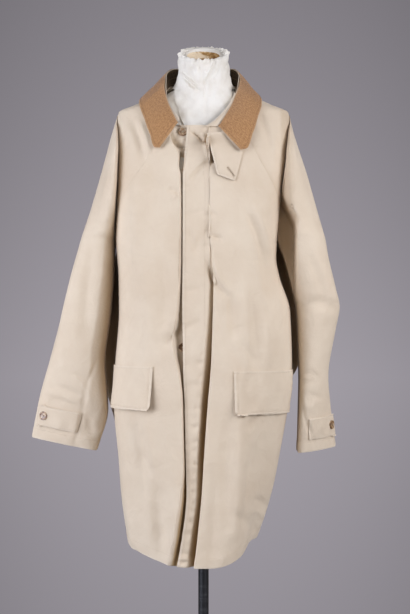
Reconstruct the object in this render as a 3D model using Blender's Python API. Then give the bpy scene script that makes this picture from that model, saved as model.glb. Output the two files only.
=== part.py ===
"""A raincoat with raglan sleeves, a fly front and a corduroy collar, on a limbless dress form and stand.

Metres, +Z up. The origin is the middle of the base's underside. The coat's front faces -Y and the
wearer's left is +X. Angles round the body start at the front and turn towards the wearer's left.
"""

import math

import bmesh
import bpy
import numpy as np
from mathutils import Vector

# Driving heights, from the floor
HEM = 0.443
UNDERARM = 1.165
SHOULDER_CORNER = 1.453
NECK_FRONT = 1.416
NECK_SIDE = 1.508
ARMHOLE_MIDDLE = 1.310

# Cloth
CLOTH = 0.0015
DOUBLE_CLOTH = 0.0022
UNDER_CLOTH = 0.0012
SEAM_GAP = 0.0005
SEAT_GAP = 0.0004
ON_PANEL = 0.0009

# Fly front
UNDERLAP_SHORT = 0.006
FOLD_ROLL = 0.010
FOLD_OVERHANG = 0.004
STRIP_ROLL = 0.008
STRIP_TURN_OUT = 0.002
STRIP_TURN_IN = 0.001
STRIP_TURN_SHARE = 0.6
DEEP_GROOVE = 0.020
GROOVE_STEPS = 6
FLY_TOP_DROP = 0.0015

# Pocket flaps
FLAP_WIDTH = 0.185
FLAP_DEPTH = 0.095
FLAP_COLUMNS = 9
FLAP_ROWS = 5
FLAP_CURL = 1.5
FLAP_SWEEP = math.radians(120)
SWEEP_STEPS = 200

# Buttons
BUTTON_RADIUS = 0.0100
BUTTON_THICK = 0.0040
BUTTON_DISH = 0.0010
BUTTON_RIM = 0.0022
BUTTON_SIDES = 20
SPARE_OFF = 0.0006
THROAT_OFF = -0.0001

# Dress form and stand
FORM_SIDES = 32
NECK_SLANT = math.radians(25)
NECK_SLANT_START = 1.530
NECK_TOP = 1.590
NECK_RIM = 0.012
NECK_RECESS = 0.022
RECESS_TAPER = 0.12
FORM_BOTTOM = 0.800
POLE_RADIUS = 0.012
BASE_RADIUS = 0.180
BASE_THICK = 0.008
BASE_EDGE = 0.003
HUB_RADIUS = 0.030
HUB_TAPER = 0.8
HUB_HEIGHT = 0.035
ROUND_SIDES = 40

SHARP_ANGLE = math.radians(40)
PROBE = 1e-3

# Colours, roughness and metallic of each material
FINISHES = {
    "raincoat_cotton": ((0.60, 0.54, 0.44), 0.85, 0.0),
    "collar_corduroy": ((0.30, 0.21, 0.13), 0.95, 0.0),
    "button_horn": ((0.16, 0.08, 0.03), 0.35, 0.0),
    "form_paper": ((0.75, 0.73, 0.70), 0.80, 0.0),
    "stand_metal": ((0.02, 0.02, 0.02), 0.45, 0.6),
}


def smooth_curve(places, values):
    """A cubic curve through the values that doesn't overshoot between them."""
    steps = np.diff(places)
    slopes = np.diff(values) / steps
    tangents = np.empty_like(values)
    tangents[0], tangents[-1] = slopes[0], slopes[-1]
    turning = slopes[:-1] * slopes[1:] <= 0
    total = np.where(turning, 1.0, slopes[:-1] + slopes[1:])
    tangents[1:-1] = np.where(turning, 0.0, 2 * slopes[:-1] * slopes[1:] / total)

    def at(place):
        place = np.clip(place, places[0], places[-1])
        i = np.clip(np.searchsorted(places, place) - 1, 0, len(steps) - 1)
        t = (place - places[i]) / steps[i]
        rise = steps[i] * (tangents[i] * t * (1 - t) ** 2 - tangents[i + 1] * t * t * (1 - t))
        ease = t * t * (3 - 2 * t)
        return values[i] * (1 - ease) + values[i + 1] * ease + rise

    return at


def table(names, *rows):
    """Smooth curves, by column name, over a table's first column."""
    cells = np.array(rows, dtype=float)
    cells = cells[np.argsort(cells[:, 0])]
    return {name: smooth_curve(cells[:, 0], cells[:, i + 1]) for i, name in enumerate(names)}


def ease(low, high, value):
    """A soft step from 0 at low to 1 at high."""
    t = np.clip((value - low) / (high - low), 0.0, 1.0)
    return t * t * (3 - 2 * t)


# The coat's outside round the body: half widths to the wearer's right and left, depths, and squareness
BODY = table(
    ("right", "left", "front", "back", "square"),
    (HEM, 0.172, 0.118, 0.193, 0.188, 2.3),
    (0.490, 0.180, 0.134, 0.190, 0.184, 2.3),
    (0.560, 0.188, 0.151, 0.184, 0.178, 2.4),
    (0.670, 0.195, 0.173, 0.176, 0.168, 2.5),
    (0.780, 0.204, 0.193, 0.168, 0.158, 2.7),
    (0.870, 0.202, 0.203, 0.163, 0.150, 2.8),
    (1.000, 0.193, 0.198, 0.152, 0.130, 3.0),
    (1.080, 0.194, 0.173, 0.145, 0.126, 3.3),
    (1.120, 0.197, 0.166, 0.142, 0.126, 3.4),
    (UNDERARM, 0.200, 0.168, 0.138, 0.126, 3.6),
    (1.250, 0.199, 0.176, 0.131, 0.126, 4.0),
    (1.350, 0.199, 0.192, 0.118, 0.122, 3.8),
    (1.400, 0.198, 0.196, 0.105, 0.115, 3.4),
    (1.430, 0.197, 0.197, 0.092, 0.108, 3.1),
    (SHOULDER_CORNER, 0.195, 0.195, 0.081, 0.101, 2.9),
    (1.470, 0.160, 0.160, 0.072, 0.094, 2.6),
    (1.490, 0.118, 0.118, 0.061, 0.083, 2.3),
    (NECK_SIDE, 0.080, 0.080, 0.053, 0.072, 2.2),
    (1.530, 0.060, 0.060, 0.046, 0.060, 2.2),
)

# Soft standing folds of the hanging cloth: angle and half width in degrees, rise, lowest and highest reach,
# and how gently it begins and ends where it has its own way
FOLDS = (
    (-17, 6, 0.010, 0.30, 0.72),
    (-31, 7, -0.006, 0.30, 0.68),
    (-62, 10, 0.006, 0.30, 0.80),
    (24, 8, 0.007, 0.30, 1.02),
    (44, 10, -0.007, 0.30, 0.86),
    (66, 10, 0.007, 0.30, 0.78),
    (119, 11, 0.044, 0.80, 1.182, 0.08),
    (134, 10, 0.009, 0.30, 0.98),
    (160, 10, -0.010, 0.30, 1.05),
    (183, 10, 0.010, 0.30, 1.00),
    (207, 10, -0.010, 0.30, 0.95),
    (229, 11, 0.008, 0.30, 0.90),
    (245, 11, 0.048, 0.66, 1.22),
    (249, 12, 0.008, 0.30, 0.80),
)
FOLD_FADE = 0.22

# The hem rises towards the sides: how far, and where it starts and ends, by angle, on the right and left
HEM_FADE = 0.720
HEM_RISE_RIGHT = (0.034, 8.0, 70.0)
HEM_RISE_LEFT = (0.045, 5.0, 55.0)
HEM_BACK = (100.0, 180.0)
HEM_BACK_DROP = 0.65

# The middle front: free edge of the fly, where the strip turns in, the left front's fold edge, depth of the
# groove between them, depth of the strip, where the right front turns in beside the fly, and its room below
MIDDLE = table(
    ("edge", "strip_end", "fold", "groove", "depth", "turn_out", "turn_in", "below"),
    (HEM, -0.0557, -0.0345, -0.0215, 0.036, 0.012, 0.024, 0.002, 0.008),
    (0.520, -0.0426, -0.0230, -0.0130, 0.038, 0.011, 0.022, 0.002, 0.010),
    (0.600, -0.0360, -0.0125, -0.0050, 0.038, 0.010, 0.015, 0.002, 0.008),
    (0.654, -0.0375, -0.0109, -0.0015, 0.038, 0.010, 0.007, 0.001, 0.006),
    (0.720, -0.0395, -0.0087, 0.0026, 0.038, 0.009, 0.006, 0.001, 0.005),
    (0.806, -0.0415, -0.0044, 0.0090, 0.038, 0.008, 0.006, 0.001, 0.005),
    (0.860, -0.0440, 0.0000, 0.0137, 0.036, 0.008, 0.010, 0.003, 0.007),
    (0.920, -0.0450, 0.0047, 0.0176, 0.032, 0.007, 0.023, 0.012, 0.009),
    (1.024, -0.0465, 0.0120, 0.0208, 0.022, 0.005, 0.010, 0.002, 0.007),
    (1.100, -0.0460, 0.0135, 0.0200, 0.010, 0.004, 0.006, 0.001, 0.005),
    (1.180, -0.0455, 0.0125, 0.0165, 0.003, 0.0028, 0.006, 0.001, 0.005),
    (1.290, -0.0455, 0.0125, 0.0165, 0.003, 0.0028, 0.007, 0.002, 0.006),
    (1.350, -0.0420, 0.0125, 0.0165, 0.003, 0.0028, 0.015, 0.008, 0.011),
    (1.385, -0.0385, 0.0125, 0.0165, 0.003, 0.0028, 0.036, 0.0215, 0.006),
    (1.400, -0.0375, 0.0125, 0.0165, 0.003, 0.0028, 0.036, 0.0215, 0.006),
    (1.430, -0.0360, 0.0125, 0.0165, 0.003, 0.0028, 0.036, 0.0215, 0.006),
)

# Raglan seams and the trough between body and sleeve, as angles round the body at each height
RAGLAN = table(
    ("front_seam", "back_seam", "front_trough", "back_trough"),
    (UNDERARM, 90.0, 90.0, 90.0, 90.0),
    (1.169, 88.0, 92.0, 88.7, 91.3),
    (1.190, 80.0, 100.0, 83.0, 97.0),
    (1.215, 71.0, 109.0, 78.0, 102.0),
    (1.250, 62.0, 118.0, 73.0, 107.0),
    (1.300, 53.0, 127.0, 70.0, 110.0),
    (1.350, 46.5, 133.0, 70.0, 110.0),
    (1.405, 41.5, 137.5, 76.0, 104.0),
    (SHOULDER_CORNER, 40.0, 140.0, 90.0, 90.0),
    (1.512, 40.0, 140.0, 90.0, 90.0),
)

# Heights where each row of a sleeve's upper part leaves the front seam, the back seam and its outer edge
RAGLAN_ROWS = (
    (1.169, 1.169, 1.169),
    (1.190, 1.190, 1.200),
    (1.215, 1.215, 1.240),
    (1.250, 1.250, 1.295),
    (1.285, 1.295, 1.350),
    (1.320, 1.345, 1.405),
    (1.350, 1.395, SHOULDER_CORNER),
    (1.380, 1.440, 1.470),
    (1.410, 1.480, 1.489),
    (1.438, 1.512, NECK_SIDE),
)
TROUGH_ROWS = 7

# Heights of the neckline by angle
NECKLINE = table(
    ("height",),
    (0, NECK_FRONT),
    (30, 1.424),
    (45, 1.448),
    (65, 1.493),
    (90, NECK_SIDE),
    (140, 1.512),
    (180, 1.515),
)

# Rows of the body panels below the underarm, and their columns
PANEL_ROWS = (HEM, 0.475, 0.520, 0.575, 0.635, 0.695, 0.755, 0.815, 0.870, 0.925, 0.985, 1.045, 1.105)
RIGHT_COLUMNS = 10
LEFT_COLUMNS = 12
BACK_HALF_COLUMNS = 12
TURN_STEPS = 4

# Sleeves, as distances out from the middle: inner and outer edge, how far front and back stand from the
# line between them, and the rise of each row towards its outer edge
SLEEVE_COLUMNS = ("inner", "inner_y", "outer", "outer_y", "lean", "front", "back", "rise")
RIGHT_SLEEVE = table(
    SLEEVE_COLUMNS,
    (SHOULDER_CORNER, 0.195, 0.000, 0.1955, 0.000, 0.000, 0.004, 0.004, 0.00),
    (1.405, 0.199, 0.000, 0.2105, 0.000, -0.001, 0.036, 0.036, 0.00),
    (1.345, 0.199, 0.000, 0.2266, 0.000, -0.003, 0.058, 0.058, 0.00),
    (1.280, 0.200, 0.000, 0.2449, 0.000, -0.004, 0.064, 0.064, 0.00),
    (1.230, 0.200, 0.000, 0.2590, 0.000, -0.003, 0.070, 0.071, 0.00),
    (1.195, 0.200, 0.000, 0.2692, 0.000, 0.000, 0.080, 0.080, 0.00),
    (UNDERARM, 0.2008, 0.000, 0.2780, 0.000, 0.001, 0.092, 0.090, 0.00),
    (1.100, 0.2035, -0.002, 0.2970, 0.000, 0.000, 0.086, 0.088, 0.02),
    (1.000, 0.2120, -0.004, 0.3210, 0.000, 0.000, 0.076, 0.080, 0.06),
    (0.890, 0.2255, -0.006, 0.3490, 0.000, 0.000, 0.062, 0.066, 0.12),
    (0.790, 0.2190, -0.008, 0.3750, 0.002, 0.000, 0.047, 0.050, 0.18),
    (0.697, 0.2440, -0.010, 0.3930, 0.004, 0.000, 0.036, 0.038, 0.20),
)
LEFT_SLEEVE = table(
    SLEEVE_COLUMNS,
    (SHOULDER_CORNER, 0.195, 0.000, 0.1955, 0.000, 0.000, 0.004, 0.004, 0.00),
    (1.405, 0.197, 0.000, 0.2080, 0.000, -0.001, 0.036, 0.036, 0.00),
    (1.309, 0.188, 0.000, 0.2390, 0.000, -0.004, 0.068, 0.066, 0.00),
    (1.260, 0.182, 0.000, 0.2530, 0.000, -0.005, 0.073, 0.070, 0.00),
    (1.214, 0.178, 0.000, 0.2654, 0.000, -0.004, 0.081, 0.077, 0.00),
    (1.190, 0.1705, 0.000, 0.2715, 0.000, -0.002, 0.090, 0.084, 0.00),
    (UNDERARM, 0.1688, 0.000, 0.2780, 0.000, -0.001, 0.100, 0.092, 0.00),
    (1.120, 0.1840, -0.002, 0.2864, 0.000, -0.002, 0.096, 0.090, 0.00),
    (1.050, 0.2020, -0.004, 0.3025, 0.002, 0.000, 0.088, 0.086, 0.02),
    (1.008, 0.2108, -0.006, 0.3114, 0.004, 0.000, 0.082, 0.084, 0.03),
    (0.955, 0.2142, -0.010, 0.3025, 0.008, 0.000, 0.078, 0.080, 0.03),
    (0.849, 0.2180, -0.018, 0.2864, 0.018, 0.000, 0.074, 0.072, 0.04),
    (0.790, 0.2175, -0.024, 0.2920, 0.024, -0.002, 0.068, 0.066, 0.08),
    (0.685, 0.2150, -0.030, 0.3060, 0.030, -0.004, 0.054, 0.054, 0.10),
)
SLEEVE_ROWS = (1.130, 1.085, 1.045, 1.008, 0.965, 0.910, 0.855, 0.805, 0.765, 0.730)
SLEEVE_COLUMNS_ROUND = 13
FLATNESS = 0.42
FRONT_FLAT = (1.42, 1.22)
BACK_FLAT = (1.10, 0.95)
CUFF_FLATNESS = 0.18
CUFF_HEIGHTS = (0.95, 0.75)
RAGLAN_COLUMNS = 5
STRAP_COLUMNS = 9
STRAP_ROWS = 3
RIGHT_CUFF = 0.697
LEFT_CUFF = 0.685

# Collar from the right front end round the back to the left front end: roll line, then where the fall's
# edge lies on the coat and how far it stands off, how far its crown drops to a straight fall and swells
# forward there, and the neckline
COLLAR = table(
    ("roll_x", "roll_y", "roll_z", "roll_gap", "edge_angle", "edge_z", "lift", "drop", "swell", "neck_angle"),
    (0.00, -0.0550, -0.0930, 1.4320, 0.0022, -40.0, 1.359, 0.007, 1.00, 0.016, -30.0),
    (0.03, -0.0617, -0.0878, 1.4409, 0.0025, -43.2, 1.360, 0.007, 0.85, 0.014, -34.1),
    (0.09, -0.0740, -0.0760, 1.4600, 0.0030, -49.3, 1.392, 0.007, 0.50, 0.010, -43.0),
    (0.19, -0.0860, -0.0350, 1.5070, 0.0030, -61.3, 1.443, 0.006, 0.45, 0.004, -67.0),
    (0.24, -0.0867, -0.0126, 1.5260, 0.0024, -65.8, 1.458, 0.006, 0.75, 0.000, -80.0),
    (0.29, -0.0870, 0.0100, 1.5430, 0.0015, -90.0, 1.483, 0.006, 0.85, 0.000, -95.0),
    (0.39, -0.0700, 0.0520, 1.5650, 0.0007, -128.0, 1.454, 0.006, 0.50, 0.000, -138.0),
    (0.50, 0.0000, 0.0800, 1.5700, 0.0006, -180.0, 1.440, 0.006, 0.00, 0.000, -180.0),
    (0.61, 0.0690, 0.0520, 1.5650, 0.0007, -232.0, 1.454, 0.006, 0.50, 0.000, -222.0),
    (0.71, 0.0830, 0.0100, 1.5430, 0.0018, -270.0, 1.495, 0.006, 0.85, 0.000, -265.0),
    (0.76, 0.0808, -0.0124, 1.5260, 0.0029, -296.9, 1.460, 0.006, 0.75, 0.000, -280.3),
    (0.81, 0.0760, -0.0350, 1.5050, 0.0036, -302.0, 1.443, 0.007, 0.45, 0.004, -294.0),
    (0.91, 0.0550, -0.0780, 1.4530, 0.0036, -313.6, 1.392, 0.010, 0.50, 0.010, -322.0),
    (0.97, 0.0392, -0.0918, 1.4332, 0.0028, -320.8, 1.356, 0.012, 0.85, 0.014, -334.2),
    (1.00, 0.0310, -0.0980, 1.4240, 0.0022, -324.9, 1.353, 0.013, 1.00, 0.016, -340.0),
)
COLLAR_STEPS = 24
FALL_STEPS = 5
STAND_STEPS = 3
ROLL_CROWN = 0.002
CROWN_SHARE = 0.5
STAND_LIFT = 0.0012
STAND_IN = 0.0015
UNDER_SHOWS = 0.0014

# Storm tab corners on the chest: across from the middle, height, and how far it stands off
TAB_TOP_INNER = (0.0080, 1.391, 0.008)
TAB_TOP_OUTER = (0.1000, 1.402, -0.0002)
TAB_BOTTOM_INNER = (0.0300, 1.3010, 0.0035)
TAB_BOTTOM_OUTER = (0.0702, 1.2865, 0.0012)
TAB_STEPS = 6

# Dress form: half width, front and back depths and squareness
FORM = table(
    ("half", "front", "back", "square"),
    (FORM_BOTTOM, 0.140, 0.098, 0.105, 2.2),
    (0.860, 0.160, 0.112, 0.122, 2.2),
    (0.930, 0.166, 0.114, 0.122, 2.2),
    (1.010, 0.148, 0.106, 0.110, 2.2),
    (1.090, 0.130, 0.100, 0.098, 2.2),
    (1.180, 0.138, 0.106, 0.096, 2.3),
    (1.280, 0.156, 0.110, 0.098, 2.4),
    (1.360, 0.164, 0.096, 0.094, 2.4),
    (1.420, 0.170, 0.074, 0.082, 2.3),
    (1.445, 0.172, 0.064, 0.070, 2.0),
    (1.462, 0.168, 0.058, 0.064, 1.7),
    (1.490, 0.104, 0.056, 0.062, 1.5),
    (1.506, 0.071, 0.056, 0.060, 1.6),
    (1.520, 0.0610, 0.057, 0.060, 1.8),
    (1.545, 0.0550, 0.057, 0.060, 2.0),
    (1.600, 0.0515, 0.055, 0.060, 2.0),
)
FORM_ROWS = (
    FORM_BOTTOM, 0.815, 0.840, 0.880, 0.930, 0.985, 1.040, 1.090, 1.150, 1.220, 1.290, 1.350, 1.400, 1.430,
    1.450, 1.462, 1.470, 1.480, 1.490, 1.498, 1.506, 1.518, 1.532, 1.550, 1.570, NECK_TOP,
)
SHOULDER_SEAT = 0.0023
SEAT_START = 1.455


def oval(angle, half, front, back, square):
    """Distance from the axis to a squared oval at an angle from the front."""
    sine, cosine = np.abs(np.sin(angle)), np.cos(angle)
    depth = np.where(cosine > 0, front, back)
    return ((np.abs(cosine) / depth) ** square + (sine / half) ** square) ** (-1 / square)


def fold_rise(angle, height):
    """How far the standing folds lift the cloth at an angle and height."""
    total = 0.0
    for middle, width, rise, low, high, *own in FOLDS:
        fade = own[0] if own else FOLD_FADE
        away = np.degrees(angle) - middle
        away = (away + 180) % 360 - 180
        reach = ease(low, low + fade, height) * ease(high, high - fade, height)
        total = total + rise * np.exp(-((away / width) ** 2)) * reach
    return total


def hem_rise(angle):
    """How far the hem rises at an angle, most at the sides and less at the back."""
    turned = np.abs((np.degrees(angle) + 180) % 360 - 180)
    sides = [rise * ease(start, end, turned) for rise, start, end in (HEM_RISE_RIGHT, HEM_RISE_LEFT)]
    return np.where(np.sin(angle) > 0, sides[1], sides[0]) * (1 - HEM_BACK_DROP * ease(*HEM_BACK, turned))


def body(angle, height):
    """Point on the coat's outside at an angle round the body and a height."""
    angle, height = np.broadcast_arrays(np.asarray(angle, float), np.asarray(height, float))
    half = np.where(np.sin(angle) > 0, BODY["left"](height), BODY["right"](height))
    radius = oval(angle, half, BODY["front"](height), BODY["back"](height), BODY["square"](height))
    radius = radius + fold_rise(angle, height)
    z = height + hem_rise(angle) * ease(HEM_FADE, HEM, height)
    return np.stack([radius * np.sin(angle), -radius * np.cos(angle), z], axis=-1)


def angle_at(across, height):
    """Angle of the coat's front at a distance across from the middle."""
    half = np.where(across > 0, BODY["left"](height), BODY["right"](height))
    square = BODY["square"](height)
    share = np.clip(1 - (np.abs(across) / half) ** square, 0.0, 1.0)
    return np.arctan2(across, BODY["front"](height) * share ** (1 / square))


def normals_of(grid):
    """Unit normals of a grid of points, by columns crossed with rows."""
    along = np.gradient(grid, axis=1, edge_order=2)
    up = np.gradient(grid, axis=0, edge_order=2)
    normal = np.cross(along, up)
    length = np.linalg.norm(normal, axis=-1, keepdims=True)
    return normal / np.maximum(length, 1e-12)


class Sheet:
    """Joined grids of outer points, made into a closed wall of even thickness."""

    def __init__(self):
        self.points = []
        self.inward = []
        self.places = {}
        self.faces = []

    def vertex(self, point, normal):
        """Index of a point, shared with any grid that already has it."""
        key = tuple(round(float(c), 6) for c in point)
        if key not in self.places:
            self.places[key] = len(self.points)
            self.points.append(Vector(point))
            self.inward.append(-Vector(normal))
        return self.places[key]

    def add(self, grid, normals):
        """Adds a grid's quads, with collapsed corners left out."""
        rows, columns = grid.shape[:2]
        index = [[self.vertex(grid[r, c], normals[r, c]) for c in range(columns)] for r in range(rows)]
        for r in range(rows - 1):
            for c in range(columns - 1):
                corners = (index[r][c], index[r][c + 1], index[r + 1][c + 1], index[r + 1][c])
                corners = tuple(dict.fromkeys(corners))
                if len(corners) > 2:
                    self.faces.append(corners)

    def wall(self, name, thickness, finish):
        """Makes the object: outer faces, inner faces and the edge between them."""
        mesh = bmesh.new()
        outer = [mesh.verts.new(p) for p in self.points]
        inner = [mesh.verts.new(p + n * thickness) for p, n in zip(self.points, self.inward)]
        counts = {}
        for face in self.faces:
            mesh.faces.new([outer[i] for i in face])
            mesh.faces.new([inner[i] for i in reversed(face)])
            for a, b in zip(face, face[1:] + face[:1]):
                counts.setdefault((min(a, b), max(a, b)), []).append((a, b))
        for ways in counts.values():
            if len(ways) == 1:
                a, b = ways[0]
                mesh.faces.new([outer[b], outer[a], inner[a], inner[b]])
        return finish_mesh(name, mesh, finish)


def finish_mesh(name, mesh, finish):
    """Turns a closed mesh into a named, smooth-shaded object of one finish."""
    bmesh.ops.triangulate(mesh, faces=mesh.faces[:])
    data = bpy.data.meshes.new(name)
    mesh.to_mesh(data)
    mesh.free()
    data.shade_smooth()
    data.set_sharp_from_angle(angle=SHARP_ANGLE)
    data.materials.append(finish_material(finish))
    piece = bpy.data.objects.new(name, data)
    bpy.context.scene.collection.objects.link(piece)
    return piece


def finish_material(finish):
    """The material of a finish, made once."""
    material = bpy.data.materials.get(finish)
    if material is None:
        colour, roughness, metallic = FINISHES[finish]
        material = bpy.data.materials.new(finish)
        material.use_nodes = True
        shader = material.node_tree.nodes["Principled BSDF"]
        shader.inputs["Base Color"].default_value = (*colour, 1.0)
        shader.inputs["Roughness"].default_value = roughness
        shader.inputs["Metallic"].default_value = metallic
    return material


def plain_wall(name, grid, thickness, finish="raincoat_cotton", turned=False):
    """A wall of one grid, whose outside is on its normals' side, or the other side if turned."""
    if turned:
        grid = grid[:, ::-1]
    sheet = Sheet()
    sheet.add(grid, normals_of(grid))
    return sheet.wall(name, thickness, finish)


def trimmed(angle_degrees, height, sign):
    """A seam's angle in radians, moved off the seam by half its gap."""
    angle = np.radians(angle_degrees)
    radius = np.linalg.norm(body(angle, height)[..., :2], axis=-1)
    return angle + sign * SEAM_GAP / 2 / radius


def front_rows():
    """Heights of a front panel's rows at its outer edge and at its inner edge, and the outer angles."""
    below = np.array(PANEL_ROWS + (UNDERARM - SEAM_GAP,))
    above = np.array([row[0] for row in RAGLAN_ROWS])
    outer = np.concatenate([below, above])
    seam = np.concatenate([np.full(len(below), 90.0), RAGLAN["front_seam"](above)])
    inner = HEM + (outer - HEM) * (NECK_FRONT - HEM) / (above[-1] - HEM)
    return outer, inner, seam


def fly_depth(across, height):
    """How far the right front lies behind the coat's outside, beside and under the fly."""
    edge = MIDDLE["edge"](height)
    turn = ease(edge - MIDDLE["turn_out"](height), edge - MIDDLE["turn_in"](height), across)
    return turn * (MIDDLE["depth"](height) + DOUBLE_CLOTH + MIDDLE["below"](height))


def rise_share(top_angles):
    """Share of a panel's rise from its inner to its outer edge at each column, from the neckline."""
    height = NECKLINE["height"](np.abs(np.degrees(top_angles)))
    return (height - height[0]) / (height[-1] - height[0])


def right_front_grid():
    """Outside of the right front, from its hidden edge under the fly to its side and raglan seams."""
    outer, inner, seam = front_rows()
    edge = MIDDLE["edge"](inner)
    turn_out, turn_in = MIDDLE["turn_out"](inner), MIDDLE["turn_in"](inner)
    hidden = MIDDLE["strip_end"](inner) - UNDERLAP_SHORT
    across = [hidden, (hidden + edge - turn_in) / 2, edge - turn_in]
    across += [edge - turn_in - (turn_out - turn_in) * s / TURN_STEPS for s in range(1, TURN_STEPS + 1)]
    across = np.stack(across, axis=1)
    near = angle_at(across, inner[:, None])
    far = -trimmed(seam, outer, -1)
    share = np.linspace(0, 1, RIGHT_COLUMNS + 1)[1:]
    panel = near[:, -1:] + (far[:, None] - near[:, -1:]) * share
    angles = np.concatenate([near, panel], axis=1)
    lift = np.concatenate([np.zeros(near.shape[1]), rise_share(panel[-1])], axis=0)
    heights = inner[:, None] + (outer - inner)[:, None] * lift
    grid = body(angles, heights)
    grid[..., 1] += fly_depth(grid[..., 0], heights)
    return grid


def groove_seam(height):
    """Distance across of the seam at the bottom of the groove between the fly and the left front."""
    deep = ease(0.0, DEEP_GROOVE, MIDDLE["groove"](height))
    return MIDDLE["fold"](height) + FOLD_OVERHANG * (1.5 * deep - 0.5)


def plan_curve(across, depth):
    """Points of a curve in plan at each height, from its four controls' distances across and depths."""
    t = np.linspace(0, 1, GROOVE_STEPS)
    weights = np.stack([(1 - t) ** 3, 3 * t * (1 - t) ** 2, 3 * t * t * (1 - t), t**3])
    return np.stack(across, axis=1) @ weights, np.stack(depth, axis=1) @ weights


def fold_plan(height):
    """The left front's folded edge in plan, from the seam at the bottom of the groove to its face."""
    fold, groove, seam = MIDDLE["fold"](height), MIDDLE["groove"](height), groove_seam(height)
    overhang = FOLD_OVERHANG * ease(0.0, DEEP_GROOVE, groove)
    face = np.zeros_like(groove)
    return plan_curve((seam, seam, fold - overhang, fold + FOLD_ROLL), (groove, groove / 2, face, face))


def strip_plan(height):
    """The strip's turned edge in plan, from its face to the seam at the bottom of the groove."""
    end, groove, depth = MIDDLE["strip_end"](height), MIDDLE["groove"](height), MIDDLE["depth"](height)
    seam = groove_seam(height) - SEAM_GAP
    lower = np.maximum(groove * STRIP_TURN_SHARE, depth)
    across = (end - STRIP_ROLL, end + STRIP_TURN_OUT, end + STRIP_TURN_IN, seam)
    return plan_curve(across, (depth, depth, lower, groove))


def left_front_grid():
    """Outside of the left front, from its seam with the fly strip round its fold to the side seam."""
    outer, inner, seam = front_rows()
    across, back = fold_plan(inner)
    near = angle_at(across, inner[:, None])
    far = trimmed(seam, outer, -1)
    share = np.linspace(0, 1, LEFT_COLUMNS + 1)[1:]
    panel = near[:, -1:] + (far[:, None] - near[:, -1:]) * share
    angles = np.concatenate([near, panel], axis=1)
    lift = np.concatenate([np.zeros(near.shape[1]), rise_share(panel[-1])], axis=0)
    heights = inner[:, None] + (outer - inner)[:, None] * lift
    grid = body(angles, heights)
    grid[:, :GROOVE_STEPS, 1] += back
    return grid


def fly_grid():
    """Outside of the fly strip, from its free edge to its seam with the left front."""
    heights = front_rows()[1]
    heights[-1] -= FLY_TOP_DROP
    edge, depth = MIDDLE["edge"](heights), MIDDLE["depth"](heights)
    turned, back = strip_plan(heights)
    across = np.concatenate([edge[:, None], (edge[:, None] + turned[:, :1]) / 2, turned], axis=1)
    back = np.concatenate([depth[:, None], depth[:, None], back], axis=1)
    grid = body(angle_at(across, heights[:, None]), np.broadcast_to(heights[:, None], across.shape))
    grid[..., 1] += back
    return grid


def back_grid():
    """Outside of the back, from side seam to side seam and up to the neckline."""
    below = np.array(PANEL_ROWS + (UNDERARM - SEAM_GAP,))
    above = np.array([row[1] for row in RAGLAN_ROWS])
    outer = np.concatenate([below, above])
    seam = np.concatenate([np.full(len(below), 90.0), RAGLAN["back_seam"](above)])
    middle = HEM + (outer - HEM) * (NECKLINE["height"](180.0) - HEM) / (above[-1] - HEM)
    start = trimmed(seam, outer, 1)
    share = np.linspace(0, 1, BACK_HALF_COLUMNS + 1)
    half = start[:, None] + (math.pi - start)[:, None] * share
    angles = np.concatenate([half, 2 * math.pi - half[:, -2::-1]], axis=1)
    lift = np.concatenate([share, share[-2::-1]])
    heights = outer[:, None] + (middle - outer)[:, None] * lift
    return body(angles, heights)


def raglan_grid(side, front):
    """Upper part of a half sleeve, from its raglan seam to the trough, then to the shoulder line."""
    rows = np.array(RAGLAN_ROWS)
    seam_heights, outer_heights = rows[:, 0 if front else 1], rows[:, 2]
    sign = 1 if front else -1
    column = "front" if front else "back"
    seam = trimmed(RAGLAN[column + "_seam"](seam_heights), seam_heights, sign)
    trough = RAGLAN[column + "_trough"](outer_heights)
    trough[TROUGH_ROWS - 1 :] = 90.0
    end = np.radians(trough)
    end[TROUGH_ROWS - 1 :] = trimmed(trough[TROUGH_ROWS - 1 :], outer_heights[TROUGH_ROWS - 1 :], -sign)
    share = np.linspace(0, 1, RAGLAN_COLUMNS + 1)
    angles = seam[:, None] + (end - seam)[:, None] * share
    lift = rise_share(angles[-1])
    heights = seam_heights[:, None] + (outer_heights - seam_heights)[:, None] * lift
    return body(side * angles, heights)


def flatness(front, height):
    """How flat a sleeve's front or back lies at each height, from 0 for a plain oval."""
    reach = FRONT_FLAT if front else BACK_FLAT
    return FLATNESS * ease(*reach, height) + CUFF_FLATNESS * ease(*CUFF_HEIGHTS, height)


def sleeve_points(side, front, turn, height):
    """Points of a half sleeve's tube, turned from its inner edge over its front or back to its outer edge."""
    sizes = LEFT_SLEEVE if side > 0 else RIGHT_SLEEVE
    turn, height = np.broadcast_arrays(turn, height)
    column = "front" if front else "back"
    trough = np.radians(RAGLAN[column + "_trough"](height))
    on_body = body(side * trough, height)
    above = height > UNDERARM
    inner_x = np.where(above, side * on_body[..., 0], sizes["inner"](height))
    inner_y = np.where(above, on_body[..., 1], sizes["inner_y"](height))
    outer_x, outer_y = sizes["outer"](height), sizes["outer_y"](height)
    reach = sizes[column](height) * (-1 if front else 1)
    middle_x, middle_y = (inner_x + outer_x) / 2, (inner_y + outer_y) / 2
    round_out = np.sin(turn) ** (1 - flatness(front, height))
    x = middle_x + (inner_x - outer_x) / 2 * np.cos(turn) + sizes["lean"](height) * round_out
    y = middle_y + (inner_y - outer_y) / 2 * np.cos(turn) + reach * round_out
    z = height + sizes["rise"](height) * (x - middle_x)
    return np.stack([side * x, y, z], axis=-1)


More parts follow.
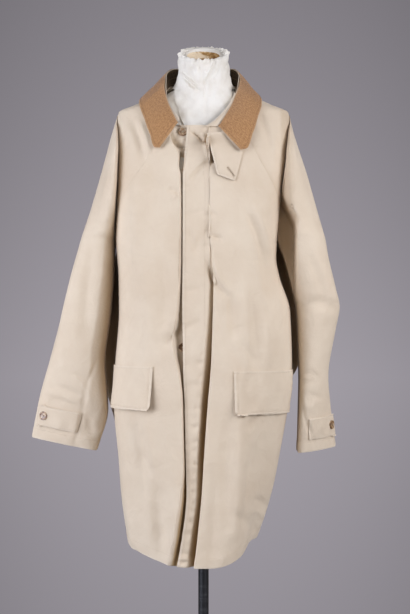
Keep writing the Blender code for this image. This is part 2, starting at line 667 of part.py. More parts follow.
def tube_grid(side, front, upper):
    """The tube of a half sleeve, cuff first, joined to its upper part along the trough."""
    cuff = LEFT_CUFF if side > 0 else RIGHT_CUFF
    trough_heights = [row[2] for row in RAGLAN_ROWS[:TROUGH_ROWS]]
    heights = np.array(sorted(SLEEVE_ROWS + (cuff, UNDERARM)) + trough_heights)
    sizes = LEFT_SLEEVE if side > 0 else RIGHT_SLEEVE
    reach = sizes["front" if front else "back"](heights)
    gap = (SEAM_GAP / 2 / reach) ** (1 / (1 - flatness(front, heights)))
    start = np.where(heights > UNDERARM, 0.0, gap)
    end = math.pi - gap
    even = np.linspace(0, 1, SLEEVE_COLUMNS_ROUND)
    share = even / 2 + (1 - np.cos(math.pi * even)) / 4
    turn = start[:, None] + (end - start)[:, None] * share
    grid = sleeve_points(side, front, turn, heights[:, None])
    grid[-TROUGH_ROWS:, 0] = upper[:TROUGH_ROWS, -1]
    grid[-1, :] = upper[TROUGH_ROWS - 1, -1]
    return grid


def half_sleeve(name, side, front):
    """One half of a raglan sleeve, from the neck to the cuff."""
    upper = raglan_grid(side, front)
    tube = tube_grid(side, front, upper)
    outward = side if front else -side
    upper_normals, tube_normals = normals_of(upper) * outward, normals_of(tube) * outward
    for row in range(TROUGH_ROWS - 1):
        place = upper[row, -1]
        outwards = place - np.array([place[0], 0.0, ARMHOLE_MIDDLE])
        upper_normals[row, -1] = outwards / np.linalg.norm(outwards)
    tube_normals[len(tube) - TROUGH_ROWS - 1, 0] = (0.0, 0.0, -1.0)
    sheet = Sheet()
    for grid, normals in ((upper, upper_normals), (tube, tube_normals)):
        sheet.add(grid[:, ::outward], normals[:, ::outward])
    return sheet.wall(name, CLOTH, "raincoat_cotton")


def collar_lines():
    """Roll line, fall edge and neckline of the collar, sampled along it."""
    t = np.linspace(0, 1, COLLAR_STEPS + 1)
    at = {name: curve(t) for name, curve in COLLAR.items()}
    roll = np.stack([at["roll_x"], at["roll_y"], at["roll_z"]], axis=1)
    edge_angle = np.radians(at["edge_angle"])
    edge = body(edge_angle, at["edge_z"])
    along = body(edge_angle + PROBE, at["edge_z"]) - edge
    up = body(edge_angle, at["edge_z"] + PROBE) - edge
    normal = np.cross(along, up)
    normal /= np.linalg.norm(normal, axis=1, keepdims=True)
    edge = edge + normal * (at["lift"][:, None] + CLOTH + UNDER_CLOTH + SEAT_GAP)
    neck_angle = np.radians(at["neck_angle"])
    turned = (at["neck_angle"] + 180) % 360 - 180
    neck = body(neck_angle, NECKLINE["height"](np.abs(turned)))
    return roll, edge, neck


def fall_grid():
    """Outside of the collar fall, from the roll line down to its edge."""
    roll, edge, _ = collar_lines()
    out = edge - roll
    out[:, 2] = 0.0
    out /= np.linalg.norm(out, axis=1, keepdims=True)
    t = np.linspace(0, 1, COLLAR_STEPS + 1)
    start = roll + out * COLLAR["roll_gap"](t)[:, None]
    crown = start + (edge - start) * CROWN_SHARE
    crown[:, 1] -= COLLAR["swell"](t)
    crown[:, 2] += (start[:, 2] + ROLL_CROWN - crown[:, 2]) * (1 - COLLAR["drop"](t))
    w = np.linspace(0, 1, FALL_STEPS + 1)[None, :, None]
    return start[:, None] * (1 - w) ** 2 + crown[:, None] * 2 * w * (1 - w) + edge[:, None] * w**2


def collar_pieces():
    """The corduroy fall, the under-collar that shows past its edge, and the stand."""
    fall = fall_grid()
    normals = normals_of(fall)
    if normals[..., 2].mean() < 0:
        fall = fall[:, ::-1]
        normals = normals_of(fall)
    plain_wall("collar_fall", fall, CLOTH, "collar_corduroy")
    under = (fall - normals * (CLOTH + SEAT_GAP))[:, :-1]
    for row, step in ((0, 1), (-1, -2)):
        out = under[row] - under[step]
        under[row] += out / np.linalg.norm(out, axis=1, keepdims=True) * UNDER_SHOWS
    out = under[:, 0] - under[:, 1]
    under[:, 0] += out / np.linalg.norm(out, axis=1, keepdims=True) * UNDER_SHOWS
    plain_wall("collar_under", under, UNDER_CLOTH)
    roll, _, neck = collar_lines()
    inward = -neck / np.linalg.norm(neck[:, :2], axis=1, keepdims=True)
    neck = neck + inward * np.array([STAND_IN, STAND_IN, 0]) + np.array([0, 0, STAND_LIFT])
    w = np.linspace(0, 1, STAND_STEPS)[None, :, None]
    stand = neck[:, None] * (1 - w) + roll[:, None] * w
    plain_wall("collar_stand", stand.transpose(1, 0, 2), CLOTH, turned=True)


def laid_on_body(angles, heights, stand_off, thickness):
    """Outside of a piece that lies on the coat, with its inside the given distance off."""
    base = body(angles, heights)
    normals = normals_of(base)
    return base + normals * (stand_off + thickness)[..., None]


def pocket_flap(name, side, inner_across, top, lifts):
    """A flap hung at the hip: lifts are how far its bottom corners stand off, inner corner first."""
    inner_angle = abs(float(angle_at(side * inner_across, top)))
    sweep = np.linspace(inner_angle, FLAP_SWEEP, SWEEP_STEPS)
    line = body(side * sweep, top)
    length = np.concatenate([[0], np.cumsum(np.linalg.norm(np.diff(line, axis=0), axis=1))])
    share = np.linspace(0, 1, FLAP_COLUMNS)
    angles = side * np.interp(share * FLAP_WIDTH, length, sweep)
    down = np.linspace(1, 0, FLAP_ROWS)
    heights = top - down * FLAP_DEPTH
    bottom = lifts[0] + (lifts[1] - lifts[0]) * share
    stand_off = ON_PANEL + down[:, None] ** FLAP_CURL * bottom
    grid_angles, grid_heights = np.meshgrid(angles, heights)
    if side < 0:
        grid_angles, stand_off = grid_angles[:, ::-1], stand_off[:, ::-1]
    grid = laid_on_body(grid_angles, grid_heights, stand_off, DOUBLE_CLOTH)
    plain_wall(name, grid, DOUBLE_CLOTH)


def storm_tab():
    """The throat tab that hangs on the left chest."""
    u, v = np.meshgrid(np.linspace(0, 1, TAB_STEPS), np.linspace(0, 1, TAB_STEPS))
    corners = (TAB_BOTTOM_INNER, TAB_BOTTOM_OUTER, TAB_TOP_INNER, TAB_TOP_OUTER)
    weights = ((1 - u) * (1 - v), u * (1 - v), (1 - u) * v, u * v)
    across, height, lift = (sum(w * c[i] for w, c in zip(weights, corners)) for i in range(3))
    grid = laid_on_body(angle_at(across, height), height, ON_PANEL + lift, DOUBLE_CLOTH)
    plain_wall("storm_tab", grid, DOUBLE_CLOTH)


def cuff_strap(name, side, turns, heights):
    """A strap on a sleeve's front, between two turns round it and two heights."""
    columns, rows = np.linspace(*turns, STRAP_COLUMNS), np.linspace(*heights, STRAP_ROWS)
    turn, height = np.meshgrid(np.radians(columns), rows)
    base = sleeve_points(side, True, turn, height)
    normals = normals_of(base) * side
    grid = base + normals * (ON_PANEL + DOUBLE_CLOTH)
    plain_wall(name, grid, DOUBLE_CLOTH, turned=side < 0)


def button(name, place, outward):
    """A dished horn button, its back on a place and its face along a direction."""
    mesh = bmesh.new()
    bmesh.ops.create_cone(
        mesh,
        cap_ends=True,
        segments=BUTTON_SIDES,
        radius1=BUTTON_RADIUS,
        radius2=BUTTON_RADIUS,
        depth=BUTTON_THICK,
    )
    bmesh.ops.translate(mesh, verts=mesh.verts[:], vec=(0, 0, BUTTON_THICK / 2))
    face = max(mesh.faces, key=lambda f: f.calc_center_median().z)
    bmesh.ops.inset_region(mesh, faces=[face], thickness=BUTTON_RIM)
    bmesh.ops.translate(mesh, verts=face.verts[:], vec=(0, 0, -BUTTON_DISH))
    piece = finish_mesh(name, mesh, "button_horn")
    turn = Vector((0, 0, 1)).rotation_difference(Vector(outward))
    piece.rotation_mode = "QUATERNION"
    piece.rotation_quaternion = turn
    piece.location = Vector(place)


def on_sleeve(side, front, turn_degrees, height, stand_off):
    """A place on a sleeve, moved off it, and the direction it faces."""
    turn = math.radians(turn_degrees)
    place = sleeve_points(side, front, np.array(turn), np.array(height))
    along = sleeve_points(side, front, np.array(turn + PROBE), np.array(height)) - place
    up = sleeve_points(side, front, np.array(turn), np.array(height + PROBE)) - place
    outward = np.cross(along, up) * (side if front else -side)
    outward /= np.linalg.norm(outward)
    return place + outward * stand_off, outward


def beside_fly(across, height, off):
    """A place on the right front beside or under the fly, moved off it, and the direction it faces."""
    places = np.array([(across, height), (across + PROBE, height), (across, height + PROBE)])
    points = body(angle_at(places[:, 0], places[:, 1]), places[:, 1])
    points[:, 1] += fly_depth(places[:, 0], places[:, 1])
    outward = np.cross(points[1] - points[0], points[2] - points[0])
    outward /= np.linalg.norm(outward)
    return points[0] + outward * off, outward


def buttons():
    """The horn buttons that show: throat, front, and two at each cuff."""
    button("throat_button", *beside_fly(-0.0460, 1.400, THROAT_OFF))
    button("front_button", *beside_fly(-0.0450, 0.920, ON_PANEL))
    strap_off = ON_PANEL + DOUBLE_CLOTH
    for name, side, front, turn, height, stand_off in (
        ("right_cuff_button", -1, True, 138, 0.751, strap_off + ON_PANEL),
        ("right_cuff_spare_button", -1, False, 160, 0.742, SPARE_OFF),
        ("left_cuff_button", 1, True, 146, 0.738, strap_off + ON_PANEL),
        ("left_cuff_spare_button", 1, False, 140, 0.738, SPARE_OFF),
    ):
        button(name, *on_sleeve(side, front, turn, height, stand_off))


def dress_form():
    """The limbless form: lofted rings, shoulders seated under the coat, and a slanted hollow neck top."""
    angles = np.linspace(0, 2 * math.pi, FORM_SIDES, endpoint=False)
    rings = []
    for height in FORM_ROWS:
        half = float(FORM["half"](height))
        if height > SEAT_START:
            half = min(half, float(BODY["left"](height + SHOULDER_SEAT)))
        radius = oval(angles, half, FORM["front"](height), FORM["back"](height), FORM["square"](height))
        slant = math.tan(NECK_SLANT) * float(ease(NECK_SLANT_START, NECK_TOP, height))
        y = -radius * np.cos(angles)
        rings.append(np.stack([radius * np.sin(angles), y, height + slant * y], axis=1))
    rim = rings[-1]
    middle = rim.mean(axis=0)
    inner = rim + (middle - rim) * NECK_RIM / np.linalg.norm(rim - middle, axis=1, keepdims=True)
    rings.append(inner)
    rings.append(inner + (middle - inner) * RECESS_TAPER - np.array([0, 0, NECK_RECESS]))
    mesh = bmesh.new()
    loops = [[mesh.verts.new(p) for p in ring] for ring in rings]
    for low, high in zip(loops, loops[1:]):
        for i in range(FORM_SIDES):
            j = (i + 1) % FORM_SIDES
            mesh.faces.new((low[i], low[j], high[j], high[i]))
    mesh.faces.new(reversed(loops[0]))
    mesh.faces.new(loops[-1])
    finish_mesh("dress_form", mesh, "form_paper")


def turned_piece(name, profile, finish):
    """A round piece turned from its outline, which runs from the axis up and back to the axis."""
    mesh = bmesh.new()
    points = [mesh.verts.new((radius, 0, height)) for radius, height in profile]
    edges = [mesh.edges.new(pair) for pair in zip(points, points[1:])]
    bmesh.ops.spin(
        mesh, geom=points + edges, cent=(0, 0, 0), axis=(0, 0, 1), angle=2 * math.pi, steps=ROUND_SIDES
    )
    bmesh.ops.remove_doubles(mesh, verts=mesh.verts[:], dist=1e-6)
    bmesh.ops.recalc_face_normals(mesh, faces=mesh.faces[:])
    finish_mesh(name, mesh, finish)


def stand():
    """The round base with its hub, and the pole up to the form."""
    hub_top = BASE_THICK + HUB_HEIGHT
    turned_piece(
        "stand_base",
        (
            (0, 0),
            (BASE_RADIUS, 0),
            (BASE_RADIUS, BASE_THICK - BASE_EDGE),
            (BASE_RADIUS - BASE_EDGE, BASE_THICK),
            (HUB_RADIUS, BASE_THICK),
            (HUB_RADIUS * HUB_TAPER, hub_top),
            (0, hub_top),
        ),
        "stand_metal",
    )
    low, high = hub_top + SEAT_GAP, FORM_BOTTOM - SEAT_GAP
    turned_piece("stand_pole", ((0, low), (POLE_RADIUS, low), (POLE_RADIUS, high), (0, high)), "stand_metal")


def main():
    """Clears the scene and builds every piece."""
    for old in list(bpy.data.objects):
        bpy.data.objects.remove(old, do_unlink=True)
    plain_wall("right_front", right_front_grid(), CLOTH, turned=True)
    plain_wall("left_front", left_front_grid(), CLOTH)
    plain_wall("fly_strip", fly_grid(), DOUBLE_CLOTH)
    plain_wall("back", back_grid(), CLOTH)
    for side, word in ((-1, "right"), (1, "left")):
        half_sleeve(word + "_sleeve_front", side, True)
        half_sleeve(word + "_sleeve_back", side, False)
    collar_pieces()
    storm_tab()
    pocket_flap("right_pocket_flap", -1, 0.110, 0.878, (0.016, 0.003))
    pocket_flap("left_pocket_flap", 1, 0.0645, 0.868, (0.006, 0.004))
    cuff_strap("right_cuff_strap", -1, (72, 158), (0.728, 0.773))
    cuff_strap("left_cuff_strap", 1, (64, 172), (0.712, 0.760))
    buttons()
    dress_form()
    stand()


main()
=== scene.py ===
"""The looks of a raincoat on a limbless dress form and stand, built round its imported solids.

Metres, +Z up. The coat's front faces -Y and the wearer's left is +X. Angles round the body start at the
front and turn towards the wearer's left. A grid's rows run up the cloth and its columns run across it.
"""

import logging
import math
from dataclasses import dataclass
from enum import Enum
from typing import Sequence

import bpy
import numpy as np
from mathutils import Matrix, Vector


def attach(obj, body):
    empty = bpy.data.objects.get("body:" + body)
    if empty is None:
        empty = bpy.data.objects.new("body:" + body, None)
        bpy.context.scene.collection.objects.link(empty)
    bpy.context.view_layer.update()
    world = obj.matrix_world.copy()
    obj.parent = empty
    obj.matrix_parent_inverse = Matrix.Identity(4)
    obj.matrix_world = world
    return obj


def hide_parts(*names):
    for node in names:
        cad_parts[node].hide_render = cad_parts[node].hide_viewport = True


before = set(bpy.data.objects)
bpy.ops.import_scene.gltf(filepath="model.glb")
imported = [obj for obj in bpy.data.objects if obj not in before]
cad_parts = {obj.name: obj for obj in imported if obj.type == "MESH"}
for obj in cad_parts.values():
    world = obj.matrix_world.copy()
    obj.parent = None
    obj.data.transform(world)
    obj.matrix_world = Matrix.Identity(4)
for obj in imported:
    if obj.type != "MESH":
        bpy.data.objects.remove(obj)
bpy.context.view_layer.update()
LOG = logging.getLogger("raincoat")
Array = np.ndarray
Object = bpy.types.Object
Material = bpy.types.Material
Socket = bpy.types.NodeSocket
Pair = tuple[float, float]
Triple = tuple[float, float, float]
Colour = tuple[float, float, float]

CLOTH = 0.0015
DOUBLE_CLOTH = 0.0022
UNDER_CLOTH = 0.0012
SEAM_GAP = 0.00025
SEAT_GAP = 0.0004
ON_PANEL = 0.0009
ON_STRAP = 2 * ON_PANEL + DOUBLE_CLOTH
ON_SLEEVE = 0.0006
PROBE = 1e-3
HEM_STEP = 0.002
ROW_STEP = 0.0055
FULL_TURN = 2 * math.pi
LEVEL = np.array([1.0, 1.0, 0.0])


class Slot(Enum):
    """The record's material slots."""

    COTTON = "raincoat_cotton"
    CORDUROY = "collar_corduroy"
    HORN = "button_horn"
    PAPER = "form_paper"
    METAL = "stand_metal"


class Edge(Enum):
    """The four edges of a grid of cloth."""

    FIRST_COLUMN = "first column"
    LAST_COLUMN = "last column"
    BOTTOM = "bottom"
    TOP = "top"


class SmoothCurve:
    """A cubic curve through values at given places that doesn't overshoot between them."""

    def __init__(self, places: Array, values: Array) -> None:
        """Works out the curve's slope at each place.

        Args:
            places: rising places along the curve.
            values: the curve's value at each place.
        """
        self.places = places
        self.values = values
        self.steps = np.diff(places)
        rates = np.diff(values) / self.steps
        before, after = rates[:-1], rates[1:]
        turning = before * after <= 0
        total = np.where(turning, 1.0, before + after)
        inside = np.where(turning, 0.0, 2 * before * after / total)
        self.slopes = np.concatenate([rates[:1], inside, rates[-1:]])

    def __call__(self, place: Array | float) -> Array:
        """The curve's values.

        Args:
            place: one or more places along the curve.

        Returns:
            The value at each place.
        """
        place = np.clip(place, self.places[0], self.places[-1])
        i = np.clip(np.searchsorted(self.places, place) - 1, 0, len(self.steps) - 1)
        step = self.steps[i]
        t = (place - self.places[i]) / step
        swing = step * (self.slopes[i] * t * (1 - t) ** 2 - self.slopes[i + 1] * t * t * (1 - t))
        blend = t * t * (3 - 2 * t)
        return self.values[i] * (1 - blend) + self.values[i + 1] * blend + swing


class SizeTable:
    """Smooth curves, by column name, over the first column of a short table of sizes."""

    def __init__(self, names: str, *rows: Sequence[float]) -> None:
        """Makes a curve of each column.

        Args:
            names: the columns' names after the first, parted by spaces.
            rows: the table's rows, in any order.
        """
        places, *columns = np.array(sorted(rows), dtype=float).T
        self.curves = {name: SmoothCurve(places, column) for name, column in zip(names.split(), columns)}

    def __call__(self, name: str, place: Array | float) -> Array:
        """The named column's values at one or more places."""
        return self.curves[name](place)


def ease(low: float | Array, high: float | Array, value: Array | float) -> Array:
    """A soft step.

    Args:
        low: where the step leaves 0.
        high: where it reaches 1.
        value: the values to step.

    Returns:
        The step at each value.
    """
    t = np.clip((value - low) / (high - low), 0.0, 1.0)
    return t * t * (3 - 2 * t)


def spaced(marks: Sequence[float], step: float) -> Array:
    """Places through all the marks.

    Args:
        marks: places to keep, in order.
        step: the furthest that two places may be apart.

    Returns:
        The marks with places between them.
    """
    runs = []
    for first, last in zip(marks, marks[1:]):
        count = max(1, math.ceil(abs(last - first) / step))
        runs.append(np.linspace(first, last, count, endpoint=False))
    return np.append(np.concatenate(runs), marks[-1])


def rows_up(low: float, band: float, high: float) -> Array:
    """Heights of rows up a piece of cloth, closer together in its hem.

    Args:
        low: height of the hem's edge.
        band: how far up the rows are close.
        high: height of the last row.

    Returns:
        The heights.
    """
    return np.concatenate([spaced((low, low + band), HEM_STEP)[:-1], spaced((low + band, high), ROW_STEP)])


def refined(values: Sequence[float], parts: int) -> Array:
    """Values with each step between neighbours cut into equal parts.

    Args:
        values: the values to keep.
        parts: steps to make of each step.

    Returns:
        The longer row of values.
    """
    last = len(values) - 1
    return np.interp(np.linspace(0, last, last * parts + 1), np.arange(last + 1), values)


def edge_shares(count: int, closeness: float = 0.6) -> Array:
    """Shares from 0 to 1 that stand closer together near both ends.

    Args:
        count: how many steps to make.
        closeness: 0 for even steps, up to 1 for steps that shrink to nothing at the ends.

    Returns:
        The shares, one more than the steps.
    """
    even = np.linspace(0, 1, count + 1)
    return even * (1 - closeness) + (1 - np.cos(np.pi * even)) / 2 * closeness


def unit(vectors: Array) -> Array:
    """Vectors brought to length 1."""
    return vectors / np.maximum(np.linalg.norm(vectors, axis=-1, keepdims=True), 1e-12)


def normals_of(grid: Array) -> Array:
    """Unit normals of a grid of points, by columns crossed with rows."""
    return unit(np.cross(np.gradient(grid, axis=1), np.gradient(grid, axis=0)))


def oval(angle: Array, half: Array, depth: Array, square: Array) -> Array:
    """How far from its middle a squared oval lies at each angle.

    Args:
        angle: angles from the front.
        half: half the oval's width.
        depth: its reach to the front or back.
        square: 2 for a plain oval, and more for squarer corners.

    Returns:
        The distance at each angle.
    """
    total = (np.abs(np.cos(angle)) / depth) ** square + (np.abs(np.sin(angle)) / half) ** square
    return total ** (-1 / square)


def edge_distance(grid: Array, edge: Edge) -> Array:
    """How far each point of a grid lies from one edge, along the cloth.

    Args:
        grid: the cloth's points.
        edge: the edge to measure from.

    Returns:
        The distances, in the grid's own rows and columns.
    """
    axis = 1 if edge in (Edge.FIRST_COLUMN, Edge.LAST_COLUMN) else 0
    steps = np.linalg.norm(np.diff(grid, axis=axis), axis=-1)
    zero = np.zeros_like(steps[:, :1] if axis else steps[:1])
    length = np.concatenate([zero, np.cumsum(steps, axis=axis)], axis=axis)
    if edge in (Edge.FIRST_COLUMN, Edge.BOTTOM):
        return length
    return (length[:, -1:] if axis else length[-1:]) - length


@dataclass(frozen=True)
class Crease:
    """A soft ridge or trough in hanging cloth, placed as it is seen from the front or the back.

    Attributes:
        start: across and height of its first end.
        end: across and height of its last end.
        width: half its width.
        rise: height of a ridge, or below 0 the depth of a trough.
        bow: how far its middle swings to one side.
    """

    start: Pair
    end: Pair
    width: float
    rise: float
    bow: float = 0.0

    END_FADE = 0.3
    LEAN = 0.35

    def lift(self, points: Array) -> Array:
        """How far the crease lifts each point.

        Args:
            points: places on the cloth.

        Returns:
            The lift at each point.
        """
        first = np.array(self.start)
        reach = np.array(self.end) - first
        length = math.hypot(*reach)
        along = reach / length
        away = points[..., (0, 2)] - first
        place = away @ along / length
        inside = np.clip(place, 0.0, 1.0)
        off = away @ np.array([-along[1], along[0]]) - self.bow * 4 * inside * (1 - inside)
        fade = ease(-self.END_FADE, self.END_FADE, place) * ease(1 + self.END_FADE, 1 - self.END_FADE, place)
        share = off / self.width
        return self.rise * fade * np.exp(-(share**2)) * (1 - self.LEAN * share)


@dataclass(frozen=True)
class Relief:
    """All that stirs one side of the coat's cloth: its creases and a slow uneven swell.

    Attributes:
        creases: the listed creases.
        swell: height of the slow swell.
        crumple: height of the fine crumple that lies in patches.
        depth: how strongly all the creases show.
        seed: sets the waves of both.
    """

    creases: tuple[Crease, ...]
    swell: float = 0.0010
    crumple: float = 0.0008
    depth: float = 1.9
    seed: int = 5

    WAVES = 7
    SLOW = (0.055, 0.200)
    FINE = (0.022, 0.050)
    HEADINGS = np.array([1.0, 0.6, 0.45])
    FACING = (0.05, 0.55)
    PATCHES = (-0.3, 1.1)

    def waves(self, points: Array, lengths: Pair, seed: int) -> Array:
        """Uneven waves of the cloth at each point, between about -1 and 1.

        Args:
            points: places on the cloth.
            lengths: the shortest wave and the longest.
            seed: sets the waves.

        Returns:
            The waves' height at each point.
        """
        chance = np.random.default_rng(seed)
        total = np.zeros(points.shape[:-1])
        for length in np.geomspace(*lengths, self.WAVES):
            heading = unit(chance.normal(size=3) * self.HEADINGS)
            total += np.sin(points @ heading * (FULL_TURN / length) + chance.uniform(0, FULL_TURN))
        return total / math.sqrt(self.WAVES)

    def slow_swell(self, points: Array) -> Array:
        """The cloth's slow waves at each point."""
        return self.waves(points, self.SLOW, self.seed)

    def lift(self, points: Array, normals: Array) -> Array:
        """How far the cloth moves out at each point, with none where it faces sideways.

        Args:
            points: places on the cloth.
            normals: the direction that the cloth faces at each.

        Returns:
            The distance to move along each normal.
        """
        facing = ease(*self.FACING, np.abs(normals[..., 1]))
        patches = ease(*self.PATCHES, self.waves(points, self.SLOW, self.seed + 1))
        total = self.swell * self.slow_swell(points)
        total = total + self.crumple * patches * self.waves(points, self.FINE, self.seed + 2)
        for crease in self.creases:
            total = total + self.depth * crease.lift(points)
        return facing * total


@dataclass(frozen=True)
class SewnEdge:
    """A sewn edge: the cloth dips into the seam and puckers along it.

    Attributes:
        depth: how far the cloth dips at the seam.
        width: how wide the dip is.
        pucker: height of the puckers.
        wave: usual length of a pucker.
        reach: how far from the seam the puckers fade.
    """

    depth: float = 0.0001
    width: float = 0.0030
    pucker: float = 0.00012
    wave: float = 0.019
    reach: float = 0.014

    DRIFTS = ((1.4, 3.7), (0.8, 7.1))

    def lift(self, grid: Array, edge: Edge) -> Array:
        """How far a grid's points move out near one of its edges.

        Args:
            grid: the cloth's points.
            edge: the edge that is sewn.

        Returns:
            The distance to move along each normal.
        """
        away = edge_distance(grid, edge)
        across = edge in (Edge.FIRST_COLUMN, Edge.LAST_COLUMN)
        along = edge_distance(grid, Edge.BOTTOM if across else Edge.FIRST_COLUMN)
        turn = FULL_TURN * along / self.wave
        wave = np.sin(turn + sum(strength * np.sin(turn / slower) for strength, slower in self.DRIFTS))
        dip = self.depth * np.exp(-((away / self.width) ** 2))
        return self.pucker * wave * np.exp(-away / self.reach) - dip


@dataclass(frozen=True)
class StitchedEdge:
    """An edge of double cloth: rounded off, with a sewn line that pulls a groove beside it.

    Attributes:
        drop: how far the very edge rounds off.
        roll: how wide the rounding is.
        groove: how deep the sewn line pulls.
        inset: how far inside the edge the line runs.
        width: half the groove's width.
    """

    drop: float
    roll: float
    groove: float
    inset: float
    width: float

    def lift(self, grid: Array, edges: Sequence[Edge]) -> Array:
        """How far a grid's points move out near its stitched edges.

        Args:
            grid: the cloth's points.
            edges: the edges that are stitched.

        Returns:
            The distance to move along each normal.
        """
        total = np.zeros(grid.shape[:2])
        for edge in edges:
            away = edge_distance(grid, edge)
            groove = self.groove * np.exp(-(((away - self.inset) / self.width) ** 2))
            total = total - self.drop * ease(self.roll, 0.0, away) - groove
        return total


class Surface:
    """A grid of cloth with its normals, where threads and buttons can be placed."""

    def __init__(self, grid: Array, hollow: Array | None = None) -> None:
        """Keeps a grid of points and works out its normals.

        Args:
            grid: the cloth's points.
            hollow: how strongly painted shade darkens each point, from 0 to 1, most deep in a fold.
        """
        self.grid = grid
        self.hollow = np.zeros(grid.shape[:2]) if hollow is None else hollow
        self.normals = normals_of(grid)

    def raised(self, lift: Array) -> "Surface":
        """The surface with each point moved out along its normal by its lift."""
        return Surface(self.grid + self.normals * lift[..., None], self.hollow)

    def at(self, across: Array, up: Array) -> tuple[Array, Array]:
        """Points and normals between the grid's points.

        Args:
            across: shares of the way from the first column to the last.
            up: shares of the way from the bottom row to the top.

        Returns:
            The points, and the normal at each.
        """
        rows, columns = self.grid.shape[:2]
        c = np.clip(across, 0, 1) * (columns - 1)
        r = np.clip(up, 0, 1) * (rows - 1)
        i = np.minimum(r.astype(int), rows - 2)
        j = np.minimum(c.astype(int), columns - 2)
        s, t = (c - j)[..., None], (r - i)[..., None]
        found = []
        for values in (self.grid, self.normals):
            low = values[i, j] * (1 - s) + values[i, j + 1] * s
            high = values[i + 1, j] * (1 - s) + values[i + 1, j + 1] * s
            found.append(low * (1 - t) + high * t)
        return found[0], unit(found[1])

    def beside(self, edge: Edge, inset: float, start: float = 0.0, stop: float = 1.0) -> tuple[Array, Array]:
        """A line on the cloth beside one of its edges.

        Args:
            edge: the edge to follow.
            inset: how far inside the edge the line runs.
            start: share of the edge where the line starts.
            stop: share of the edge where it stops.

        Returns:
            The line's points, and the normal at each.
        """
        away = edge_distance(self.grid, edge)
        across = edge in (Edge.FIRST_COLUMN, Edge.LAST_COLUMN)
        lines = away if across else away.T
        count = len(lines)
        order = slice(None, None, -1) if edge in (Edge.LAST_COLUMN, Edge.TOP) else slice(None)
        shares = np.linspace(0, 1, lines.shape[1])
        inner = np.array([np.interp(inset, line[order], shares[order]) for line in lines])
        keep = slice(int(start * (count - 1)), int(stop * (count - 1)) + 1)
        inner, outer = inner[keep], np.linspace(0, 1, count)[keep]
        return self.at(inner, outer) if across else self.at(outer, inner)

    def flat_size(self) -> Triple:
        """Width, length and area of the cloth laid flat."""
        width = edge_distance(self.grid, Edge.FIRST_COLUMN)[:, -1].max()
        length = edge_distance(self.grid, Edge.BOTTOM)[-1].max()
        diagonals = self.grid[1:, 1:] - self.grid[:-1, :-1], self.grid[1:, :-1] - self.grid[:-1, 1:]
        area = np.linalg.norm(np.cross(*diagonals), axis=-1).sum() / 2
        return float(width), float(length), float(area)


def new_object(name: str, mesh: bpy.types.Mesh, material: Material) -> Object:
    """A mesh put in the scene as a smooth piece of one material.

    Args:
        name: the piece's name.
        mesh: its mesh.
        material: its material.

    Returns:
        The new object.
    """
    mesh.materials.clear()
    mesh.materials.append(material)
    piece = bpy.data.objects.new(name, mesh)
    bpy.context.scene.collection.objects.link(piece)
    return piece


def adopt(piece: Object, slot: Slot, *nodes: str) -> Object:
    """Rides a piece on the part and hides the solids that it stands for.

    Args:
        piece: the new piece.
        slot: not used.
        nodes: the solids that it stands for.

    Returns:
        The piece.
    """
    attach(piece, "root")
    if nodes:
        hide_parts(*nodes)
    LOG.info("%s: %d faces", piece.name, len(piece.data.polygons))
    return piece


def lay_flat(piece: Object, surfaces: Sequence[Surface]) -> None:
    """Works out how large a piece of cloth is when it is laid flat, and keeps nothing of it.

    Args:
        piece: not used.
        surfaces: its joined surfaces, one above the other.
    """
    widths, lengths, areas = zip(*(surface.flat_size() for surface in surfaces))


def paint(node: str, material: Material) -> None:
    """Gives a solid that stays in view its finish."""
    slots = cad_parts[node].data.materials
    slots.clear()
    slots.append(material)


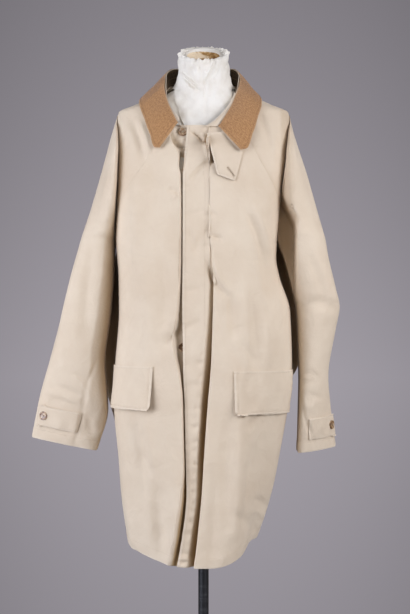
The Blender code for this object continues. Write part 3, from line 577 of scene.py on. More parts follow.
class Shell:
    """Joined surfaces of cloth made into one closed thin wall."""

    MERGE_DIGITS = 6
    SHARP = math.radians(50)
    CHUNK = 2000

    def __init__(self, surfaces: Sequence[Surface]) -> None:
        """Merges the points that the surfaces share.

        Args:
            surfaces: the cloth's surfaces, facing out.
        """
        corners = np.concatenate([s.grid.reshape(-1, 3) for s in surfaces])
        rounded = np.round(corners, self.MERGE_DIGITS)
        _, first, index = np.unique(rounded, axis=0, return_index=True, return_inverse=True)
        index = index.reshape(-1)
        self.points = corners[first]
        self.flat = np.concatenate([self.flat_places(s.grid) for s in surfaces])[first]
        self.hollow = np.concatenate([s.hollow.reshape(-1) for s in surfaces])[first]
        quads = []
        start = 0
        for surface in surfaces:
            rows, columns = surface.grid.shape[:2]
            ids = index[start : start + rows * columns].reshape(rows, columns)
            around = (ids[:-1, :-1], ids[:-1, 1:], ids[1:, 1:], ids[1:, :-1])
            quads.append(np.stack(around, axis=-1).reshape(-1, 4))
            start += rows * columns
        self.quads = np.concatenate(quads)

    @staticmethod
    def flat_places(grid: Array) -> Array:
        """Each point's place on the cloth laid flat, in metres across and up."""
        across = edge_distance(grid, Edge.FIRST_COLUMN).mean(axis=0)
        up = edge_distance(grid, Edge.BOTTOM).mean(axis=1)
        return np.stack(np.meshgrid(across, up), axis=-1).reshape(-1, 2)

    def normals(self) -> Array:
        """The cloth's normal at each merged point."""
        a, b, c, d = (self.points[self.quads[:, i]] for i in range(4))
        total = np.zeros_like(self.points)
        faces = np.cross(c - a, d - b)
        for i in range(4):
            np.add.at(total, self.quads[:, i], faces)
        return unit(total)

    def open_edges(self) -> Array:
        """Pairs of points along the cloth's open edges, in the faces' order."""
        pairs = np.concatenate([self.quads[:, (i, (i + 1) % 4)] for i in range(4)])
        pairs = pairs[pairs[:, 0] != pairs[:, 1]]
        _, first, counts = np.unique(np.sort(pairs, axis=1), axis=0, return_index=True, return_counts=True)
        return pairs[first[counts == 1]]

    def build(self, name: str, thickness: float, material: Material) -> Object:
        """Makes the closed wall.

        Args:
            name: the piece's name.
            thickness: the wall's thickness, inside the surfaces.
            material: the piece's material.

        Returns:
            The new object, with a UV map in metres, each point's distance from the cloth's edge, and its
            painted shade mask.
        """
        count = len(self.points)
        inner = self.points - self.normals() * thickness
        rim = self.open_edges()
        faces = [tuple(dict.fromkeys(q)) for q in self.quads.tolist()]
        faces = [f for f in faces if len(f) > 2]
        walls = faces + [tuple(i + count for i in reversed(f)) for f in faces]
        walls += [(b, a, a + count, b + count) for a, b in rim.tolist()]
        mesh = bpy.data.meshes.new(name)
        mesh.from_pydata(np.concatenate([self.points, inner]).tolist(), [], walls)
        self.write_flat(mesh, count)
        self.write_edge(mesh, rim)
        # the painted shade mask, which darkens the cotton's colour in folds
        self.write(mesh, "hollow", self.hollow)
        mesh.shade_smooth()
        mesh.set_sharp_from_angle(angle=self.SHARP)
        return new_object(name, mesh, material)

    def write_flat(self, mesh: bpy.types.Mesh, count: int) -> None:
        """Writes the flat places as the mesh's UV map."""
        corners = np.empty(len(mesh.loops), dtype=np.int32)
        mesh.loops.foreach_get("vertex_index", corners)
        layer = mesh.uv_layers.new(name="flat")
        layer.data.foreach_set("uv", self.flat[corners % count].astype(np.float32).ravel())

    def write_edge(self, mesh: bpy.types.Mesh, rim: Array) -> None:
        """Writes each point's distance from the nearest open edge as an attribute."""
        border = self.points[np.unique(rim)]
        nearest = np.empty(len(self.points))
        for start in range(0, len(self.points), self.CHUNK):
            part = slice(start, start + self.CHUNK)
            gaps = self.points[part, None] - border[None]
            nearest[part] = np.sqrt((gaps**2).sum(axis=-1).min(axis=1))
        self.write(mesh, "edge", nearest)

    @staticmethod
    def write(mesh: bpy.types.Mesh, name: str, values: Array) -> None:
        """Writes a value for each point, outside and inside, as an attribute."""
        attribute = mesh.attributes.new(name, "FLOAT", "POINT")
        attribute.data.foreach_set("value", np.tile(values, 2).astype(np.float32))


class Stitching:
    """Rows of thread on the cloth, joined into one mesh."""

    PITCH = 0.0036
    LENGTH = 0.0026
    RADIUS = 0.00034
    SUNK = 0.00012
    SHOULDERS = (0.2, 0.8)
    SIDES = 4

    def __init__(self) -> None:
        """Starts with no thread."""
        self.points: list[Array] = []

    def run(self, line: tuple[Array, Array]) -> "Stitching":
        """Sews a row of stitches.

        Args:
            line: the row's points, and the cloth's normal at each.

        Returns:
            This stitching, so that more can follow.
        """
        points, normals = line
        length = np.concatenate([[0.0], np.cumsum(np.linalg.norm(np.diff(points, axis=0), axis=1))])
        count = int(length[-1] / self.PITCH)
        if count < 2:
            return self
        middles = (np.arange(count) + 0.5) * length[-1] / count
        ends = [middles - self.LENGTH / 2, middles + self.LENGTH / 2]
        first, last = (np.stack([np.interp(e, length, points[:, k]) for k in range(3)], axis=1) for e in ends)
        up = unit(np.stack([np.interp(middles, length, normals[:, k]) for k in range(3)], axis=1))
        self.add(first, last, up)
        return self

    def follow(
        self, surface: Surface, edges: Sequence[Edge], inset: float, start: float = 0.0, stop: float = 1.0
    ) -> "Stitching":
        """Sews a row of stitches beside each of a surface's edges.

        Args:
            surface: the cloth.
            edges: the edges to follow.
            inset: how far inside the edges the rows run.
            start: share of an edge where its row starts.
            stop: share of an edge where its row stops.

        Returns:
            This stitching, so that more can follow.
        """
        for edge in edges:
            self.run(surface.beside(edge, inset, start, stop))
        return self

    def add(self, first: Array, last: Array, up: Array) -> None:
        """Adds single stitches.

        Args:
            first: where each stitch comes out of the cloth.
            last: where each goes in.
            up: the cloth's normal at each.
        """
        along = unit(last - first)
        side = np.cross(up, along) * self.RADIUS
        rise = up * self.RADIUS
        sunk = up * self.SUNK
        rings = [first - sunk]
        for share in self.SHOULDERS:
            middle = first + (last - first) * share + rise - sunk
            rings += [middle + side, middle + rise, middle - side, middle - rise]
        rings.append(last - sunk)
        self.points.append(np.stack(rings, axis=1))

    def build(self, name: str, material: Material) -> Object:
        """Makes one mesh of all the stitches.

        Args:
            name: the piece's name.
            material: the thread's material.

        Returns:
            The new object.
        """
        points = np.concatenate(self.points)
        last = 1 + 2 * self.SIDES
        pattern = []
        for i in range(self.SIDES):
            a, b = 1 + i, 1 + (i + 1) % self.SIDES
            c, d = a + self.SIDES, b + self.SIDES
            pattern += [(0, b, a, a), (a, b, d, c), (last, c, d, d)]
        cells = np.array(pattern)[None] + np.arange(len(points))[:, None, None] * (last + 1)
        faces = [tuple(dict.fromkeys(f)) for f in cells.reshape(-1, 4).tolist()]
        mesh = bpy.data.meshes.new(name)
        mesh.from_pydata(points.reshape(-1, 3).tolist(), [], faces)
        mesh.shade_smooth()
        return new_object(name, mesh, material)


@dataclass(frozen=True)
class Grain:
    """A noise pattern.

    Attributes:
        scale: how fine it is.
        detail: how many finer layers it has.
        roughness: how strong its finer layers are.
        distortion: how far it swirls.
    """

    scale: float
    detail: float = 3.0
    roughness: float = 0.5
    distortion: float = 0.0


class NodeGraph:
    """Short calls that build the nodes of one material, or of the world."""

    def __init__(self, name: str, world: bool = False) -> None:
        """Makes the material or the world, with its shader.

        Args:
            name: its name.
            world: whether to make the world.
        """
        kind, shader = (bpy.data.worlds, "Background") if world else (bpy.data.materials, "Principled BSDF")
        self.owner = kind.new(name)
        self.owner.use_nodes = True
        self.nodes = self.owner.node_tree.nodes
        self.links = self.owner.node_tree.links
        self.shader = self.nodes[shader]

    def set(self, **values: float | tuple[float, ...]) -> None:
        """Sets the shader's own sockets, named with underscores for spaces."""
        for name, value in values.items():
            self.shader.inputs[name.replace("_", " ")].default_value = value

    def feed(self, socket: Socket, name: str) -> None:
        """Links an output to one of the shader's sockets."""
        self.links.new(socket, self.shader.inputs[name])

    def node(self, kind: str, inputs: dict | None = None, **settings: object) -> bpy.types.Node:
        """Adds a node.

        Args:
            kind: the node's type, without its ShaderNode prefix.
            inputs: what its sockets hold: a value, or an output to link.
            settings: the node's own settings.

        Returns:
            The new node.
        """
        made = self.nodes.new("ShaderNode" + kind)
        for name, value in settings.items():
            setattr(made, name, value)
        for key, value in (inputs or {}).items():
            if isinstance(value, Socket):
                self.links.new(value, made.inputs[key])
            else:
                made.inputs[key].default_value = value
        return made

    def place(self, source: str, scale: Sequence[float] = (1, 1, 1)) -> Socket:
        """Texture places on the piece.

        Args:
            source: Object or UV.
            scale: how much to stretch the pattern along each axis.

        Returns:
            The places.
        """
        coordinates = self.node("TexCoord").outputs[source]
        return self.node("Mapping", {"Vector": coordinates, "Scale": tuple(scale)}).outputs["Vector"]

    def noise(self, place: Socket, grain: Grain) -> Socket:
        """A noise pattern's height, from 0 to 1."""
        inputs = {"Vector": place, "Scale": grain.scale, "Detail": grain.detail}
        inputs.update({"Roughness": grain.roughness, "Distortion": grain.distortion})
        return self.node("TexNoise", inputs).outputs["Fac"]

    def parts(self, place: Socket) -> Sequence[Socket]:
        """A place's distances along x, y and z."""
        return self.node("SeparateXYZ", {0: place}).outputs

    def attribute(self, name: str) -> Socket:
        """A value that the mesh holds for each point."""
        return self.node("Attribute", attribute_name=name).outputs["Fac"]

    def near_edge(self, width: float) -> Socket:
        """How near the cloth's edge is, from 1 at the edge to 0 at a width inside it."""
        far = self.math("DIVIDE", self.attribute("edge"), width, clamp=True)
        return self.math("SUBTRACT", 1.0, far, clamp=True)

    def wave(self, value: Socket, length: float) -> Socket:
        """A sine wave of a given length along a value."""
        return self.math("SINE", self.math("MULTIPLY", value, FULL_TURN / length))

    def between(self, value: Socket, low: float, high: float, start: float = 0.0, end: float = 1.0) -> Socket:
        """A value taken from one span to another and held at its ends.

        Args:
            value: the value.
            low: where the first span starts.
            high: where it ends.
            start: what the low end becomes.
            end: what the high end becomes.

        Returns:
            The new value.
        """
        return self.node("MapRange", {0: value, 1: low, 2: high, 3: start, 4: end}).outputs[0]

    def math(self, operation: str, first: object, second: object = 0.0, clamp: bool = False) -> Socket:
        """The result of a sum on one or two values or outputs."""
        return self.node("Math", {0: first, 1: second}, operation=operation, use_clamp=clamp).outputs[0]

    def ramp(self, value: Socket, *stops: tuple[float, Sequence[float]]) -> Socket:
        """A colour picked by a value along a row of stops, each a place and a colour."""
        made = self.node("ValToRGB", {"Fac": value})
        elements = made.color_ramp.elements
        while len(elements) < len(stops):
            elements.new(1.0)
        for element, (place, colour) in zip(elements, stops):
            element.position = place
            element.color = (*colour, 1.0)
        return made.outputs["Color"]

    def mix(self, share: object, first: object, second: object, blend: str = "MIX") -> Socket:
        """Two colours mixed by a share."""
        made = self.node("Mix", data_type="RGBA", blend_type=blend)
        for socket, value in ((made.inputs[0], share), (made.inputs[6], first), (made.inputs[7], second)):
            if isinstance(value, Socket):
                self.links.new(value, socket)
            else:
                socket.default_value = value if isinstance(value, float) else (*value, 1.0)
        return made.outputs[2]

    def bump(self, height: Socket, strength: float, distance: float) -> None:
        """Adds a bump to the shader, over any that is there."""
        inputs = {"Height": height, "Strength": strength, "Distance": distance}
        there = self.shader.inputs["Normal"].links
        if there:
            inputs["Normal"] = there[0].from_socket
        self.feed(self.node("Bump", inputs).outputs["Normal"], "Normal")


@dataclass(frozen=True)
class CottonFinish:
    """Close-woven cream cotton: fine crossing threads, faint slubs, paler worn edges, and painted shade in
    its folds.

    Attributes:
        colour: the cloth's main colour.
        shade: its darker tone in the mottling.
        worn: its tone along rubbed edges.
        deep: the painted shade colour that its tone is multiplied towards in folds and gaps, as far as the
            hollow attribute says.
        mottle: the mottling.
        mottle_ends: heights of the mottling where its darker tone starts and is whole.
        slub: how the slubs are drawn out across and along the cloth.
        slub_share: how strongly the slubs darken it.
        rub: how wide its rubbed edges are.
        rub_patches: where those edges are rubbed.
        unrubbed_across: how far out its raglan seams stay unrubbed, from none to all.
        unrubbed_above: how high up they do.
        roughness: its least roughness, and how much the mottling adds.
        crumple: its soft crumple.
        crumple_bump: the crumple's strength and depth.
        fine: its fine crumple.
        fine_bump: that one's strength and depth.
        thread: distance between threads.
        thread_bump: the weave's strength and depth.
    """

    colour: Colour = (0.672, 0.550, 0.394)
    shade: Colour = (0.610, 0.482, 0.334)
    worn: Colour = (0.70, 0.588, 0.440)
    # painted shade colour for folds, grooves and gaps
    deep: Colour = (0.52, 0.40, 0.24)
    mottle: Grain = Grain(9.0, 4.0, 0.6)
    mottle_ends: Pair = (0.30, 0.70)
    slub: Triple = (900, 60, 1)
    slub_share: float = 0.10
    rub: float = 0.006
    rub_patches: Grain = Grain(60.0)
    unrubbed_across: Pair = (0.060, 0.085)
    unrubbed_above: Pair = (1.12, 1.16)
    roughness: Pair = (0.74, 0.12)
    crumple: Grain = Grain(26.0, 4.0, 0.55, 0.8)
    crumple_bump: Pair = (0.45, 0.0060)
    fine: Grain = Grain(120.0, 3.0, 0.6)
    fine_bump: Pair = (0.20, 0.0018)
    thread: float = 0.0006
    thread_bump: Pair = (0.25, 0.00006)

    def rubbed(self, graph: NodeGraph, solid: Socket) -> Socket:
        """How far the cloth is rubbed: in patches along its edges, but not along its raglan seams."""
        across, _, height = graph.parts(solid)
        aside = graph.between(graph.math("ABSOLUTE", across), *self.unrubbed_across)
        above = graph.between(height, *self.unrubbed_above)
        free = graph.math("SUBTRACT", 1.0, graph.math("MULTIPLY", aside, above))
        near = graph.math("MULTIPLY", graph.near_edge(self.rub), free)
        return graph.math("MULTIPLY", near, graph.noise(solid, self.rub_patches))

    def material(self) -> Material:
        """Builds the cloth's material."""
        graph = NodeGraph("cream_cotton")
        graph.set(Sheen_Weight=0.12, Sheen_Roughness=0.45, Specular_IOR_Level=0.25)
        solid = graph.place("Object")
        mottle = graph.noise(solid, self.mottle)
        low, high = self.mottle_ends
        tone = graph.mix(graph.ramp(mottle, (low, (0, 0, 0)), (high, (1, 1, 1))), self.colour, self.shade)
        slubs = graph.noise(graph.place("UV", self.slub), Grain(1.0, 2.0))
        tone = graph.mix(graph.math("MULTIPLY", slubs, self.slub_share), tone, self.shade)
        tone = graph.mix(self.rubbed(graph, solid), tone, self.worn)
        # painted shade: the hollow attribute darkens the colour towards deep in folds, grooves and gaps
        graph.feed(graph.mix(graph.attribute("hollow"), tone, self.deep, "MULTIPLY"), "Base Color")
        least, more = self.roughness
        graph.feed(graph.math("ADD", graph.math("MULTIPLY", mottle, more), least), "Roughness")
        graph.bump(graph.noise(solid, self.crumple), *self.crumple_bump)
        graph.bump(graph.noise(solid, self.fine), *self.fine_bump)
        across, along, _ = graph.parts(graph.place("UV"))
        weave = graph.math("MULTIPLY", graph.wave(across, self.thread), graph.wave(along, self.thread))
        graph.bump(weave, *self.thread_bump)
        return graph.owner


@dataclass(frozen=True)
class CorduroyFinish:
    """Fine tan corduroy: raised wales from the roll line to the edge, with painted shade in the valleys
    between them and a rubbed nap.

    Attributes:
        colour: the nap's main colour.
        shade: its tone where the nap lies the other way.
        valley_shade: the painted shade colour in the valleys between wales.
        worn: its tone along rubbed edges.
        wale: distance between wales.
        wale_bump: the wales' strength and depth.
        wale_drift: how far they drift, and how unevenly.
        valley_shade_share: how strongly that painted shade darkens the valleys.
        roundness: how full the wales are, in their painted valley shade and in relief.
        nap: how the nap's marks are drawn out across and along the cloth.
        nap_ends: heights of those marks where the main colour starts and is whole.
        rub: how wide its rubbed edges are.
        rub_share: how strongly they are rubbed.
        rub_patches: where they are rubbed.
        fibre: its finest relief.
        fibre_bump: that one's strength and depth.
    """

    colour: Colour = (0.540, 0.288, 0.122)
    shade: Colour = (0.350, 0.176, 0.068)
    valley_shade: Colour = (0.190, 0.089, 0.034)
    worn: Colour = (0.56, 0.357, 0.189)
    wale: float = 0.0021
    wale_bump: Pair = (0.8, 0.0006)
    wale_drift: tuple[float, Grain] = (0.0009, Grain(30.0, 2.0))
    valley_shade_share: float = 0.65
    roundness: Pair = (0.6, 0.7)
    nap: Triple = (150, 330, 1)
    nap_ends: Pair = (0.40, 0.60)
    rub: float = 0.004
    rub_share: float = 1.1
    rub_patches: Grain = Grain(120.0)
    fibre: Grain = Grain(900.0, 2.0)
    fibre_bump: Pair = (0.3, 0.0003)

    def material(self) -> Material:
        """Builds the corduroy's material."""
        graph = NodeGraph("tan_corduroy")
        graph.set(Roughness=0.95, Sheen_Weight=0.15, Sheen_Roughness=0.5, Specular_IOR_Level=0.10)
        solid = graph.place("Object")
        nap = graph.noise(graph.place("UV", self.nap), Grain(1.0, 3.0, 0.75))
        tone = graph.ramp(nap, *zip(self.nap_ends, (self.shade, self.colour)))
        reach, grain = self.wale_drift
        drift = graph.math("MULTIPLY", graph.noise(solid, grain), reach)
        along = graph.math("ADD", graph.parts(graph.place("UV"))[1], drift)
        wale = graph.math("ABSOLUTE", graph.wave(along, 2 * self.wale))
        tone_power, relief_power = self.roundness
        # painted shade: the colour darkens towards valley in the valleys between the wales' bumps
        low = graph.math("SUBTRACT", 1.0, graph.math("POWER", wale, tone_power), clamp=True)
        tone = graph.mix(graph.math("MULTIPLY", low, self.valley_shade_share), tone, self.valley_shade)
        patches = graph.math("MULTIPLY", graph.noise(solid, self.rub_patches), self.rub_share)
        rub = graph.math("MULTIPLY", graph.near_edge(self.rub), patches, clamp=True)
        graph.feed(graph.mix(rub, tone, self.worn), "Base Color")
        graph.bump(graph.math("POWER", wale, relief_power), *self.wale_bump)
        graph.bump(graph.noise(solid, self.fibre), *self.fibre_bump)
        return graph.owner


@dataclass(frozen=True)
class HornFinish:
    """Polished brown horn with pale and dark streaks.

    Attributes:
        dark: the darkest streaks.
        middle: the main brown.
        pale: the palest streaks.
        streak: how the streaks are drawn out along each axis.
        streak_ends: heights of the streaks where each tone lies.
        polish: its finest relief.
        polish_bump: that one's strength and depth.
    """

    dark: Colour = (0.060, 0.026, 0.010)
    middle: Colour = (0.235, 0.118, 0.045)
    pale: Colour = (0.52, 0.36, 0.20)
    streak: Triple = (130, 260, 60)
    streak_ends: Triple = (0.34, 0.48, 0.64)
    polish: Grain = Grain(900.0, 2.0)
    polish_bump: Pair = (0.08, 0.0002)

    def material(self) -> Material:
        """Builds the horn's material."""
        graph = NodeGraph("brown_horn")
        graph.set(Roughness=0.28, Coat_Weight=0.4, Coat_Roughness=0.15)
        streak = graph.noise(graph.place("Object", self.streak), Grain(1.0, 4.0, distortion=1.6))
        tone = graph.ramp(streak, *zip(self.streak_ends, (self.dark, self.middle, self.pale)))
        graph.feed(tone, "Base Color")
        graph.bump(graph.noise(graph.place("Object"), self.polish), *self.polish_bump)
        return graph.owner


@dataclass(frozen=True)
class ThreadFinish:
    """Matt sewing thread.

    Attributes:
        name: the material's name.
        colour: the thread's colour.
        shade: its tone between plies.
        ply: pattern of its plies.
    """

    name: str
    colour: Colour
    shade: Colour
    ply: Grain = Grain(1500.0, 2.0)

    def material(self) -> Material:
        """Builds the thread's material."""
        graph = NodeGraph(self.name)
        graph.set(Roughness=0.7, Specular_IOR_Level=0.3)
        ply = graph.noise(graph.place("Object"), self.ply)
        graph.feed(graph.mix(ply, self.colour, self.shade), "Base Color")
        return graph.owner


@dataclass(frozen=True)
class LiningFinish:
    """Dark brown woven lining, its near-black colour partly its own and partly painted shade inside the back
    of the collar.

    Attributes:
        colour: the lining's main brown, darkened as painted shade.
        check: its paler woven lines.
        step: distance between the lines.
        fineness: how thin the lines are.
    """

    colour: Colour = (0.040, 0.024, 0.012)
    check: Colour = (0.095, 0.062, 0.030)
    step: float = 0.012
    fineness: float = 6.0

    def material(self) -> Material:
        """Builds the lining's material."""
        graph = NodeGraph("brown_lining_and_shade")
        graph.set(Roughness=0.8, Specular_IOR_Level=0.2)
        across, along, _ = graph.parts(graph.place("UV"))
        both = graph.math("MAXIMUM", graph.wave(across, self.step), graph.wave(along, self.step))
        lines = graph.math("POWER", both, self.fineness)
        graph.feed(graph.mix(lines, self.colour, self.check), "Base Color")
        return graph.owner


@dataclass(frozen=True)
class PaperFinish:
    """White wrapped paper: crinkled, faintly stained.

    Attributes:
        colour: the paper's white.
        stain: its tone where it has aged.
        age: pattern of the stains.
        age_ends: heights of that pattern where the stain starts and is whole.
        roughness: its roughness at each of two heights of that pattern.
        crinkle: how fine its crinkles are.
        crinkle_bump: their strength and depth.
        fibre: its finest relief.
        fibre_bump: that one's strength and depth.
    """

    colour: Colour = (0.775, 0.717, 0.604)
    stain: Colour = (0.69, 0.615, 0.490)
    age: Grain = Grain(22.0, 5.0, 0.6)
    age_ends: Pair = (0.40, 0.75)
    roughness: tuple[Pair, Pair] = ((0.3, 0.5), (0.7, 0.75))
    crinkle: float = 55.0
    crinkle_bump: Pair = (0.45, 0.002)
    fibre: Grain = Grain(260.0, 4.0)
    fibre_bump: Pair = (0.2, 0.0012)

    def material(self) -> Material:
        """Builds the paper's material."""
        graph = NodeGraph("white_paper")
        graph.set(Specular_IOR_Level=0.35)
        solid = graph.place("Object")
        age = graph.noise(solid, self.age)
        graph.feed(graph.ramp(age, *zip(self.age_ends, (self.colour, self.stain))), "Base Color")
        graph.feed(graph.ramp(age, *((place, (rough,) * 3) for place, rough in self.roughness)), "Roughness")
        folds = graph.node("TexVoronoi", {"Vector": solid, "Scale": self.crinkle}, feature="DISTANCE_TO_EDGE")
        graph.bump(folds.outputs["Distance"], *self.crinkle_bump)
        graph.bump(graph.noise(solid, self.fibre), *self.fibre_bump)
        return graph.owner


@dataclass(frozen=True)
class CoreFinish:
    """The rough tan inside of the form's neck, darker towards the wearer's left.

    Attributes:
        dark: its deepest brown.
        middle: its main orange brown.
        pale: its broken pale fibres.
        patch: pattern of the three tones.
        patch_ends: heights of that pattern where each tone lies.
        even: distance across where the pattern is even.
        paler: how much the pattern rises for each metre to the wearer's right.
        rough: its broken relief.
        rough_bump: that one's strength and depth.
    """

    dark: Colour = (0.190, 0.072, 0.011)
    middle: Colour = (0.48, 0.270, 0.085)
    pale: Colour = (0.88, 0.690, 0.450)
    patch: Grain = Grain(48.0, 5.0, 0.65, 0.6)
    patch_ends: Triple = (0.36, 0.48, 0.62)
    even: float = 0.006
    paler: float = 6.0
    rough: Grain = Grain(180.0, 5.0)
    rough_bump: Pair = (0.7, 0.003)

    def material(self) -> Material:
        """Builds the core's material."""
        graph = NodeGraph("tan_core")
        graph.set(Roughness=0.85)
        solid = graph.place("Object")
        aside = graph.math("SUBTRACT", self.even, graph.parts(solid)[0])
        patch = graph.math("ADD", graph.noise(solid, self.patch), graph.math("MULTIPLY", aside, self.paler))
        tone = graph.ramp(patch, *zip(self.patch_ends, (self.dark, self.middle, self.pale)))
        graph.feed(tone, "Base Color")
        graph.bump(graph.noise(solid, self.rough), *self.rough_bump)
        return graph.owner


@dataclass(frozen=True)
class MetalFinish:
    """Satin black painted metal with faint rubs.

    Attributes:
        colour: the paint's black.
        rubbed: its tone where it is rubbed.
        rub: how the rubs are drawn out along each axis.
        rub_ends: heights of the rubs where the rubbed tone starts and is whole.
        roughness: its roughness at each of two heights of the rubs.
        orange_peel: its finest relief.
        orange_peel_bump: that one's strength and depth.
    """

    colour: Colour = (0.014, 0.0135, 0.014)
    rubbed: Colour = (0.05, 0.049, 0.048)
    rub: Triple = (40, 40, 260)
    rub_ends: Pair = (0.52, 0.80)
    roughness: tuple[Pair, Pair] = ((0.3, 0.36), (0.8, 0.52))
    orange_peel: Grain = Grain(700.0, 2.0)
    orange_peel_bump: Pair = (0.06, 0.0004)

    def material(self) -> Material:
        """Builds the metal's material."""
        graph = NodeGraph("black_metal")
        graph.set(Metallic=0.2, Coat_Weight=0.15, Coat_Roughness=0.35)
        rubs = graph.noise(graph.place("Object", self.rub), Grain(1.0, 4.0))
        graph.feed(graph.ramp(rubs, *zip(self.rub_ends, (self.colour, self.rubbed))), "Base Color")
        graph.feed(graph.ramp(rubs, *((place, (rough,) * 3) for place, rough in self.roughness)), "Roughness")
        graph.bump(graph.noise(graph.place("Object"), self.orange_peel), *self.orange_peel_bump)
        return graph.owner


@dataclass(frozen=True)
class FloorFinish:
    """A pale floor that fades out round the stand.

    Attributes:
        colour: the floor's pale grey.
        darker: how much darker its grain is.
        grain: pattern of its grain.
        inner: how far out it is whole.
        outer: how far out it has faded.
    """

    colour: Colour = (0.58, 0.575, 0.59)
    darker: float = 0.94
    grain: Grain = Grain(35.0)
    inner: float = 0.45
    outer: float = 1.25

    def material(self) -> Material:
        """Builds the floor's material."""
        graph = NodeGraph("pale_floor")
        graph.set(Roughness=0.75)
        solid = graph.place("Object")
        darker = tuple(c * self.darker for c in self.colour)
        graph.feed(graph.mix(graph.noise(solid, self.grain), self.colour, darker), "Base Color")
        away = graph.node("VectorMath", {0: solid}, operation="LENGTH").outputs["Value"]
        fade = graph.between(away, self.inner, self.outer, 1.0, 0.0)
        fade.node.interpolation_type = "SMOOTHSTEP"
        graph.feed(fade, "Alpha")
        return graph.owner


class Finishes:
    """Every material of the part, made once."""

    def __init__(self) -> None:
        """Makes the materials."""
        self.cotton = CottonFinish().material()
        self.corduroy = CorduroyFinish().material()
        self.horn = HornFinish().material()
        self.thread = ThreadFinish("cream_thread", (0.60, 0.482, 0.341), (0.50, 0.386, 0.260)).material()
        self.brown_thread = ThreadFinish("brown_thread", (0.20, 0.11, 0.05), (0.12, 0.06, 0.03)).material()
        self.lining = LiningFinish().material()
        self.paper = PaperFinish().material()
        self.core = CoreFinish().material()
        self.metal = MetalFinish().material()


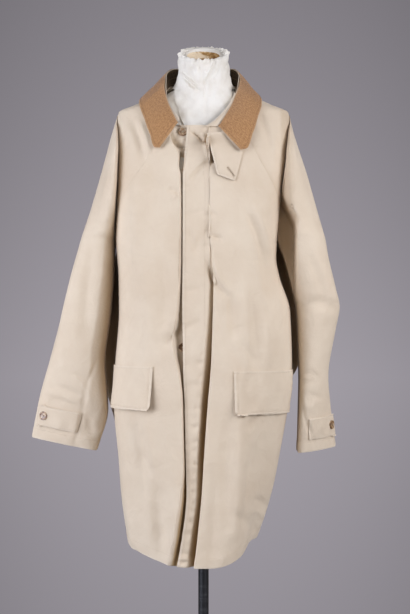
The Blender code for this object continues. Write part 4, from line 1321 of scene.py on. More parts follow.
@dataclass(frozen=True)
class CoatForm:
    """The shape that the coat's cloth hangs in.

    Attributes:
        hem: height of the hem.
        underarm: height of the underarm.
        shoulder: height of the shoulders' outer corners.
        neck_front: height of the neckline at the front.
        fold_fade: how gently the standing folds begin and end.
        hem_fade: height where the hem's rise has faded.
        hem_band: how far up the hem's rows are close together.
        hem_rises: how far the hem rises to the right and left, and the angles where it starts and ends.
        hem_back: angles where that lessens towards the back.
        hem_back_drop: share of it that is lost there.
        shape: half widths to the wearer's right and left, depths and squareness at each height.
        folds: angle and half width in degrees, rise, lowest and highest reach of each standing fold, and
            how gently it begins and ends where it has its own way.
        neckline: the neckline's height at each angle.
        raglan: the raglan seams and the troughs beside the sleeves, as angles at each height.
        raglan_rows: heights where rows of a sleeve's upper part leave each seam and its outer edge.
    """

    hem: float = 0.443
    underarm: float = 1.165
    shoulder: float = 1.453
    neck_front: float = 1.416
    fold_fade: float = 0.22
    hem_fade: float = 0.720
    hem_band: float = 0.032
    hem_rises: tuple[Triple, ...] = ((0.034, 8.0, 70.0), (0.045, 5.0, 55.0))
    hem_back: Pair = (100.0, 180.0)
    hem_back_drop: float = 0.65
    shape: SizeTable = SizeTable(
        "right left front back square",
        (0.443, 0.172, 0.118, 0.193, 0.188, 2.3),
        (0.490, 0.180, 0.134, 0.190, 0.184, 2.3),
        (0.560, 0.188, 0.151, 0.184, 0.178, 2.4),
        (0.670, 0.195, 0.173, 0.176, 0.168, 2.5),
        (0.780, 0.204, 0.193, 0.168, 0.158, 2.7),
        (0.870, 0.202, 0.203, 0.163, 0.150, 2.8),
        (1.000, 0.193, 0.198, 0.152, 0.130, 3.0),
        (1.080, 0.194, 0.173, 0.145, 0.126, 3.3),
        (1.120, 0.197, 0.166, 0.142, 0.126, 3.4),
        (1.165, 0.200, 0.168, 0.138, 0.126, 3.6),
        (1.250, 0.199, 0.176, 0.131, 0.126, 4.0),
        (1.350, 0.199, 0.192, 0.118, 0.122, 3.8),
        (1.400, 0.198, 0.196, 0.105, 0.115, 3.4),
        (1.430, 0.197, 0.197, 0.092, 0.108, 3.1),
        (1.453, 0.195, 0.195, 0.081, 0.101, 2.9),
        (1.470, 0.160, 0.160, 0.072, 0.094, 2.6),
        (1.490, 0.118, 0.118, 0.061, 0.083, 2.3),
        (1.508, 0.080, 0.080, 0.053, 0.072, 2.2),
        (1.530, 0.060, 0.060, 0.046, 0.060, 2.2),
    )
    folds: tuple[tuple[float, ...], ...] = (
        (-17, 6, 0.010, 0.30, 0.72),
        (-31, 7, -0.006, 0.30, 0.68),
        (-62, 10, 0.006, 0.30, 0.80),
        (24, 8, 0.007, 0.30, 1.02),
        (44, 10, -0.007, 0.30, 0.86),
        (66, 10, 0.007, 0.30, 0.78),
        (119, 11, 0.051, 0.80, 1.192, 0.08),
        (134, 10, 0.009, 0.30, 0.98),
        (160, 10, -0.010, 0.30, 1.05),
        (183, 10, 0.010, 0.30, 1.00),
        (207, 10, -0.010, 0.30, 0.95),
        (229, 11, 0.008, 0.30, 0.90),
        (245, 11, 0.057, 0.66, 1.22),
        (249, 12, 0.008, 0.30, 0.80),
    )
    neckline: SizeTable = SizeTable(
        "height", (0, 1.416), (30, 1.424), (45, 1.448), (65, 1.493), (90, 1.508), (140, 1.512), (180, 1.515)
    )
    raglan: SizeTable = SizeTable(
        "front_seam back_seam front_trough back_trough",
        (1.165, 90.0, 90.0, 90.0, 90.0),
        (1.169, 88.0, 92.0, 88.7, 91.3),
        (1.190, 80.0, 100.0, 83.0, 97.0),
        (1.215, 71.0, 109.0, 78.0, 102.0),
        (1.250, 62.0, 118.0, 73.0, 107.0),
        (1.300, 53.0, 127.0, 70.0, 110.0),
        (1.350, 46.5, 133.0, 70.0, 110.0),
        (1.405, 41.5, 137.5, 76.0, 104.0),
        (1.453, 40.0, 140.0, 90.0, 90.0),
        (1.512, 40.0, 140.0, 90.0, 90.0),
    )
    raglan_rows: tuple[Triple, ...] = (
        (1.169, 1.169, 1.169),
        (1.190, 1.190, 1.200),
        (1.215, 1.215, 1.240),
        (1.250, 1.250, 1.295),
        (1.285, 1.295, 1.350),
        (1.320, 1.345, 1.405),
        (1.350, 1.395, 1.453),
        (1.380, 1.440, 1.470),
        (1.410, 1.480, 1.489),
        (1.438, 1.512, 1.508),
    )

    def fold_rise(self, angle: Array, height: Array) -> Array:
        """How far the standing folds lift the cloth at an angle and height."""
        total = np.zeros(np.broadcast(angle, height).shape)
        for middle, width, rise, low, high, *own in self.folds:
            away = (np.degrees(angle) - middle + 180) % 360 - 180
            fade = own[0] if own else self.fold_fade
            reach = ease(low, low + fade, height) * ease(high, high - fade, height)
            total = total + rise * np.exp(-((away / width) ** 2)) * reach
        return total

    def hem_rise(self, angle: Array) -> Array:
        """How far the hem rises at an angle, most at the sides and less at the back."""
        turned = np.abs((np.degrees(angle) + 180) % 360 - 180)
        right, left = (rise * ease(start, end, turned) for rise, start, end in self.hem_rises)
        back = 1 - self.hem_back_drop * ease(*self.hem_back, turned)
        return np.where(np.sin(angle) > 0, left, right) * back

    def point(self, angle: Array | float, height: Array | float) -> Array:
        """Points on the coat's outside.

        Args:
            angle: angles round the body.
            height: heights from the floor.

        Returns:
            The point at each.
        """
        angle, height = np.broadcast_arrays(np.asarray(angle, float), np.asarray(height, float))
        sine, cosine = np.sin(angle), np.cos(angle)
        half = np.where(sine > 0, self.shape("left", height), self.shape("right", height))
        depth = np.where(cosine > 0, self.shape("front", height), self.shape("back", height))
        square = self.shape("square", height)
        radius = oval(angle, half, depth, square)
        radius = radius + self.fold_rise(angle, height)
        z = height + self.hem_rise(angle) * ease(self.hem_fade, self.hem, height)
        return np.stack([radius * sine, -radius * cosine, z], axis=-1)

    def angle_at(self, across: Array | float, height: Array | float) -> Array:
        """Angle of the coat's front at a distance across from the middle."""
        half = np.where(np.asarray(across) > 0, self.shape("left", height), self.shape("right", height))
        square = self.shape("square", height)
        share = np.clip(1 - (np.abs(across) / half) ** square, 0.0, 1.0)
        return np.arctan2(across, self.shape("front", height) * share ** (1 / square))

    def seam_angle(self, degrees: Array, height: Array, sign: int) -> Array:
        """A seam's angle in radians, moved off the seam by half its gap."""
        angle = np.radians(degrees)
        radius = np.linalg.norm(self.point(angle, height)[..., :2], axis=-1)
        return angle + sign * SEAM_GAP / 2 / radius

    def rise_share(self, top_angles: Array) -> Array:
        """Share of a panel's rise from its inner to its outer edge at each column."""
        height = self.neckline("height", np.abs(np.degrees(top_angles)))
        return (height - height[0]) / (height[-1] - height[0])

    def panel_rows(self, row_column: int) -> tuple[Array, Array]:
        """Heights of a body panel's rows along its side and raglan seams, and the seam's angle at each.

        Args:
            row_column: 0 for a front's raglan seam, 1 for the back's.

        Returns:
            The heights and the angles in degrees.
        """
        below = rows_up(self.hem, self.hem_band, self.underarm)
        above = spaced([row[row_column] for row in self.raglan_rows], ROW_STEP)
        name = ("front_seam", "back_seam")[row_column]
        seam = np.concatenate([np.full(len(below), 90.0), self.raglan(name, above)])
        return np.concatenate([below, above]), seam


@dataclass(frozen=True)
class Hem:
    """A turned-up edge: double cloth with a sewn line along its top.

    Attributes:
        depth: how deep it is turned.
        double: how far its second layer lifts the cloth.
        groove: how far the sewing pulls the cloth in.
        edge: how wide its two edges are rounded.
        line: half the width of the sewing's groove.
    """

    depth: float = 0.022
    double: float = 0.0008
    groove: float = 0.0005
    edge: float = 0.0025
    line: float = 0.0016

    def lift(self, away: Array) -> Array:
        """How far the cloth moves out at each distance from the edge."""
        double = self.double * ease(self.depth + self.edge, self.depth, away)
        line = self.groove * np.exp(-(((away - self.depth) / self.line) ** 2))
        rounding = self.double * ease(self.edge, 0.0, away)
        return double - line - rounding


FRONT_RELIEF = Relief(
    (
        # Wearer's right chest and shoulder
        Crease((-0.160, 1.430), (-0.134, 1.345), 0.010, -0.0040, 0.004),
        Crease((-0.148, 1.425), (-0.122, 1.350), 0.010, 0.0030, 0.004),
        Crease((-0.118, 1.360), (-0.110, 1.210), 0.020, -0.0020, 0.008),
        Crease((-0.150, 1.300), (-0.146, 1.100), 0.018, 0.0020, -0.006),
        Crease((-0.088, 1.120), (-0.086, 0.930), 0.016, -0.0022, 0.006),
        Crease((-0.125, 1.080), (-0.122, 0.900), 0.018, 0.0020, 0.004),
        # Pulls at the fly buttons
        Crease((-0.076, 1.270), (-0.054, 1.258), 0.005, -0.0024, 0.002),
        Crease((-0.070, 1.250), (-0.054, 1.256), 0.004, 0.0018),
        Crease((-0.082, 0.928), (-0.053, 0.958), 0.008, -0.0030, 0.002),
        Crease((-0.095, 0.950), (-0.060, 0.985), 0.010, 0.0020, 0.002),
        # Throat tongue by the button
        Crease((-0.0702, 1.4015), (-0.0613, 1.3747), 0.0032, -0.0055, -0.001),
        Crease((-0.0613, 1.3747), (-0.0368, 1.3613), 0.0032, -0.0060, -0.002),
        Crease((-0.0520, 1.386), (-0.0480, 1.374), 0.0065, 0.0032),
        Crease((-0.0445, 1.350), (-0.0480, 1.312), 0.0055, -0.0060),
        # Wearer's right skirt
        Crease((-0.150, 0.760), (-0.136, 0.560), 0.014, -0.0034, 0.006),
        Crease((-0.128, 0.770), (-0.112, 0.590), 0.012, 0.0026, 0.006),
        Crease((-0.140, 0.690), (-0.112, 0.640), 0.010, -0.0026, 0.004),
        Crease((-0.108, 0.630), (-0.092, 0.470), 0.013, -0.0026, 0.002),
        Crease((-0.166, 0.560), (-0.154, 0.460), 0.010, 0.0024, 0.002),
        # Fly strip
        Crease((-0.030, 1.283), (0.010, 1.332), 0.006, -0.0036, 0.003),
        Crease((-0.036, 1.272), (0.002, 1.318), 0.005, 0.0024, 0.002),
        Crease((-0.044, 1.272), (-0.028, 1.274), 0.004, -0.0020),
        Crease((-0.018, 1.135), (0.008, 1.180), 0.007, -0.0018, 0.003),
        Crease((-0.030, 1.180), (-0.012, 1.130), 0.006, -0.0016, -0.003),
        Crease((-0.040, 1.210), (0.006, 1.222), 0.006, -0.0013, 0.002),
        Crease((-0.026, 1.402), (0.000, 1.377), 0.0035, -0.0045, 0.002),
        Crease((0.000, 1.377), (0.013, 1.382), 0.0030, -0.0045),
        Crease((-0.014, 1.400), (0.006, 1.388), 0.0040, 0.0025, 0.001),
        Crease((-0.040, 1.040), (-0.006, 1.052), 0.007, -0.0013, 0.002),
        Crease((-0.042, 0.960), (-0.010, 0.978), 0.007, -0.0013, 0.002),
        # Wearer's left front beside the fly
        Crease((0.014, 1.104), (0.064, 1.030), 0.008, -0.0042, -0.010),
        Crease((0.020, 1.120), (0.080, 1.020), 0.010, 0.0030, -0.012),
        Crease((0.064, 1.030), (0.070, 0.950), 0.010, -0.0026, -0.002),
        Crease((0.014, 1.166), (0.042, 1.158), 0.005, -0.0028, 0.002),
        Crease((0.013, 1.216), (0.030, 1.210), 0.004, -0.0016, 0.002),
        Crease((0.0125, 1.380), (0.0210, 1.336), 0.0050, -0.0160, 0.001),
        Crease((0.0060, 1.372), (0.0120, 1.340), 0.0050, 0.0030, 0.001),
        # Wearer's left chest and side
        Crease((0.102, 1.215), (0.136, 1.120), 0.009, -0.0034, 0.004),
        Crease((0.120, 1.220), (0.154, 1.110), 0.010, 0.0024, 0.004),
        Crease((0.130, 1.120), (0.162, 0.980), 0.014, -0.0026, 0.006),
        Crease((0.128, 1.440), (0.150, 1.370), 0.008, -0.0030, 0.004),
        Crease((0.142, 1.425), (0.160, 1.350), 0.008, 0.0024, 0.003),
        Crease((0.090, 1.080), (0.096, 0.880), 0.014, 0.0022, 0.004),
        Crease((0.112, 1.020), (0.118, 0.880), 0.012, -0.0024, 0.002),
        Crease((0.140, 0.980), (0.142, 0.880), 0.012, 0.0024),
        Crease((0.082, 0.930), (0.110, 0.890), 0.008, -0.0018, 0.003),
        # Wearer's left skirt
        Crease((0.098, 0.745), (0.116, 0.768), 0.006, -0.0028, 0.001),
        Crease((0.060, 0.760), (0.052, 0.560), 0.014, -0.0030, -0.004),
        Crease((0.084, 0.740), (0.076, 0.520), 0.014, 0.0028, -0.004),
        Crease((0.112, 0.690), (0.096, 0.520), 0.013, -0.0034, -0.004),
        Crease((0.118, 0.585), (0.142, 0.560), 0.007, -0.0018, 0.002),
        Crease((0.112, 0.560), (0.138, 0.535), 0.007, 0.0014, 0.002),
        Crease((0.072, 0.560), (0.110, 0.510), 0.010, -0.0030, 0.006),
        Crease((0.030, 0.640), (0.022, 0.470), 0.011, -0.0020, -0.002),
        # Wearer's right sleeve
        Crease((-0.345, 0.830), (-0.282, 0.812), 0.006, -0.0015, 0.003),
        Crease((-0.350, 0.815), (-0.292, 0.796), 0.005, 0.0011, 0.002),
        Crease((-0.330, 0.800), (-0.284, 0.783), 0.005, -0.0012, 0.002),
        Crease((-0.300, 0.860), (-0.262, 0.842), 0.006, -0.0011, 0.002),
        Crease((-0.242, 0.884), (-0.264, 0.832), 0.004, -0.0014, 0.001),
        Crease((-0.264, 0.832), (-0.2765, 0.764), 0.004, -0.0014, 0.001),
        Crease((-0.2765, 0.764), (-0.2905, 0.706), 0.004, -0.0014, 0.001),
        Crease((-0.272, 0.840), (-0.258, 0.806), 0.005, 0.0010),
        Crease((-0.286, 0.800), (-0.268, 0.776), 0.005, 0.0010),
        Crease((-0.262, 0.760), (-0.252, 0.720), 0.008, -0.0013, 0.002),
        Crease((-0.275, 1.120), (-0.312, 0.960), 0.020, 0.0026, -0.006),
        Crease((-0.245, 1.150), (-0.262, 0.960), 0.016, -0.0030, -0.004),
        Crease((-0.228, 1.320), (-0.246, 1.180), 0.012, -0.0018, -0.002),
        # Wearer's left sleeve
        Crease((0.196, 1.240), (0.210, 1.200), 0.006, -0.0042, -0.003),
        Crease((0.240, 1.120), (0.268, 1.020), 0.014, -0.0030, 0.006),
        Crease((0.262, 1.110), (0.292, 1.010), 0.012, 0.0024, 0.006),
        Crease((0.226, 1.010), (0.300, 1.006), 0.014, -0.0026, 0.012),
        Crease((0.222, 0.862), (0.262, 0.850), 0.006, -0.0012, 0.003),
        Crease((0.224, 0.838), (0.254, 0.842), 0.005, -0.0011, 0.002),
        Crease((0.230, 0.815), (0.268, 0.802), 0.005, -0.0012, 0.002),
        Crease((0.226, 0.790), (0.246, 0.786), 0.004, 0.0009),
        Crease((0.216, 0.862), (0.228, 0.758), 0.004, -0.0012, -0.002),
        Crease((0.228, 0.758), (0.250, 0.696), 0.004, -0.0013, 0.002),
    )
)

BACK_RELIEF = Relief(
    (
        Crease((-0.100, 1.440), (-0.150, 1.300), 0.016, -0.0036, 0.006),
        Crease((0.110, 1.440), (0.152, 1.310), 0.015, -0.0034, -0.006),
        Crease((-0.050, 1.380), (-0.060, 1.140), 0.022, 0.0026, 0.008),
        Crease((0.034, 1.360), (0.052, 1.120), 0.020, -0.0028, -0.008),
        Crease((-0.130, 1.180), (-0.092, 1.020), 0.014, -0.0036, 0.008),
        Crease((0.140, 1.190), (0.098, 1.010), 0.015, -0.0034, -0.008),
        Crease((-0.010, 1.100), (-0.022, 0.860), 0.018, -0.0030, 0.004),
        Crease((0.090, 1.000), (0.104, 0.800), 0.014, 0.0028, 0.004),
        Crease((-0.096, 0.960), (-0.110, 0.740), 0.015, 0.0026, -0.004),
        Crease((0.030, 0.860), (0.024, 0.620), 0.014, -0.0026, 0.004),
        Crease((-0.140, 0.800), (-0.128, 0.600), 0.012, -0.0030, 0.004),
        Crease((0.128, 0.780), (0.112, 0.580), 0.012, -0.0030, -0.004),
        Crease((-0.060, 0.660), (-0.052, 0.480), 0.013, 0.0024, 0.002),
        Crease((0.070, 0.640), (0.062, 0.470), 0.012, -0.0022, 0.002),
        Crease((-0.260, 1.080), (-0.312, 0.900), 0.018, -0.0036, -0.008),
        Crease((-0.340, 0.830), (-0.280, 0.806), 0.007, -0.0026, 0.004),
        Crease((-0.330, 0.790), (-0.276, 0.770), 0.006, -0.0022, 0.003),
        Crease((0.236, 1.060), (0.292, 1.000), 0.010, -0.0036, 0.008),
        Crease((0.232, 1.010), (0.290, 0.972), 0.009, -0.0032, 0.006),
        Crease((0.250, 0.930), (0.262, 0.800), 0.012, 0.0024, -0.004),
        Crease((0.232, 0.800), (0.276, 0.782), 0.006, -0.0022, 0.003),
    ),
    seed=11,
)


@dataclass(frozen=True)
class Garment:
    """What every sub-assembly of cloth shares.

    Attributes:
        form: the shape that the cloth hangs in.
        finishes: the part's materials.
        seam: how its seams are sewn.
        hem: how its hems are turned up.
    """

    form: CoatForm
    finishes: Finishes
    seam: SewnEdge = SewnEdge()
    hem: Hem = Hem()

    def hang(
        self,
        node: str,
        surfaces: Sequence[Surface],
        rests_on: Sequence[str],
        thickness: float = CLOTH,
        slot: Slot = Slot.COTTON,
        held: str = "hung",
    ) -> None:
        """Makes a piece of cloth stand for its solid.

        Args:
            node: the solid it stands for.
            surfaces: the cloth's joined surfaces.
            rests_on: not used.
            thickness: the cloth's thickness.
            slot: the record's slot for its finish.
            held: not used.
        """
        material = self.finishes.corduroy if slot is Slot.CORDUROY else self.finishes.cotton
        piece = Shell(surfaces).build(node + "_cloth", thickness, material)
        lay_flat(adopt(piece, slot, node), surfaces)

    def sew(self, name: str, stitching: Stitching, brown: bool = False) -> None:
        """Makes a piece's rows of stitches in cream thread, or in brown."""
        thread = self.finishes.brown_thread if brown else self.finishes.thread
        slot = Slot.CORDUROY if brown else Slot.COTTON
        adopt(stitching.build(name + "_stitching", thread), slot)


@dataclass(frozen=True)
class FlyFront:
    """The middle front: the fly strip, the groove beside it and the right front's turned edge.

    Attributes:
        fold_roll: how far the left front's fold rolls.
        overhang: how far the fold leans over the groove.
        seam_reach: where the groove's seam lies from the fold, in overhangs, for no groove and a deep one.
        strip_roll: how far the strip's turned edge rolls.
        turn_out: how far the strip's turn bulges out.
        turn_in: how far it comes back at half depth.
        turn_share: share of the groove's depth where it does.
        deep: depth past which the fold leans over the groove.
        steps: points along each curve in plan.
        sizes: the fly's free edge, the strip's end, the fold, the groove's depth, the strip's depth, and
            the right front's turn beside it, at each height.
    """

    fold_roll: float = 0.010
    overhang: float = 0.009
    seam_reach: Pair = (-0.5, 1.0)
    strip_roll: float = 0.005
    turn_out: float = 0.003
    turn_in: float = 0.001
    turn_share: float = 0.6
    deep: float = 0.020
    steps: int = 16
    sizes: SizeTable = SizeTable(
        "edge strip_end fold groove depth turn_out turn_in below",
        (0.443, -0.0557, -0.0345, -0.0215, 0.036, 0.012, 0.024, 0.002, 0.008),
        (0.520, -0.0426, -0.0240, -0.0130, 0.038, 0.011, 0.022, 0.002, 0.010),
        (0.600, -0.0360, -0.0143, -0.0050, 0.038, 0.010, 0.015, 0.002, 0.008),
        (0.654, -0.0375, -0.0135, -0.0015, 0.038, 0.010, 0.007, 0.001, 0.006),
        (0.720, -0.0395, -0.0105, 0.0026, 0.038, 0.009, 0.006, 0.001, 0.005),
        (0.806, -0.0415, -0.0052, 0.0090, 0.038, 0.008, 0.006, 0.001, 0.005),
        (0.860, -0.0440, 0.0000, 0.0137, 0.036, 0.008, 0.010, 0.003, 0.007),
        (0.920, -0.0450, 0.0047, 0.0176, 0.032, 0.007, 0.023, 0.012, 0.009),
        (1.024, -0.0465, 0.0120, 0.0208, 0.022, 0.005, 0.010, 0.002, 0.007),
        (1.100, -0.0460, 0.0135, 0.0200, 0.010, 0.004, 0.006, 0.001, 0.005),
        (1.180, -0.0455, 0.0125, 0.0165, 0.003, 0.0028, 0.006, 0.001, 0.005),
        (1.290, -0.0455, 0.0125, 0.0165, 0.003, 0.0028, 0.007, 0.002, 0.006),
        (1.350, -0.0420, 0.0125, 0.0165, 0.003, 0.0028, 0.015, 0.008, 0.011),
        (1.385, -0.0385, 0.0125, 0.0165, 0.003, 0.0028, 0.036, 0.0215, 0.006),
        (1.400, -0.0375, 0.0125, 0.0165, 0.003, 0.0028, 0.036, 0.0215, 0.006),
        (1.430, -0.0360, 0.0125, 0.0165, 0.003, 0.0028, 0.036, 0.0215, 0.006),
    )

    def right_depth(self, across: Array, height: Array) -> Array:
        """How far the right front lies behind the coat's outside, beside and under the fly."""
        edge = self.sizes("edge", height)
        turn = ease(edge - self.sizes("turn_out", height), edge - self.sizes("turn_in", height), across)
        return turn * (self.sizes("depth", height) + DOUBLE_CLOTH + self.sizes("below", height))

    def seam(self, height: Array) -> Array:
        """Distance across of the seam at the bottom of the groove."""
        shallow, deep = self.seam_reach
        leaning = ease(0.0, self.deep, self.sizes("groove", height))
        return self.sizes("fold", height) + self.overhang * (shallow + (deep - shallow) * leaning)

    def curve(self, across: Sequence[Array], depth: Sequence[Array]) -> tuple[Array, Array]:
        """Points of a curve in plan at each height.

        Args:
            across: the distances across of its four controls.
            depth: their depths.

        Returns:
            The points' distances across, and their depths.
        """
        t = np.linspace(0, 1, self.steps)
        weights = np.stack([(1 - t) ** 3, 3 * t * (1 - t) ** 2, 3 * t * t * (1 - t), t**3])
        return np.stack(across, axis=1) @ weights, np.stack(depth, axis=1) @ weights

    def fold_plan(self, height: Array) -> tuple[Array, Array]:
        """The left front's folded edge in plan, from the groove's seam to its face."""
        fold, groove, seam = self.sizes("fold", height), self.sizes("groove", height), self.seam(height)
        lean = self.overhang * ease(0.0, self.deep, groove)
        face = np.zeros_like(groove)
        return self.curve((seam, seam, fold - lean, fold + self.fold_roll), (groove, groove / 2, face, face))

    def strip_plan(self, height: Array) -> tuple[Array, Array]:
        """The strip's turned edge in plan, from its face to the groove's seam."""
        end, groove = self.sizes("strip_end", height), self.sizes("groove", height)
        depth, seam = self.sizes("depth", height), self.seam(height) - SEAM_GAP
        lower = np.maximum(groove * self.turn_share, depth)
        across = (end - self.strip_roll, end + self.turn_out, end + self.turn_in, seam)
        return self.curve(across, (depth, depth, lower, groove))


@dataclass(frozen=True)
class Fronts(Garment):
    """The right front, the left front and the fly strip between them.

    Attributes:
        fly: sizes of the middle front.
        underlap_short: how far short of the strip's end the right front stops under it.
        strip_top_drop: how far the strip's top lies below the neckline.
        strip_seam: how the strip's free edge is sewn.
        strip_rows: how far inside that edge each of its two rows of stitches runs.
        strip_row_start: share of the strip's height where the second row starts.
        hem_rows: where the stitches of the right and left hems start and stop, as shares of each hem.
        deep: painted shade: how far behind the coat's outside the darkened tone starts, and is darkest.
        underlap_shade_depths: the same painted shade for the right front beside the fly, low down.
        underlap_shade_heights: heights where that starts and is whole.
        middle: distances from the middle where the painted shade has faded, and is whole.
        pucker_seed: sets the puckers along the strip's other edge.
        pucker_heights: heights of the lowest and highest pucker.
        pucker_steps: the least and the most between two puckers.
        pucker_inset: how far inside that edge they start.
        pucker_reach: the least and the most that they run in.
        pucker_slant: the least and the most that they climb.
        pucker_depth: the least and the most that they dip.
        pucker_shape: half their width, and how far they bow.
        panel_columns: columns of each front's panel.
        hidden_columns: columns under the fly.
        turn_columns: columns of the right front's turn.
        strip_columns: columns of the strip's face.
    """

    fly: FlyFront = FlyFront()
    underlap_short: float = 0.006
    strip_top_drop: float = 0.0015
    strip_seam: SewnEdge = SewnEdge(depth=0.0005, width=0.003, pucker=0.0007, wave=0.021, reach=0.012)
    strip_rows: Pair = (0.006, 0.0490)
    strip_row_start: float = 0.55
    hem_rows: tuple[Pair, Pair] = ((0.0, 0.88), (0.14, 1.0))
    deep: Pair = (0.010, 0.030)
    underlap_shade_depths: Pair = (0.003, 0.014)
    underlap_shade_heights: Pair = (0.92, 0.80)
    middle: Pair = (0.090, 0.070)
    pucker_seed: int = 21
    pucker_heights: Pair = (0.455, 0.930)
    pucker_steps: Pair = (0.016, 0.032)
    pucker_inset: float = 0.001
    pucker_reach: Pair = (0.006, 0.018)
    pucker_slant: Pair = (-0.005, 0.003)
    pucker_depth: Pair = (0.0015, 0.0040)
    pucker_shape: Pair = (0.0050, 0.001)
    panel_columns: int = 58
    hidden_columns: int = 6
    turn_columns: int = 12
    strip_columns: int = 18

    def rows(self) -> tuple[Array, Array, Array]:
        """Heights of a front's rows at its outer and inner edges, and the seam's angles."""
        outer, seam = self.form.panel_rows(0)
        hem = self.form.hem
        inner = hem + (outer - hem) * (self.form.neck_front - hem) / (outer[-1] - hem)
        return outer, inner, seam

    def panel(self, near: Array, side: int) -> tuple[Array, Array]:
        """Angles and heights of a front's points.

        Args:
            near: angles of the columns by the fly.
            side: -1 for the right front, 1 for the left.

        Returns:
            The angle and the height of every point.
        """
        outer, inner, seam = self.rows()
        far = side * self.form.seam_angle(seam, outer, -1)
        panel = near[:, -1:] + (far[:, None] - near[:, -1:]) * edge_shares(self.panel_columns, 0.4)[1:]
        rise = np.concatenate([np.zeros(near.shape[1]), self.form.rise_share(panel[-1])])
        heights = inner[:, None] + (outer - inner)[:, None] * rise
        return np.concatenate([near, panel], axis=1), heights

    def right_grid(self) -> Array:
        """Outside of the right front, from its side seam to its hidden edge under the fly."""
        inner = self.rows()[1]
        edge = self.fly.sizes("edge", inner)[:, None]
        turn_out, turn_in = (self.fly.sizes(n, inner)[:, None] for n in ("turn_out", "turn_in"))
        hidden = self.fly.sizes("strip_end", inner)[:, None] - self.underlap_short
        lap = np.linspace(0, 1, self.hidden_columns, endpoint=False)
        turn = np.linspace(0, 1, self.turn_columns + 1)
        across = [hidden + (edge - turn_in - hidden) * lap, edge - turn_in - (turn_out - turn_in) * turn]
        near = self.form.angle_at(np.concatenate(across, axis=1), inner[:, None])
        angles, heights = self.panel(near, -1)
        grid = self.form.point(angles, heights)
        grid[..., 1] += self.fly.right_depth(grid[..., 0], heights)
        return grid[:, ::-1]

    def left_grid(self) -> Array:
        """Outside of the left front, from its seam with the fly strip to its side seam."""
        inner = self.rows()[1]
        across, back = self.fly.fold_plan(inner)
        angles, heights = self.panel(self.form.angle_at(across, inner[:, None]), 1)
        grid = self.form.point(angles, heights)
        grid[:, : self.fly.steps, 1] += back
        return grid

    def strip_grid(self) -> Array:
        """Outside of the fly strip, from its free edge to its seam with the left front."""
        heights = self.rows()[1]
        heights[-1] -= self.strip_top_drop
        edge, depth = self.fly.sizes("edge", heights)[:, None], self.fly.sizes("depth", heights)[:, None]
        turned, back = self.fly.strip_plan(heights)
        lap = edge_shares(self.strip_columns, 0.5)[:-1]
        across = np.concatenate([edge + (turned[:, :1] - edge) * lap, turned], axis=1)
        back = np.concatenate([depth + np.zeros((1, len(lap))), back], axis=1)
        heights = np.broadcast_to(heights[:, None], across.shape)
        grid = self.form.point(self.form.angle_at(across, heights), heights)
        grid[..., 1] += back
        return grid

    def dress(
        self, grid: Array, seams: Sequence[Edge], seam: SewnEdge | None = None, underlap: bool = False
    ) -> Surface:
        """A front's surface with its creases, hem, sewn edges and painted shade.

        Args:
            grid: the front's points.
            seams: which of its edges are sewn.
            seam: how they are sewn, if not as usual.
            underlap: whether it lies under the fly, where its painted shade starts sooner low down.

        Returns:
            The finished surface.
        """
        across, height = grid[..., 0], grid[..., 2]
        back = grid[..., 1] - self.form.point(self.form.angle_at(across, height), height)[..., 1]
        # painted shade: darker tone where the cloth lies back in the fly's groove and the gap beside it
        hollow = ease(*self.deep, back)
        if underlap:
            low_down = ease(*self.underlap_shade_heights, height)
            hollow = np.maximum(hollow, ease(*self.underlap_shade_depths, back) * low_down)
        surface = Surface(grid, hollow * ease(*self.middle, np.abs(across)))
        lift = FRONT_RELIEF.lift(surface.grid, surface.normals)
        lift = lift + self.hem.lift(edge_distance(grid, Edge.BOTTOM))
        for edge in seams:
            lift = lift + (seam or self.seam).lift(grid, edge)
        return surface.raised(lift)

    def puckers(self) -> list[Crease]:
        """Uneven short puckers in from the lower strip's sewn edge."""
        chance = np.random.default_rng(self.pucker_seed)
        height, last = self.pucker_heights
        width, bow = self.pucker_shape
        made = []
        while height < last:
            end = float(self.fly.sizes("strip_end", height)) - self.pucker_inset
            far = (end - chance.uniform(*self.pucker_reach), height + chance.uniform(*self.pucker_slant))
            made.append(Crease((end, height), far, width, -chance.uniform(*self.pucker_depth), bow))
            height += chance.uniform(*self.pucker_steps)
        return made

    def build(self) -> None:
        """Makes the three pieces and their stitching."""
        right = self.dress(self.right_grid(), (Edge.FIRST_COLUMN,), underlap=True)
        self.hang("right_front", [right], ["dress_form"])
        left = self.dress(self.left_grid(), (Edge.LAST_COLUMN,))
        self.hang("left_front", [left], ["dress_form"])
        strip = self.dress(self.strip_grid(), (Edge.FIRST_COLUMN,), self.strip_seam)
        strip = strip.raised(sum(crease.lift(strip.grid) for crease in self.puckers()))
        self.hang("fly_strip", [strip], ["left_front"], DOUBLE_CLOTH)
        for name, front, ends in zip(("right_front", "left_front"), (right, left), self.hem_rows):
            self.sew(name, Stitching().follow(front, [Edge.BOTTOM], self.hem.depth, *ends))
        first, second = self.strip_rows
        rows = Stitching().follow(strip, [Edge.FIRST_COLUMN], first)
        self.sew("fly_strip", rows.follow(strip, [Edge.FIRST_COLUMN], second, self.strip_row_start))


